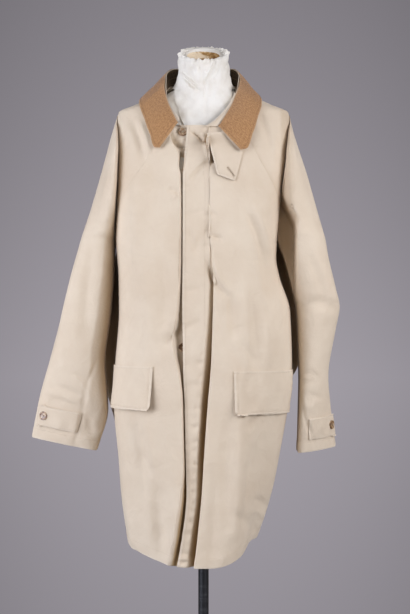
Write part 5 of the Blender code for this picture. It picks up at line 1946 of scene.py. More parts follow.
@dataclass(frozen=True)
class Back(Garment):
    """The back panel.

    Attributes:
        deep: how strongly painted shade darkens the back's sides where the sleeves shade them.
        sides: distances from the middle where that starts and is whole.
        beside_sleeves: heights where it starts and is whole.
        half_columns: columns of each half.
    """

    deep: float = 0.7
    sides: Pair = (0.150, 0.200)
    beside_sleeves: Pair = (0.740, 0.840)
    half_columns: int = 46

    def grid(self) -> Array:
        """Outside of the back, from the left side seam to the right and up to the neckline."""
        outer, seam = self.form.panel_rows(1)
        hem, top = self.form.hem, float(self.form.neckline("height", 180.0))
        middle = hem + (outer - hem) * (top - hem) / (outer[-1] - hem)
        start = self.form.seam_angle(seam, outer, 1)
        share = edge_shares(self.half_columns * 2, 0.4)[: self.half_columns + 1] * 2
        half = start[:, None] + (math.pi - start)[:, None] * share
        angles = np.concatenate([half, 2 * math.pi - half[:, -2::-1]], axis=1)
        rise = np.concatenate([share, share[-2::-1]])
        return self.form.point(angles, outer[:, None] + (middle - outer)[:, None] * rise)

    def build(self) -> None:
        """Makes the back and its hem stitching."""
        grid = self.grid()
        across, height = np.abs(grid[..., 0]), grid[..., 2]
        # painted shade on the back's sides beside the sleeves
        hollow = self.deep * ease(*self.sides, across) * ease(*self.beside_sleeves, height)
        surface = Surface(grid, hollow)
        lift = BACK_RELIEF.lift(surface.grid, surface.normals)
        lift = lift + self.hem.lift(edge_distance(surface.grid, Edge.BOTTOM))
        for edge in (Edge.FIRST_COLUMN, Edge.LAST_COLUMN):
            lift = lift + self.seam.lift(surface.grid, edge)
        surface = surface.raised(lift)
        self.hang("back", [surface], ["dress_form"])
        self.sew("back", Stitching().follow(surface, [Edge.BOTTOM], self.hem.depth))


@dataclass(frozen=True)
class SleeveSizes:
    """One sleeve's sizes.

    Attributes:
        word: the wearer's side.
        side: -1 for the right, 1 for the left.
        cuff: height of the cuff's edge.
        tube: inner and outer edges out from the middle, how far front and back stand from the line between
            them, and the rise of each row towards its outer edge, at each height.
        ridges: sharp folds: turn at the lowest and highest reach and half width in degrees, rise, and
            both reaches.
        strap_turns: where the cuff strap starts and ends round the sleeve, in degrees.
        strap_heights: the strap's lower and upper edges.
        tuck: where the front's inner side is tucked back: how far out its crisp edge runs, how far back
            the cloth goes, and its lowest and highest reach.
    """

    word: str
    side: int
    cuff: float
    tube: SizeTable
    ridges: tuple[tuple[float, ...], ...]
    strap_turns: Pair
    strap_heights: Pair
    tuck: tuple[float, float, float, float] | None = None


SLEEVE_COLUMNS = "inner inner_y outer outer_y lean front back rise"
RIGHT_SLEEVE = SleeveSizes(
    "right",
    -1,
    0.697,
    SizeTable(
        SLEEVE_COLUMNS,
        (1.453, 0.195, 0.000, 0.1955, 0.000, 0.000, 0.004, 0.004, 0.00),
        (1.405, 0.199, 0.000, 0.2105, 0.000, -0.001, 0.036, 0.036, 0.00),
        (1.345, 0.199, 0.000, 0.2266, 0.000, -0.003, 0.058, 0.058, 0.00),
        (1.280, 0.200, 0.000, 0.2449, 0.000, -0.004, 0.064, 0.064, 0.00),
        (1.230, 0.200, 0.000, 0.2590, 0.000, -0.003, 0.070, 0.071, 0.00),
        (1.195, 0.200, 0.000, 0.2692, 0.000, 0.000, 0.080, 0.080, 0.00),
        (1.165, 0.2008, 0.000, 0.2780, 0.000, 0.001, 0.092, 0.090, 0.00),
        (1.100, 0.2035, -0.002, 0.2970, 0.000, 0.000, 0.086, 0.088, 0.02),
        (1.000, 0.2120, -0.004, 0.3210, 0.000, 0.000, 0.076, 0.080, 0.06),
        (0.890, 0.2255, -0.006, 0.3490, 0.000, 0.000, 0.062, 0.066, 0.12),
        (0.790, 0.2190, -0.008, 0.3750, 0.002, 0.000, 0.047, 0.050, 0.18),
        (0.697, 0.2440, -0.010, 0.3930, 0.004, 0.000, 0.036, 0.038, 0.20),
    ),
    ((58, 58, 11, 0.004, 0.74, 1.22),),
    (72, 158),
    (0.728, 0.773),
)
LEFT_SLEEVE = SleeveSizes(
    "left",
    1,
    0.685,
    SizeTable(
        SLEEVE_COLUMNS,
        (1.453, 0.195, 0.000, 0.1955, 0.000, 0.000, 0.004, 0.004, 0.00),
        (1.405, 0.197, 0.000, 0.2080, 0.000, -0.001, 0.036, 0.036, 0.00),
        (1.309, 0.188, 0.000, 0.2390, 0.000, -0.004, 0.068, 0.066, 0.00),
        (1.260, 0.182, 0.000, 0.2530, 0.000, -0.005, 0.073, 0.070, 0.00),
        (1.214, 0.178, 0.000, 0.2654, 0.000, -0.004, 0.081, 0.077, 0.00),
        (1.190, 0.1705, 0.000, 0.2715, 0.000, -0.002, 0.090, 0.084, 0.00),
        (1.165, 0.1688, 0.000, 0.2780, 0.000, -0.001, 0.100, 0.092, 0.00),
        (1.120, 0.1840, -0.002, 0.2864, 0.000, -0.002, 0.096, 0.090, 0.00),
        (1.050, 0.2020, -0.004, 0.3025, 0.002, 0.000, 0.088, 0.086, 0.02),
        (1.008, 0.2108, -0.006, 0.3114, 0.004, 0.000, 0.082, 0.084, 0.03),
        (0.955, 0.2142, -0.010, 0.3025, 0.008, 0.000, 0.078, 0.080, 0.03),
        (0.849, 0.2180, -0.018, 0.2864, 0.018, 0.000, 0.074, 0.072, 0.04),
        (0.790, 0.2175, -0.024, 0.2920, 0.024, -0.002, 0.068, 0.066, 0.08),
        (0.685, 0.2150, -0.030, 0.3060, 0.030, -0.004, 0.054, 0.054, 0.10),
    ),
    ((30, 84, 11, 0.006, 1.04, 1.34), (10, 42, 22, -0.030, 1.10, 1.36)),
    (64, 172),
    (0.712, 0.760),
    (0.2100, -0.034, 0.985, 1.207),
)


@dataclass(frozen=True)
class Sleeve(Garment):
    """A two-piece raglan sleeve with its cuff strap.

    Attributes:
        sizes: the sleeve's own sizes.
        flat: how flat it lies below the shoulder.
        front_flat: heights where its front starts to lie flat, and does.
        back_flat: the same for its back.
        cuff_flat: how much flatter its cuff lies.
        cuff_heights: heights where that starts and is whole.
        cuff_band: how far up the cuff's rows are close together.
        ridge_fade: how gently its sharp folds begin and end.
        ridge_least: the least depth that they are measured against.
        tuck_edge: how wide the tuck's crisp edge is.
        tuck_slope: how steeply the tuck's top rises towards the body.
        tuck_fades: how gently the tuck begins below and ends above.
        tuck_shade: how strongly painted shade darkens the tuck.
        flank_shade: how strongly painted shade darkens a tucked sleeve's flank.
        flank_spans: distances out where that starts and is whole, and where it has ended and is whole.
        flank_heights: heights where it starts and is whole.
        side_shade: how strongly painted shade darkens a plain sleeve's inner side beside the body.
        side_reach: how far from that side it has faded, and is whole.
        side_spans: heights where it has ended and is whole above, and the same below.
        trough_held: how far from the trough the creases start.
        top_held: how far below the shoulder point they end.
        seam_share: how strongly the outer seam puckers.
        strap_round: radius of the strap's free corners.
        strap_cut: how much of it rounds off the strap's end.
        strap_off: how far the strap stands off the sleeve.
        strap_edge: the strap's stitched edges.
        strap_row: shares of each edge where its stitches start and stop.
        strap_steps: rows and columns of the strap.
        trough_rows: how many raglan rows reach the trough.
        row_parts: rows of cloth in each raglan row.
        raglan_columns: columns from the raglan seam to the trough.
        round_columns: columns round half the sleeve.
    """

    sizes: SleeveSizes = RIGHT_SLEEVE
    flat: float = 0.42
    front_flat: Pair = (1.42, 1.22)
    back_flat: Pair = (1.10, 0.95)
    cuff_flat: float = 0.18
    cuff_heights: Pair = (0.95, 0.75)
    cuff_band: float = 0.030
    ridge_fade: float = 0.10
    ridge_least: float = 0.01
    tuck_edge: float = 0.006
    tuck_slope: float = 1.8
    tuck_fades: Pair = (0.04, 0.03)
    tuck_shade: float = 0.15
    flank_shade: float = 0.25
    flank_spans: tuple[Pair, Pair] = ((0.170, 0.178), (0.208, 0.190))
    flank_heights: Pair = (1.10, 1.16)
    side_shade: float = 0.45
    side_reach: Pair = (0.026, 0.002)
    side_spans: tuple[Pair, Pair] = ((1.20, 1.10), (0.74, 0.82))
    trough_held: float = 0.02
    top_held: float = 0.03
    seam_share: float = 0.6
    strap_round: float = 0.012
    strap_cut: float = 0.5
    strap_off: float = 0.0008
    strap_edge: StitchedEdge = StitchedEdge(0.0010, 0.003, 0.0004, 0.005, 0.0012)
    strap_row: Pair = (0.1, 0.9)
    strap_steps: tuple[int, int] = (22, 44)
    trough_rows: int = 7
    row_parts: int = 8
    raglan_columns: int = 26
    round_columns: int = 54

    def tucked(self, out: Array, height: Array) -> Array:
        """Share by which each place of the front's inner side is tucked back."""
        line, _, low, high = self.sizes.tuck
        below, above = self.tuck_fades
        top = high + self.tuck_slope * (line - out)
        inside = ease(line, line - self.tuck_edge, out) * ease(top, top - above, height)
        return inside * ease(low, low + below, height)

    def hollow(self, grid: Array) -> Array:
        """Painted shade on the front: how strongly the tone is darkened at each point in the tuck and the
        fold beside the body.
        """
        out, height = np.abs(grid[..., 0]), grid[..., 2]
        if self.sizes.tuck:
            inner, outer = self.flank_spans
            flank = ease(*inner, out) * ease(*outer, out) * ease(*self.flank_heights, height)
            return self.tuck_shade * self.tucked(out, height) + self.flank_shade * flank
        above, below = self.side_spans
        faded, whole = (self.sizes.tube("inner", height) + reach for reach in self.side_reach)
        return self.side_shade * ease(faded, whole, out) * ease(*above, height) * ease(*below, height)

    def flatness(self, front: bool, height: Array) -> Array:
        """How flat the sleeve's front or back lies at each height, from 0 for a plain oval."""
        reach = self.front_flat if front else self.back_flat
        return self.flat * ease(*reach, height) + self.cuff_flat * ease(*self.cuff_heights, height)

    def tube_points(self, front: bool, turn: Array, height: Array) -> Array:
        """Points of a half sleeve's tube.

        Args:
            front: whether the half is the front one.
            turn: angles from the sleeve's inner edge over the half to its outer edge.
            height: heights of the rows.

        Returns:
            The point at each.
        """
        tube, side = self.sizes.tube, self.sizes.side
        turn, height = np.broadcast_arrays(np.asarray(turn, float), np.asarray(height, float))
        column = "front" if front else "back"
        trough = np.radians(self.form.raglan(column + "_trough", height))
        on_body = self.form.point(side * trough, height)
        above = height > self.form.underarm
        inner_x = np.where(above, side * on_body[..., 0], tube("inner", height))
        inner_y = np.where(above, on_body[..., 1], tube("inner_y", height))
        outer_x, outer_y = tube("outer", height), tube("outer_y", height)
        reach = tube(column, height) * (-1 if front else 1)
        round_out = np.sin(turn) ** (1 - self.flatness(front, height))
        swell = 1.0
        if front:
            for first, last, width, rise, low, high in self.sizes.ridges:
                middle = first + (last - first) * (height - low) / (high - low)
                away = np.abs(np.degrees(turn) - middle) / width
                fade = ease(low, low + self.ridge_fade, height) * ease(high, high - self.ridge_fade, height)
                share = rise / np.maximum(tube(column, height), self.ridge_least)
                swell = swell + share * np.exp(-away) * fade
        middle_x, middle_y = (inner_x + outer_x) / 2, (inner_y + outer_y) / 2
        x = middle_x + (inner_x - outer_x) / 2 * np.cos(turn) + tube("lean", height) * round_out
        y = middle_y + (inner_y - outer_y) / 2 * np.cos(turn) + reach * round_out * swell
        if front and self.sizes.tuck:
            y = y + self.tucked(x, height) * (np.maximum(y, self.sizes.tuck[1]) - y)
        z = height + tube("rise", height) * (x - middle_x)
        return np.stack([side * x, y, z], axis=-1)

    def upper_grid(self, front: bool) -> Array:
        """Upper part of a half sleeve, from its raglan seam to the trough, then to the shoulder line."""
        rows = np.array(self.form.raglan_rows)
        seam_heights = refined(rows[:, 0 if front else 1], self.row_parts)
        outer_heights = refined(rows[:, 2], self.row_parts)
        sign = 1 if front else -1
        column = "front" if front else "back"
        seam = self.form.seam_angle(self.form.raglan(column + "_seam", seam_heights), seam_heights, sign)
        last = (self.trough_rows - 1) * self.row_parts
        end = np.radians(self.form.raglan(column + "_trough", outer_heights))
        shoulder = outer_heights[last:]
        end[last:] = self.form.seam_angle(np.full(len(shoulder), 90.0), shoulder, -sign)
        angles = seam[:, None] + (end - seam)[:, None] * edge_shares(self.raglan_columns, 0.4)
        rise = self.form.rise_share(angles[-1])
        heights = seam_heights[:, None] + (outer_heights - seam_heights)[:, None] * rise
        return self.form.point(self.sizes.side * angles, heights)

    def tube_grid(self, front: bool, upper: Array) -> Array:
        """The tube of a half sleeve, cuff first, joined to its upper part along the trough."""
        underarm = self.form.underarm
        trough = refined([row[2] for row in self.form.raglan_rows[: self.trough_rows]], self.row_parts)
        heights = np.concatenate([rows_up(self.sizes.cuff, self.cuff_band, underarm), trough])
        reach = self.sizes.tube("front" if front else "back", heights)
        gap = (SEAM_GAP / 2 / reach) ** (1 / (1 - self.flatness(front, heights)))
        start = np.where(heights > underarm, 0.0, gap)
        end = math.pi - gap
        turn = start[:, None] + (end - start)[:, None] * edge_shares(self.round_columns, 0.2)
        grid = self.tube_points(front, turn, heights[:, None])
        grid[-len(trough) :, 0] = upper[: len(trough), -1]
        grid[-1, :] = upper[len(trough) - 1, -1]
        return grid

    def half(self, front: bool) -> list[Surface]:
        """The finished surfaces of a half sleeve: its upper part, then its tube."""
        relief = FRONT_RELIEF if front else BACK_RELIEF
        upper = self.upper_grid(front)
        tube = self.tube_grid(front, upper)
        outward = self.sizes.side if front else -self.sizes.side
        surfaces = []
        for grid, joined in ((upper, Edge.LAST_COLUMN), (tube, Edge.FIRST_COLUMN)):
            held = ease(0.0, self.trough_held, edge_distance(grid, joined))
            if grid is tube:
                held = held * ease(0.0, self.top_held, edge_distance(grid, Edge.TOP))
                lift = self.hem.lift(edge_distance(grid, Edge.BOTTOM))
                lift = lift + self.seam_share * self.seam.lift(grid, Edge.LAST_COLUMN)
            else:
                lift = self.seam.lift(grid, Edge.FIRST_COLUMN)
            surface = Surface(grid)
            lift = lift + relief.lift(grid, surface.normals)
            # painted shade in the folds beside the body, on the front half only
            hollow = self.hollow(grid) if front else np.zeros(grid.shape[:2])
            grid = grid + surface.normals * (outward * lift * held)[..., None]
            surfaces.append(Surface(grid[:, ::outward], hollow[:, ::outward]))
        return surfaces

    def strap(self) -> Surface:
        """The cuff strap's surface on the sleeve's front, its free end rounded."""
        first, last = self.sizes.strap_turns
        low, high = self.sizes.strap_heights
        rows, columns = self.strap_steps
        up = edge_shares(rows, 0.7)
        away = np.minimum(up, 1 - up) * (high - low)
        inside = np.clip(1 - away / self.strap_round, 0.0, 1.0)
        cut = self.strap_round * (1 - np.sqrt(1 - inside**2)) / (high - low)
        reach = last - cut * (last - first) * self.strap_cut
        turn = np.radians(first + (reach - first)[:, None] * edge_shares(columns))
        height = np.broadcast_to((low + (high - low) * up)[:, None], turn.shape)
        base = Surface(self.tube_points(True, turn, height))
        side = self.sizes.side
        facing = base.normals * side
        lift = FRONT_RELIEF.lift(base.grid, facing) + ON_PANEL + DOUBLE_CLOTH + self.strap_off
        grid = base.grid + facing * lift[..., None]
        lift = self.strap_edge.lift(grid, tuple(Edge))
        return Surface(grid[:, ::side]).raised(lift[:, ::side])

    def build(self) -> None:
        """Makes the sleeve's halves, its strap and their stitching."""
        word = self.sizes.word
        stitching = Stitching()
        for front in (True, False):
            surfaces = self.half(front)
            self.hang(f"{word}_sleeve_{'front' if front else 'back'}", surfaces, ["dress_form"])
            stitching.follow(surfaces[1], [Edge.BOTTOM], self.hem.depth)
        self.sew(word + "_sleeve", stitching)
        strap = self.strap()
        self.hang(word + "_cuff_strap", [strap], [word + "_sleeve_front"], DOUBLE_CLOTH)
        rows = Stitching().follow(strap, tuple(Edge), self.strap_edge.inset, *self.strap_row)
        self.sew(word + "_cuff_strap", rows)


@dataclass(frozen=True)
class Collar(Garment):
    """The corduroy fall, the under-collar that shows past its edge, the stand, its facings and its lining,
    whose near-black brown is partly painted shade.

    Attributes:
        lines: from the right front end round the back to the left front end: the roll line, the fall's gap
            beside it, where the fall's edge lies on the coat, how far it stands off, how straight and how
            far forward the fall hangs between them, and the neckline.
        crown: how far the fall rises past the roll line.
        crown_share: how far out its crown lies.
        fall_edge: the fall's stitched edge.
        fall_row: shares of each edge where its stitches start and stop.
        fall_wave: height of the fall's slow waves.
        fall_seed: sets those waves.
        stand_lift: the stand's gap above the neckline.
        stand_in: how far the stand sits inside the neckline.
        under_shows: how far the under-collar shows past the fall.
        under_off: how far it lies from the fall.
        under_short: columns by the roll line that it leaves out.
        droop: how far the fall's front corners droop from the roll line.
        droop_reach: share of the collar's length where that fades.
        facing: how far the facing's inner edge lies from the roll line, across, back and down.
        facing_gap: how far its outer edge lies from the roll line.
        facing_swell: how far it bulges forward.
        facing_ends: shares of the collar's length where the right facing ends and the left one starts.
        lining_ends: shares of the collar's length where the lining starts and ends.
        lining_heights: shares of the stand's height where it starts and ends.
        lining_off: how far it lies inside the stand.
        along: columns along the collar.
        across: columns from the roll line to the fall's edge.
        rows: rows of the facings, the lining and the stand.
    """
    lines: SizeTable = SizeTable(
        "roll_x roll_y roll_z roll_gap edge_angle edge_z lift drop swell neck_angle",
        (0.00, -0.0550, -0.0930, 1.4320, 0.0022, -40.0, 1.359, 0.007, 1.00, 0.016, -30.0),
        (0.03, -0.0617, -0.0878, 1.4409, 0.0025, -43.2, 1.360, 0.007, 0.85, 0.014, -34.1),
        (0.09, -0.0740, -0.0760, 1.4600, 0.0030, -49.3, 1.392, 0.007, 0.50, 0.010, -43.0),
        (0.19, -0.0860, -0.0350, 1.5070, 0.0030, -61.3, 1.443, 0.006, 0.45, 0.004, -67.0),
        (0.24, -0.0867, -0.0126, 1.5260, 0.0024, -65.8, 1.458, 0.006, 0.75, 0.000, -80.0),
        (0.29, -0.0870, 0.0100, 1.5430, 0.0015, -90.0, 1.483, 0.006, 0.85, 0.000, -95.0),
        (0.39, -0.0700, 0.0520, 1.5650, 0.0007, -128.0, 1.454, 0.006, 0.50, 0.000, -138.0),
        (0.50, 0.0000, 0.0800, 1.5700, 0.0006, -180.0, 1.440, 0.006, 0.00, 0.000, -180.0),
        (0.61, 0.0690, 0.0520, 1.5650, 0.0007, -232.0, 1.454, 0.006, 0.50, 0.000, -222.0),
        (0.71, 0.0830, 0.0100, 1.5430, 0.0018, -270.0, 1.495, 0.006, 0.85, 0.000, -265.0),
        (0.76, 0.0808, -0.0124, 1.5260, 0.0029, -296.9, 1.460, 0.006, 0.75, 0.000, -280.3),
        (0.81, 0.0760, -0.0350, 1.5050, 0.0036, -302.0, 1.443, 0.007, 0.45, 0.004, -294.0),
        (0.91, 0.0550, -0.0780, 1.4530, 0.0036, -313.6, 1.392, 0.010, 0.50, 0.010, -322.0),
        (0.97, 0.0392, -0.0918, 1.4332, 0.0028, -320.8, 1.356, 0.012, 0.85, 0.014, -334.2),
        (1.00, 0.0310, -0.0980, 1.4240, 0.0022, -324.9, 1.353, 0.013, 1.00, 0.016, -340.0),
    )
    crown: float = 0.002
    crown_share: float = 0.5
    fall_edge: StitchedEdge = StitchedEdge(0.0010, 0.004, 0.0004, 0.007, 0.0015)
    fall_row: Pair = (0.02, 0.98)
    fall_wave: float = 0.0005
    fall_seed: int = 3
    stand_lift: float = 0.0012
    stand_in: float = 0.0015
    under_shows: float = 0.0014
    under_off: float = 0.0026
    under_short: int = 8
    droop: Triple = (0.0, -0.006, -0.0115)
    droop_reach: float = 0.09
    facing: SizeTable = SizeTable(
        "across back down",
        (0.00, 0.0060, 0.0100, 0.007),
        (0.05, 0.0035, 0.0130, 0.007),
        (0.10, 0.0025, 0.0130, 0.007),
        (0.17, 0.0020, 0.0120, 0.006),
        (0.24, 0.0004, 0.0030, 0.002),
        (0.76, -0.0010, 0.0030, 0.002),
        (0.82, -0.0050, 0.0080, 0.004),
        (0.86, -0.0060, 0.0080, 0.004),
        (0.91, -0.0080, 0.0040, 0.001),
        (0.94, -0.0115, 0.0020, 0.001),
        (0.97, -0.0185, -0.0010, 0.001),
        (1.00, -0.0290, -0.0030, 0.000),
    )
    facing_gap: Triple = (0.0, 0.0008, -0.0008)
    facing_swell: float = 0.0020
    facing_ends: Pair = (0.24, 0.76)
    lining_ends: Pair = (0.17, 0.83)
    lining_heights: Pair = (0.22, 0.97)
    lining_off: float = 0.0006
    along: int = 168
    across: int = 40
    rows: tuple[int, int, int] = (10, 16, 14)

    @property
    def shares(self) -> Array:
        """Places along the collar, as shares of its length."""
        return edge_shares(self.along, 0.3)

    def line(self, name: str) -> Array:
        """One column of the collar's lines, sampled along it."""
        return self.lines(name, self.shares)

    def roll(self) -> Array:
        """The roll line."""
        return np.stack([self.line("roll_x"), self.line("roll_y"), self.line("roll_z")], axis=1)

    def edge(self) -> Array:
        """The fall's edge, off the coat by its stand-off."""
        angle, height = np.radians(self.line("edge_angle")), self.line("edge_z")
        edge = self.form.point(angle, height)
        along = self.form.point(angle + PROBE, height) - edge
        up = self.form.point(angle, height + PROBE) - edge
        off = self.line("lift") + CLOTH + UNDER_CLOTH + SEAT_GAP
        return edge + unit(np.cross(along, up)) * off[:, None]

    def neck(self) -> Array:
        """The stand's lower edge, just inside and above the neckline."""
        degrees = self.line("neck_angle")
        turned = np.abs((degrees + 180) % 360 - 180)
        neck = self.form.point(np.radians(degrees), self.form.neckline("height", turned))
        return neck - unit(neck * LEVEL) * self.stand_in + np.array([0, 0, self.stand_lift])

    def drooped(self) -> Array:
        """How far each place of the fall's start droops from the roll line."""
        share = ease(self.droop_reach, 0.0, self.shares) + ease(1 - self.droop_reach, 1.0, self.shares)
        return share[:, None] * np.array(self.droop)

    @staticmethod
    def web(low: Array, high: Array, shares: Array) -> Array:
        """Rows of points at shares of the way from one line to another."""
        w = shares[:, None, None]
        return low[None] * (1 - w) + high[None] * w

    def facing_grid(self, keep: Array) -> Array:
        """A facing inside the roll line, from its inner edge out to the fall.

        Args:
            keep: which places along the collar it covers.

        Returns:
            The facing's points.
        """
        outer = self.roll() + self.drooped() + np.array(self.facing_gap)
        across, back, down = (self.facing(name, self.shares) for name in ("across", "back", "down"))
        inner = outer + np.stack([across, back, -down], axis=1)
        up = np.linspace(0, 1, self.rows[0])
        grid = self.web(inner[keep], outer[keep], up)
        grid[..., 1] -= self.facing_swell * np.sin(np.pi * up)[:, None]
        return grid

    def line_neck(self) -> None:
        """Makes the facings inside the collar's front ends and the dark lining behind the neck, whose
        near-black brown is partly painted shade.
        """
        right_end, left_start = self.facing_ends
        for word, keep in (("right", self.shares < right_end), ("left", self.shares > left_start)):
            self.spread(word + "_neck_facing", Surface(self.facing_grid(keep)), self.finishes.cotton)
        # a lining sheet whose very dark brown also stands for painted shade inside the back of the stand
        start, end = self.lining_ends
        keep = (self.shares > start) & (self.shares < end)
        wall = self.web(self.neck()[keep], self.roll()[keep], np.linspace(*self.lining_heights, self.rows[1]))
        inward = -unit(wall * LEVEL) * (CLOTH + UNDER_CLOTH + self.lining_off)
        self.spread("neck_lining_and_shade", Surface(wall + inward), self.finishes.lining)

    def spread(self, name: str, surface: Surface, material: Material) -> None:
        """Makes a thin piece of cloth inside the collar."""
        piece = adopt(Shell([surface]).build(name, UNDER_CLOTH, material), Slot.COTTON)
        lay_flat(piece, [surface])

    def fall_grid(self) -> Array:
        """Outside of the fall, from its edge up to the roll line."""
        roll, edge = self.roll(), self.edge()
        out = unit((edge - roll) * LEVEL)
        start = roll + out * self.line("roll_gap")[:, None] + self.drooped()
        crown = start + (edge - start) * self.crown_share
        crown[:, 1] -= self.line("swell")
        crown[:, 2] += (start[:, 2] + self.crown - crown[:, 2]) * (1 - self.line("drop"))
        w = edge_shares(self.across, 0.5)[None, :, None]
        fall = start[:, None] * (1 - w) ** 2 + crown[:, None] * 2 * w * (1 - w) + edge[:, None] * w**2
        return fall[:, ::-1]

    def under_grid(self, fall: Surface) -> Array:
        """Outside of the under-collar, below the fall and past its edges."""
        grid = fall.grid - fall.normals * (CLOTH + self.under_off)
        for row, step in ((0, 1), (-1, -2)):
            grid[row] += unit(grid[row] - grid[step]) * self.under_shows
        grid[:, 0] += unit(grid[:, 0] - grid[:, 1]) * self.under_shows
        return grid[:, : -self.under_short]

    def build(self) -> None:
        """Makes the collar's pieces and the fall's stitching."""
        fall = Surface(self.fall_grid())
        edges = (Edge.FIRST_COLUMN, Edge.BOTTOM, Edge.TOP)
        lift = self.fall_edge.lift(fall.grid, edges)
        top = fall.raised(lift + self.fall_wave * Relief((), seed=self.fall_seed).slow_swell(fall.grid))
        self.hang("collar_fall", [top], ["collar_stand"], CLOTH, Slot.CORDUROY, "folded")
        self.hang("collar_under", [Surface(self.under_grid(fall))], ["collar_fall"], UNDER_CLOTH)
        stand = self.web(self.neck(), self.roll(), np.linspace(0, 1, self.rows[2]))
        self.hang("collar_stand", [Surface(stand[:, ::-1])], ["dress_form"])
        self.line_neck()
        rows = Stitching().follow(top, edges, self.fall_edge.inset, *self.fall_row)
        self.sew("collar_fall", rows, brown=True)


@dataclass(frozen=True)
class PocketFlap(Garment):
    """A pocket flap hung at the hip.

    Attributes:
        word: the wearer's side.
        side: -1 for the right, 1 for the left.
        inner_across: its front edge's distance from the middle.
        top: height of its top edge.
        lifts: how far its bottom corners stand off, front corner first.
        width: its width.
        depth: its depth.
        curl: how late it starts to stand off on the way down.
        corner: radius of its lower corners.
        furthest: how far round the coat its top edge is looked for, in degrees.
        edge: its stitched edges.
        puckers: how they pucker.
        wave: height of its slow waves.
        wave_scale: how much shorter they are than the coat's.
        wave_seed: sets them, with the side.
        held: how far below its top edge its relief starts.
        bottom_row: shares of its bottom edge where the stitches start and stop.
        side_row: the same for its sides.
        top_row: how far below its top edge the top stitches run.
        columns: columns across it.
        rows: rows up it.
        probes: places tried along its top edge.
    """

    word: str = "right"
    side: int = -1
    inner_across: float = 0.110
    top: float = 0.878
    lifts: Pair = (0.016, 0.003)
    width: float = 0.185
    depth: float = 0.095
    curl: float = 1.5
    corner: float = 0.010
    furthest: float = 120.0
    edge: StitchedEdge = StitchedEdge(0.0011, 0.0035, 0.0006, 0.008, 0.0014)
    puckers: SewnEdge = SewnEdge(depth=0.0, pucker=0.0004, wave=0.017)
    wave: float = 0.0006
    wave_scale: float = 1.6
    wave_seed: int = 20
    held: float = 0.006
    bottom_row: Pair = (0.05, 0.95)
    side_row: Pair = (0.08, 1.0)
    top_row: float = 0.004
    columns: int = 64
    rows: int = 40
    probes: int = 400

    def grid(self) -> Array:
        """Outside of the flap, bottom row first and from the wearer's right to left."""
        first = abs(float(self.form.angle_at(self.side * self.inner_across, self.top)))
        sweep = np.linspace(first, math.radians(self.furthest), self.probes)
        line = self.form.point(self.side * sweep, self.top)
        length = np.concatenate([[0.0], np.cumsum(np.linalg.norm(np.diff(line, axis=0), axis=1))])
        up = edge_shares(self.rows)
        inside = np.clip(1 - up * self.depth / self.corner, 0.0, 1.0)
        cut = self.corner * (1 - np.sqrt(1 - inside**2))
        across = cut[:, None] + (self.width - 2 * cut[:, None]) * edge_shares(self.columns, 0.5)
        angles = self.side * np.interp(across, length, sweep)
        down = (1 - up)[:, None]
        heights = np.broadcast_to(self.top - down * self.depth, angles.shape)
        front, back = self.lifts
        bottom = front + (back - front) * across / self.width
        stand_off = ON_PANEL + down**self.curl * bottom + DOUBLE_CLOTH
        base = Surface(self.form.point(angles, heights))
        facing = base.normals * self.side
        lift = stand_off + FRONT_RELIEF.lift(base.grid, facing)
        return (base.grid + facing * lift[..., None])[:, :: self.side]

    def build(self) -> None:
        """Makes the flap and its stitching."""
        surface = Surface(self.grid())
        sides = (Edge.FIRST_COLUMN, Edge.LAST_COLUMN)
        edges = (*sides, Edge.BOTTOM)
        waves = Relief((), seed=self.wave_seed + self.side).slow_swell(surface.grid * self.wave_scale)
        lift = self.wave * waves + self.edge.lift(surface.grid, edges)
        lift = lift + sum(self.puckers.lift(surface.grid, edge) for edge in edges)
        flap = surface.raised(lift * ease(0.0, self.held, edge_distance(surface.grid, Edge.TOP)))
        self.hang(self.word + "_pocket_flap", [flap], [self.word + "_front"], DOUBLE_CLOTH)
        rows = Stitching().follow(flap, [Edge.BOTTOM], self.edge.inset, *self.bottom_row)
        rows.follow(flap, sides, self.edge.inset, *self.side_row)
        self.sew(self.word + "_pocket_flap", rows.follow(flap, [Edge.TOP], self.top_row))


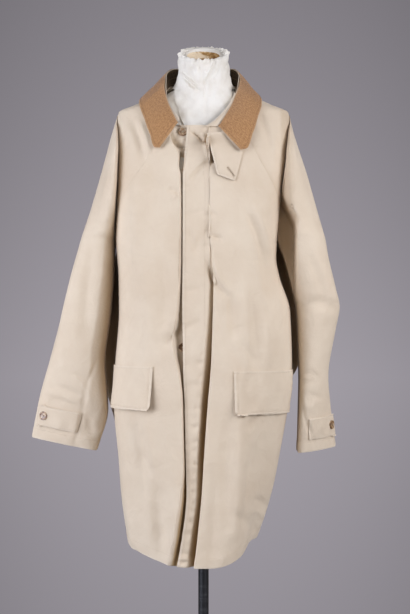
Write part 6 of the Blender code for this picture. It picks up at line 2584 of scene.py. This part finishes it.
@dataclass(frozen=True)
class StormTab(Garment):
    """The throat tab that hangs on the left chest, with its worked buttonhole.

    Attributes:
        bottom_inner: distance across, height and stand-off of its lower corner by the fly.
        bottom_outer: the same for its lower corner by the sleeve.
        top_inner: the same for its upper corner by the fly.
        top_outer: the same for its upper corner by the sleeve.
        corner: radius of its lower corners, as a share of its height.
        corner_cut: how much of it rounds off the sides.
        ripple: height of its ripple.
        ripple_turns: how far the ripple turns up it and across it.
        roll: how far its edge by the fly rolls out.
        roll_reach: how far down the roll starts.
        tip: how far its edge by the sleeve dips.
        tip_reach: shares of its width where that starts and is whole.
        edge: its stitched edges.
        row: shares of each edge where its stitches start and stop.
        hole_start: where the buttonhole starts, as shares across and up.
        hole_end: where it ends.
        hole_steps: stitches along each of its sides.
        hole_sides: how far from the slit those stitches start and end.
        steps: rows and columns of the tab.
    """

    bottom_inner: Triple = (0.0300, 1.3010, 0.0035)
    bottom_outer: Triple = (0.0702, 1.2865, 0.0012)
    top_inner: Triple = (0.0080, 1.391, 0.008)
    top_outer: Triple = (0.1000, 1.402, -0.0002)
    corner: float = 0.11
    corner_cut: float = 0.5
    ripple: float = 0.0012
    ripple_turns: Pair = (3.2, 2.1)
    roll: float = 0.0085
    roll_reach: float = 1.15
    tip: float = 0.0007
    tip_reach: Pair = (0.8, 1.0)
    edge: StitchedEdge = StitchedEdge(0.0011, 0.003, 0.0005, 0.006, 0.0013)
    row: Pair = (0.06, 0.96)
    hole_start: Pair = (0.52, 0.285)
    hole_end: Pair = (0.82, 0.13)
    hole_steps: int = 30
    hole_sides: Pair = (0.0007, 0.0030)
    steps: int = 44

    EDGES = (Edge.FIRST_COLUMN, Edge.BOTTOM)

    def surface(self) -> Surface:
        """The tab's outside, its lower corners rounded and its edges sewn."""
        up = edge_shares(self.steps)
        inside = np.clip(1 - up / self.corner, 0.0, 1.0)
        cut = self.corner * self.corner_cut * (1 - np.sqrt(1 - inside**2))
        u = cut[:, None] + (1 - 2 * cut[:, None]) * edge_shares(self.steps)
        v = np.broadcast_to(up[:, None], u.shape)
        corners = (self.bottom_inner, self.bottom_outer, self.top_inner, self.top_outer)
        weights = ((1 - u) * (1 - v), u * (1 - v), (1 - u) * v, u * v)
        across, height, off = (sum(w * c[i] for w, c in zip(weights, corners)) for i in range(3))
        base = Surface(self.form.point(self.form.angle_at(across, height), height))
        turn_up, turn_across = self.ripple_turns
        wave = self.ripple * np.sin(turn_up * v + turn_across * u) * np.sin(np.pi * u)
        wave = wave + self.roll * (1 - u) ** 2 * np.sin(np.pi * np.clip(self.roll_reach * v, 0, 1)) ** 2
        wave = wave - self.tip * ease(*self.tip_reach, u)
        grid = base.grid + base.normals * (off + ON_PANEL + DOUBLE_CLOTH + wave)[..., None]
        return Surface(grid).raised(self.edge.lift(grid, self.EDGES))

    def build(self) -> None:
        """Makes the tab, its stitching and its buttonhole."""
        tab = self.surface()
        self.hang("storm_tab", [tab], ["left_front"], DOUBLE_CLOTH)
        rows = Stitching().follow(tab, self.EDGES, self.edge.inset, *self.row)
        self.work_hole(tab, rows)
        self.sew("storm_tab", rows)

    def work_hole(self, tab: Surface, rows: Stitching) -> None:
        """Works close stitches round the slanted buttonhole, and lays dark brown thread along its slit as
        painted shade for the gap.

        Args:
            tab: the tab's surface.
            rows: the stitching to add to.
        """
        places = np.linspace(self.hole_start, self.hole_end, self.hole_steps)
        middle, normals = tab.at(places[:, 0], places[:, 1])
        side = unit(np.cross(normals, np.gradient(middle, axis=0)))
        near, far = self.hole_sides
        for sign in (-1, 1):
            rows.add(middle + side * sign * near, middle + side * sign * far, normals)
        # painted shade: dark brown thread along the slit stands in for the shadow in the cut
        slit = Stitching()
        slit.add(middle[:-1], middle[1:], normals[:-1])
        self.sew("storm_tab_slit_shade", slit, brown=True)


@dataclass(frozen=True)
class FormNeck:
    """The dress form's wrapped paper neck and its rough hollow top.

    Attributes:
        finishes: the part's materials.
        slant: how far the neck's top slants to the front, in degrees.
        slant_start: height where the slant starts.
        top: height of the neck's top at its middle.
        paper: the paper's thickness.
        off: how far the wrap lies off the form.
        low: height of the wrap's lower edge at the sides and back.
        bib: how much lower it reaches in front.
        bib_angles: degrees from the front where that starts and is whole.
        tear: height of the torn rim's unevenness.
        tear_waves: how many times each of its waves goes round.
        tear_phase: the most that a wave is shifted.
        tear_rough: how ragged it is between them.
        tear_most: the most that the rim flares, in tears.
        tear_rows: shares of the wrap's height where the flare starts and is whole.
        tear_seed: sets the tear.
        crease_facing: how far the paper has to face the front for its creases to start and be whole.
        swell: height of its slow swell, and how much shorter that is than the coat's.
        swell_seed: sets the swell.
        crinkle: height of its crinkles near the top.
        crinkle_waves: the shortest crinkle and the longest.
        crinkle_heights: heights where they start and are whole.
        crinkle_seed: sets the crinkles.
        strength: how strongly all of its relief shows.
        press: share of its gap to the form that the relief may take up.
        hole: the hollow's size as a share of the rim's.
        hole_stretch: how much deeper than wide it is.
        hole_shift: how far it lies across and back from the middle.
        hole_tears: heights of two tears of the paper round it, as shares of the rim's size.
        hole_waves: how many times the waves of those tears go round.
        cap_edge: how far below the rim the paper's fold into the hollow lies.
        cap_inner: size of the paper's inner end as a share of that fold's, and how far below the rim it lies.
        cap_round: how far the paper rounds over the rim.
        cap_rows: rows from the rim to the fold.
        recess: depth of the hollow.
        recess_taper: how much narrower its floor is.
        core_wall: shares of its radius where its wall starts and ends.
        core_inside: how far inside the paper it lies, as a share of the hollow's size.
        core_floor: how far its floor lies above the recess.
        core_rough: how uneven its floor is.
        core_rim: how far below the rim its wall ends.
        core_seed: sets its unevenness.
        core_rings: rings of faces in it, and each one's width.
        core_sides: points round it.
        columns: columns round the wrap.
        rows: rows up the wrap.
        form: half width, depths and squareness of the form at each height.
        creases: the wrap's creases.
    """

    finishes: Finishes
    slant: float = 25.0
    slant_start: float = 1.530
    top: float = 1.590
    paper: float = 0.0006
    off: float = 0.0026
    low: float = 1.505
    bib: float = 0.105
    bib_angles: Pair = (75.0, 15.0)
    tear: float = 0.0016
    tear_waves: tuple[int, ...] = (3, 5, 9, 14, 23, 31)
    tear_phase: float = 6.3
    tear_rough: float = 0.9
    tear_most: float = 3.0
    tear_rows: Pair = (0.93, 1.0)
    tear_seed: int = 8
    crease_facing: Pair = (0.0, 0.4)
    swell: Pair = (0.0006, 2.5)
    swell_seed: int = 31
    crinkle: float = 0.0008
    crinkle_waves: Pair = (0.012, 0.040)
    crinkle_heights: Pair = (1.470, 1.525)
    crinkle_seed: int = 33
    strength: float = 2.0
    press: float = 0.8
    hole: float = 0.82
    hole_stretch: float = 1.15
    hole_shift: Pair = (0.0008, -0.0026)
    hole_tears: Pair = (0.035, 0.02)
    hole_waves: tuple[int, int, int] = (5, 3, 13)
    cap_edge: float = -0.0010
    cap_inner: Pair = (0.95, 0.0070)
    cap_round: float = 0.0018
    cap_rows: int = 9
    recess: float = 0.022
    recess_taper: float = 0.12
    core_wall: Pair = (0.72, 1.0)
    core_inside: float = 0.99
    core_floor: float = 0.004
    core_rough: float = 0.0030
    core_rim: float = 0.0030
    core_seed: int = 12
    core_rings: tuple[int, float] = (9, 0.1)
    core_sides: int = 56
    columns: int = 200
    rows: int = 90
    form: SizeTable = SizeTable(
        "half front back square",
        (1.280, 0.156, 0.110, 0.098, 2.4),
        (1.360, 0.164, 0.096, 0.094, 2.4),
        (1.420, 0.170, 0.074, 0.082, 2.3),
        (1.445, 0.172, 0.064, 0.070, 2.0),
        (1.462, 0.168, 0.058, 0.064, 1.7),
        (1.490, 0.104, 0.056, 0.062, 1.5),
        (1.506, 0.071, 0.056, 0.060, 1.6),
        (1.520, 0.0610, 0.057, 0.060, 1.8),
        (1.545, 0.0550, 0.057, 0.060, 2.0),
        (1.600, 0.0515, 0.055, 0.060, 2.0),
    )
    creases: tuple[Crease, ...] = (
        Crease((-0.046, 1.545), (-0.010, 1.512), 0.0026, -0.0016, -0.002),
        Crease((-0.044, 1.538), (-0.008, 1.504), 0.0024, 0.0012, -0.002),
        Crease((-0.042, 1.531), (-0.010, 1.499), 0.0024, -0.0014, -0.002),
        Crease((-0.040, 1.522), (-0.012, 1.492), 0.0022, 0.0010, -0.002),
        Crease((0.026, 1.566), (0.008, 1.520), 0.0026, -0.0018, 0.002),
        Crease((0.020, 1.566), (0.004, 1.524), 0.0022, 0.0014, 0.002),
        Crease((0.036, 1.556), (0.014, 1.522), 0.0026, -0.0014, 0.003),
        Crease((0.004, 1.520), (0.006, 1.440), 0.0030, -0.0014, 0.001),
        Crease((-0.020, 1.574), (-0.002, 1.530), 0.0030, -0.0010, 0.002),
        Crease((-0.052, 1.500), (-0.020, 1.470), 0.0050, -0.0012, -0.003),
        Crease((0.050, 1.520), (0.030, 1.480), 0.0050, -0.0012, 0.003),
    )

    @property
    def steepness(self) -> float:
        """How far the slanted top rises for each metre back."""
        return math.tan(math.radians(self.slant))

    def skin(self, angle: Array, height: Array) -> Array:
        """Points of the form's own surface.

        Args:
            angle: angles from the front.
            height: heights, before the slant.

        Returns:
            A point for each of them.
        """
        depth = np.where(np.cos(angle) > 0, self.form("front", height), self.form("back", height))
        radius = oval(angle, self.form("half", height), depth, self.form("square", height))
        y = -radius * np.cos(angle)
        slant = self.steepness * ease(self.slant_start, self.top, height)
        return np.stack([radius * np.sin(angle), y, height + slant * y], axis=-1)

    def torn(self, angle: Array) -> Array:
        """The torn rim's unevenness.

        Args:
            angle: angles once round the neck.

        Returns:
            How far up or down the rim is torn at each of them, in tears.
        """
        chance = np.random.default_rng(self.tear_seed)
        total = np.zeros_like(angle)
        for waves in self.tear_waves:
            total += np.sin(waves * angle + chance.uniform(0, self.tear_phase)) / math.sqrt(waves)
        total = total + self.tear_rough * chance.normal(size=len(angle))
        total[-1] = total[0]
        return total

    def wrap(self) -> Surface:
        """The paper wrap, from the chest up to the torn rim."""
        angle = np.linspace(0, FULL_TURN, self.columns + 1)
        torn = self.torn(angle)
        turned = np.abs(np.degrees(np.arctan2(np.sin(angle), np.cos(angle))))
        low = self.low - self.bib * ease(*self.bib_angles, turned)
        up = np.linspace(0, 1, self.rows + 1)[:, None]
        heights = low + (self.top + self.tear * torn - low) * up
        base = Surface(self.skin(angle[None, :] + 0 * heights, heights))
        lift = sum(c.lift(base.grid) for c in self.creases)
        lift = lift * ease(*self.crease_facing, -base.normals[..., 1])
        swell, scale = self.swell
        lift = lift + swell * Relief((), seed=self.swell_seed).slow_swell(base.grid * scale)
        crinkles = np.abs(Relief(()).waves(base.grid, self.crinkle_waves, self.crinkle_seed))
        lift = lift + self.crinkle * ease(*self.crinkle_heights, heights) * crinkles
        lift = np.maximum(self.strength * lift, -self.off * self.press) + self.off + self.paper
        lift = lift + self.tear * np.clip(torn, 0, self.tear_most) * ease(*self.tear_rows, up)
        lift[:, -1] = lift[:, 0]
        return base.raised(lift)

    def hollow(self, ring: Array, share: float | Array, drop: float) -> Array:
        """A ring round the hollow in the neck's top.

        Args:
            ring: the neck's rim.
            share: its size as a share of the rim's.
            drop: how far below the rim it lies.

        Returns:
            The ring's points.
        """
        middle = ring.mean(axis=0)
        across, back = self.hole_shift
        shift = np.array([across, back, back * self.steepness - drop])
        out = (ring - middle) * np.array([1.0, self.hole_stretch, self.hole_stretch])
        return middle + shift + out * np.reshape(share, (-1, 1))

    def cap(self, rim: Array) -> Surface:
        """The paper folded over the rim and torn round the hollow.

        Args:
            rim: the wrap's top row of points.

        Returns:
            Its surface, from the rim into the hollow.
        """
        turn = np.linspace(0, FULL_TURN, len(rim))
        (broad, fine), (first, second, third) = self.hole_tears, self.hole_waves
        share = self.hole + broad * np.sin(first * turn + 1) * np.sin(second * turn)
        share = share + fine * np.sin(third * turn + 2)
        edge = self.hollow(rim, share, self.cap_edge)
        smaller, drop = self.cap_inner
        inner = self.hollow(rim, share * smaller, drop)
        w = np.linspace(0, 1, self.cap_rows)[:, None, None]
        over = rim[None] * (1 - w) + edge[None] * w
        over[..., 2] += self.cap_round * np.sin(np.pi * w[..., 0])
        grid = np.concatenate([over, (edge[None] + inner[None]) / 2, inner[None]])
        grid[:, -1] = grid[:, 0]
        return Surface(grid)

    def core(self) -> Object:
        """The rough tan floor and wall of the neck's hollow top, modelled from a disc."""
        bpy.ops.object.select_all(action="DESELECT")
        bpy.ops.mesh.primitive_circle_add(vertices=self.core_sides, radius=1.0, fill_type="NGON")
        piece = bpy.context.object
        piece.name = "neck_core"
        bpy.ops.object.mode_set(mode="EDIT")
        bpy.ops.mesh.select_all(action="SELECT")
        rings, width = self.core_rings
        for _ in range(rings):
            bpy.ops.mesh.inset(thickness=width, depth=0.0)
        bpy.ops.object.mode_set(mode="OBJECT")
        angles = np.linspace(0, FULL_TURN, self.core_sides + 1)
        rim = self.skin(angles, np.full_like(angles, self.top))[:-1]
        chance = np.random.default_rng(self.core_seed)
        for vertex in piece.data.vertices:
            radius = math.hypot(vertex.co.x, vertex.co.y)
            angle = math.atan2(vertex.co.x, -vertex.co.y) % FULL_TURN
            wall = float(ease(*self.core_wall, radius))
            share = self.hole * self.core_inside * radius * (1 - self.recess_taper * (1 - wall))
            floor = self.recess - self.core_floor - self.core_rough * chance.uniform()
            ring = self.hollow(rim, share, floor * (1 - wall) + self.core_rim)
            vertex.co = Vector([np.interp(angle, angles, np.append(c, c[0])) for c in ring.T])
        piece.data.materials.append(self.finishes.core)
        bpy.ops.object.shade_smooth()
        return piece

    def build(self) -> None:
        """Makes the wrap and the core, and papers the form below."""
        wrap = self.wrap()
        piece = Shell([wrap, self.cap(wrap.grid[-1])]).build("neck_wrap", self.paper, self.finishes.paper)
        lay_flat(adopt(piece, Slot.PAPER), [wrap])
        adopt(self.core(), Slot.PAPER)
        paint("dress_form", self.finishes.paper)


@dataclass(frozen=True)
class ButtonSet:
    """The horn buttons: one modelled, and a copy for each place.

    Attributes:
        form: the shape that the coat hangs in.
        fly: sizes of the middle front.
        finishes: the part's materials.
        radius: a button's radius.
        thick: its thickness.
        rim: width of its flat rim.
        dish: depth of its dish.
        dish_slope: how wide the dish's slope is, in rims.
        roll: radius of its rolled edges.
        roll_steps: faces across each.
        sharp: least angle that is rolled, in degrees.
        smooth: most angle that is shaded smooth, in degrees.
        hole: radius of its thread holes.
        hole_out: how far they lie from its middle.
        hole_turns: their turns about its middle, in degrees.
        drill_depth: how deep they are drilled, in thicknesses.
        sides: points round it, and round each hole.
        thread_apart: how far each of two threads lies from the line between its holes.
        spin: how far the first button is turned, and each one more than the last, in degrees.
        on_front: each front button's node, distance across, height and stand-off.
        on_cuffs: each cuff button's node, whether it is on the sleeve's front, its turn round the sleeve in
            degrees, its height and its stand-off.
    """

    form: CoatForm
    fly: FlyFront
    finishes: Finishes
    radius: float = 0.0100
    thick: float = 0.0040
    rim: float = 0.0022
    dish: float = 0.0010
    dish_slope: float = 0.4
    roll: float = 0.0009
    roll_steps: int = 4
    sharp: float = 30.0
    smooth: float = 35.0
    hole: float = 0.0009
    hole_out: float = 0.0024
    hole_turns: tuple[int, ...] = (45, 135, 225, 315)
    drill_depth: float = 3.0
    sides: tuple[int, int] = (48, 14)
    thread_apart: float = 0.0003
    spin: Pair = (17.0, 41.0)
    on_front: tuple[tuple[str, float, float, float], ...] = (
        ("throat_button", -0.0460, 1.400, -0.0001),
        ("front_button", -0.0450, 0.920, ON_PANEL),
    )
    on_cuffs: tuple[tuple[str, bool, float, float, float], ...] = (
        ("right_cuff_button", True, 138, 0.751, ON_STRAP),
        ("right_cuff_spare_button", False, 160, 0.742, ON_SLEEVE),
        ("left_cuff_button", True, 146, 0.738, ON_STRAP),
        ("left_cuff_spare_button", False, 140, 0.738, ON_SLEEVE),
    )

    def cylinder(
        self, sides: int, radius: float, depth: float, across: float = 0.0, up: float = 0.0
    ) -> Object:
        """An upright cylinder about the middle of a button's thickness.

        Args:
            sides: points round it.
            radius: its radius.
            depth: its height.
            across: its place on the button's face.
            up: its place the other way.

        Returns:
            The new object, which is the active one.
        """
        bpy.ops.object.select_all(action="DESELECT")
        place = (across, up, self.thick / 2)
        bpy.ops.mesh.primitive_cylinder_add(vertices=sides, radius=radius, depth=depth, location=place)
        return bpy.context.object

    def pattern(self) -> Object:
        """One button at the origin, facing up: a disc with a rolled rim, a dish and four holes."""
        piece = self.cylinder(self.sides[0], self.radius, self.thick)
        bpy.ops.object.mode_set(mode="EDIT")
        bpy.ops.mesh.select_all(action="DESELECT")
        bpy.ops.object.mode_set(mode="OBJECT")
        top = max(piece.data.polygons, key=lambda face: face.normal.z)
        top.select = True
        bpy.ops.object.mode_set(mode="EDIT")
        bpy.ops.mesh.select_mode(type="FACE")
        bpy.ops.mesh.inset(thickness=self.rim, depth=0.0)
        bpy.ops.mesh.inset(thickness=self.rim * self.dish_slope, depth=-self.dish)
        bpy.ops.object.mode_set(mode="OBJECT")
        bevel = piece.modifiers.new("rolled", "BEVEL")
        bevel.width = self.roll
        bevel.segments = self.roll_steps
        bevel.limit_method = "ANGLE"
        bevel.angle_limit = math.radians(self.sharp)
        bpy.ops.object.modifier_apply(modifier=bevel.name)
        for degrees in self.hole_turns:
            angle = math.radians(degrees)
            self.drill(piece, self.hole_out * math.cos(angle), self.hole_out * math.sin(angle))
        piece.select_set(True)
        bpy.ops.object.shade_smooth_by_angle(angle=math.radians(self.smooth))
        piece.data.materials.append(self.finishes.horn)
        return piece

    def drill(self, piece: Object, across: float, up: float) -> None:
        """Cuts one thread hole through a button.

        Args:
            piece: the button.
            across: the hole's place on its face.
            up: the hole's place the other way.
        """
        drill = self.cylinder(self.sides[1], self.hole, self.thick * self.drill_depth, across, up)
        cut = piece.modifiers.new("hole", "BOOLEAN")
        cut.operation = "DIFFERENCE"
        cut.object = drill
        bpy.context.view_layer.objects.active = piece
        bpy.ops.object.modifier_apply(modifier=cut.name)
        bpy.data.objects.remove(drill, do_unlink=True)

    def beside_fly(self, across: float, height: float, off: float) -> tuple[Array, Array]:
        """A place on the right front beside or under the fly.

        Args:
            across: its distance across.
            height: its height.
            off: how far it is moved off the cloth.

        Returns:
            The place, and the direction that the cloth faces there.
        """
        places = np.array([(across, height), (across + PROBE, height), (across, height + PROBE)])
        points = self.form.point(self.form.angle_at(places[:, 0], places[:, 1]), places[:, 1])
        points[:, 1] += self.fly.right_depth(places[:, 0], places[:, 1])
        outward = unit(np.cross(points[1] - points[0], points[2] - points[0]))
        return points[0] + outward * off, outward

    @staticmethod
    def on_sleeve(
        sleeve: Sleeve, front: bool, degrees: float, height: float, off: float
    ) -> tuple[Array, Array]:
        """A place on a sleeve.

        Args:
            sleeve: the sleeve.
            front: whether it is on the sleeve's front.
            degrees: its turn round the sleeve.
            height: its height.
            off: how far it is moved off the cloth.

        Returns:
            The place, and the direction that the cloth faces there.
        """
        turn = math.radians(degrees)
        place = sleeve.tube_points(front, turn, height)
        along = sleeve.tube_points(front, turn + PROBE, height) - place
        up = sleeve.tube_points(front, turn, height + PROBE) - place
        outward = unit(np.cross(along, up)) * (sleeve.sizes.side if front else -sleeve.sizes.side)
        return place + outward * off, outward

    def sew_on(self, pattern: Object, node: str, place: Array, outward: Array, spin: float) -> None:
        """Copies the button to its place, with crossed threads through its holes.

        Args:
            pattern: the modelled button.
            node: the solid that the copy stands for.
            place: where its back sits.
            outward: the way its face looks.
            spin: how far it is turned about its middle, in degrees.
        """
        turn = Vector((0, 0, 1)).rotation_difference(Vector(outward)).to_matrix().to_4x4()
        spun = Matrix.Translation(Vector(place)) @ turn @ Matrix.Rotation(math.radians(spin), 4, "Z")
        mesh = pattern.data.copy()
        mesh.transform(spun)
        adopt(new_object(node + "_horn", mesh, self.finishes.horn), Slot.HORN, node)
        reach = self.hole_out * math.sqrt(0.5)
        top = self.thick - self.dish
        ends = [Vector((x, y, top)) for x, y in ((-reach, -reach), (-reach, reach))]
        first = np.array([spun @ end for end in ends])
        last = np.array([spun @ Vector((-end.x, -end.y, end.z)) for end in ends])
        up = np.tile(outward, (2, 1))
        threads = Stitching()
        for shift in (-self.thread_apart, self.thread_apart):
            side = unit(np.cross(up, last - first)) * shift
            threads.add(first + side, last + side, up)
        adopt(threads.build(node + "_thread", self.finishes.thread), Slot.COTTON)

    def build(self, right: Sleeve, left: Sleeve) -> None:
        """Makes every button.

        Args:
            right: the right sleeve.
            left: the left sleeve.
        """
        places = {node: self.beside_fly(*place) for node, *place in self.on_front}
        for node, *place in self.on_cuffs:
            places[node] = self.on_sleeve(right if node.startswith("right") else left, *place)
        pattern = self.pattern()
        first, more = self.spin
        for count, (node, (place, outward)) in enumerate(places.items()):
            self.sew_on(pattern, node, place, outward, first + more * count)
        bpy.data.objects.remove(pattern, do_unlink=True)


@dataclass(frozen=True)
class Stand:
    """The pole and the base, which keep their solids and get their paint.

    Attributes:
        finishes: the part's materials.
        solids: the two solids.
    """

    finishes: Finishes
    solids: tuple[str, str] = ("stand_pole", "stand_base")

    def dress(self) -> None:
        """Paints the pole and the base."""
        for solid in self.solids:
            paint(solid, self.finishes.metal)


@dataclass(frozen=True)
class AreaLight:
    """One soft round studio light.

    Attributes:
        name: the light's name.
        place: where it stands.
        target: what it points at.
        size: its width.
        power: its power in watts.
        colour: its colour.
    """

    name: str
    place: Triple
    target: Triple
    size: float
    power: float
    colour: Colour

    def build(self) -> None:
        """Puts the light in the scene."""
        light = bpy.data.lights.new(self.name, "AREA")
        light.shape = "DISK"
        light.size = self.size
        light.energy = self.power
        light.color = self.colour
        lamp = bpy.data.objects.new(self.name, light)
        lamp.location = self.place
        lamp.rotation_euler = (Vector(self.target) - Vector(self.place)).to_track_quat("-Z", "Y").to_euler()
        bpy.context.scene.collection.objects.link(lamp)


COOL = (0.795, 0.843, 1.0)
COOLER = (0.780, 0.848, 1.05)


@dataclass(frozen=True)
class Studio:
    """The camera at the photograph's place, soft lights, a grey backdrop and a pale floor.

    Attributes:
        eye: where the camera stands.
        lens: its focal length in millimetres.
        sensor: its sensor's height in millimetres.
        greys: the backdrop's greys, from the lowest to the highest, each with its place between them.
        tint: the backdrop's colour beside its grey.
        wall: how far down and up the backdrop's greys reach, as slopes of the view.
        fade_reach: how far to each side the backdrop darkens, as a slope of the view.
        fade: how much is left of it there.
        room: the warm room's colour, round the coat's other sides.
        room_start: how far towards the backdrop the view has to turn for the room to start and be whole.
        floor_radius: how far the floor reaches.
        floor_drop: how far it lies below the stand.
        floor_sides: points round it.
        lights: the soft lights.
    """

    eye: Triple = (0.0035, -3.2, 1.009)
    lens: float = 81.6
    sensor: float = 36.0
    greys: tuple[Pair, ...] = ((0.0, 0.285), (0.40, 0.384), (1.0, 0.216))
    tint: Colour = (1.0, 0.935, 1.035)
    wall: Pair = (-0.25, 0.25)
    fade_reach: float = 0.15
    fade: float = 0.80
    room: Colour = (0.085, 0.068, 0.046)
    room_start: Pair = (0.93, 0.75)
    floor_radius: float = 1.3
    floor_drop: float = 0.0005
    floor_sides: int = 96
    lights: tuple[AreaLight, ...] = (
        AreaLight("left_low", (-1.7, -1.3, 0.9), (0.0, 0.0, 1.0), 1.3, 29.0, COOLER),
        AreaLight("left_high", (-1.5, -1.6, 1.9), (0.0, 0.0, 1.05), 1.4, 19.2, COOLER),
        AreaLight("right", (1.7, -1.4, 1.4), (0.0, 0.0, 1.02), 1.4, 40.5, COOL),
        AreaLight("front", (0.0, -3.2, 2.6), (0.0, 0.0, 1.05), 2.0, 8.6, COOL),
        AreaLight("top", (0.0, -0.7, 3.3), (0.0, 0.0, 1.2), 2.2, 11.0, COOL),
        AreaLight("right_side", (1.9, -0.8, 1.9), (0.25, 0.0, 1.15), 1.2, 13.0, COOL),
        AreaLight("left_side", (-2.1, -0.6, 1.10), (-0.30, 0.0, 0.85), 1.2, 13.5, COOLER),
    )

    def camera(self) -> None:
        """Makes the scene's camera."""
        data = bpy.data.cameras.new("photo_camera")
        data.sensor_fit = "VERTICAL"
        data.sensor_height = self.sensor
        data.lens = self.lens
        camera = bpy.data.objects.new("photo_camera", data)
        camera.location = self.eye
        camera.rotation_euler = (math.pi / 2, 0.0, 0.0)
        bpy.context.scene.collection.objects.link(camera)
        bpy.context.scene.camera = camera

    def backdrop(self) -> None:
        """Makes the grey backdrop, palest behind the coat, and the warm room that faces it."""
        graph = NodeGraph("grey_backdrop", world=True)
        across, back, up = graph.parts(graph.node("TexCoord").outputs["Generated"])
        stops = [(place, [grey * share for share in self.tint]) for place, grey in self.greys]
        wall = graph.ramp(graph.between(up, *self.wall), *stops)
        aside = graph.math("MULTIPLY", across, across)
        fade = graph.between(aside, 0.0, self.fade_reach**2, 1.0, self.fade)
        wall = graph.node("VectorMath", {0: wall, "Scale": fade}, operation="SCALE").outputs[0]
        graph.feed(graph.mix(graph.between(back, *self.room_start), wall, self.room), "Color")
        bpy.context.scene.world = graph.owner

    def floor(self) -> None:
        """Makes the pale floor under the stand."""
        bpy.ops.object.select_all(action="DESELECT")
        bpy.ops.mesh.primitive_circle_add(
            vertices=self.floor_sides,
            radius=self.floor_radius,
            fill_type="NGON",
            location=(0, 0, -self.floor_drop),
        )
        floor = bpy.context.object
        floor.name = "floor"
        bpy.ops.object.transform_apply(location=True)
        floor.data.materials.append(FloorFinish().material())

    def build(self) -> None:
        """Sets up the whole studio."""
        self.camera()
        self.backdrop()
        self.floor()
        for light in self.lights:
            light.build()
        bpy.context.scene.view_settings.view_transform = "Standard"


def main() -> None:
    """Builds the studio and every sub-assembly in order."""
    logging.basicConfig(level=logging.INFO, format="%(name)s: %(message)s")
    Studio().build()
    finishes = Finishes()
    form = CoatForm()
    fronts = Fronts(form, finishes)
    fronts.build()
    Back(form, finishes).build()
    right, left = (Sleeve(form, finishes, sizes=sizes) for sizes in (RIGHT_SLEEVE, LEFT_SLEEVE))
    right.build()
    left.build()
    Collar(form, finishes).build()
    StormTab(form, finishes).build()
    PocketFlap(form, finishes).build()
    PocketFlap(
        form, finishes, word="left", side=1, inner_across=0.0645, top=0.868, lifts=(0.006, 0.004)
    ).build()
    ButtonSet(form, fronts.fly, finishes).build(right, left)
    FormNeck(finishes).build()
    Stand(finishes).dress()


if __name__ == "__main__":
    main()
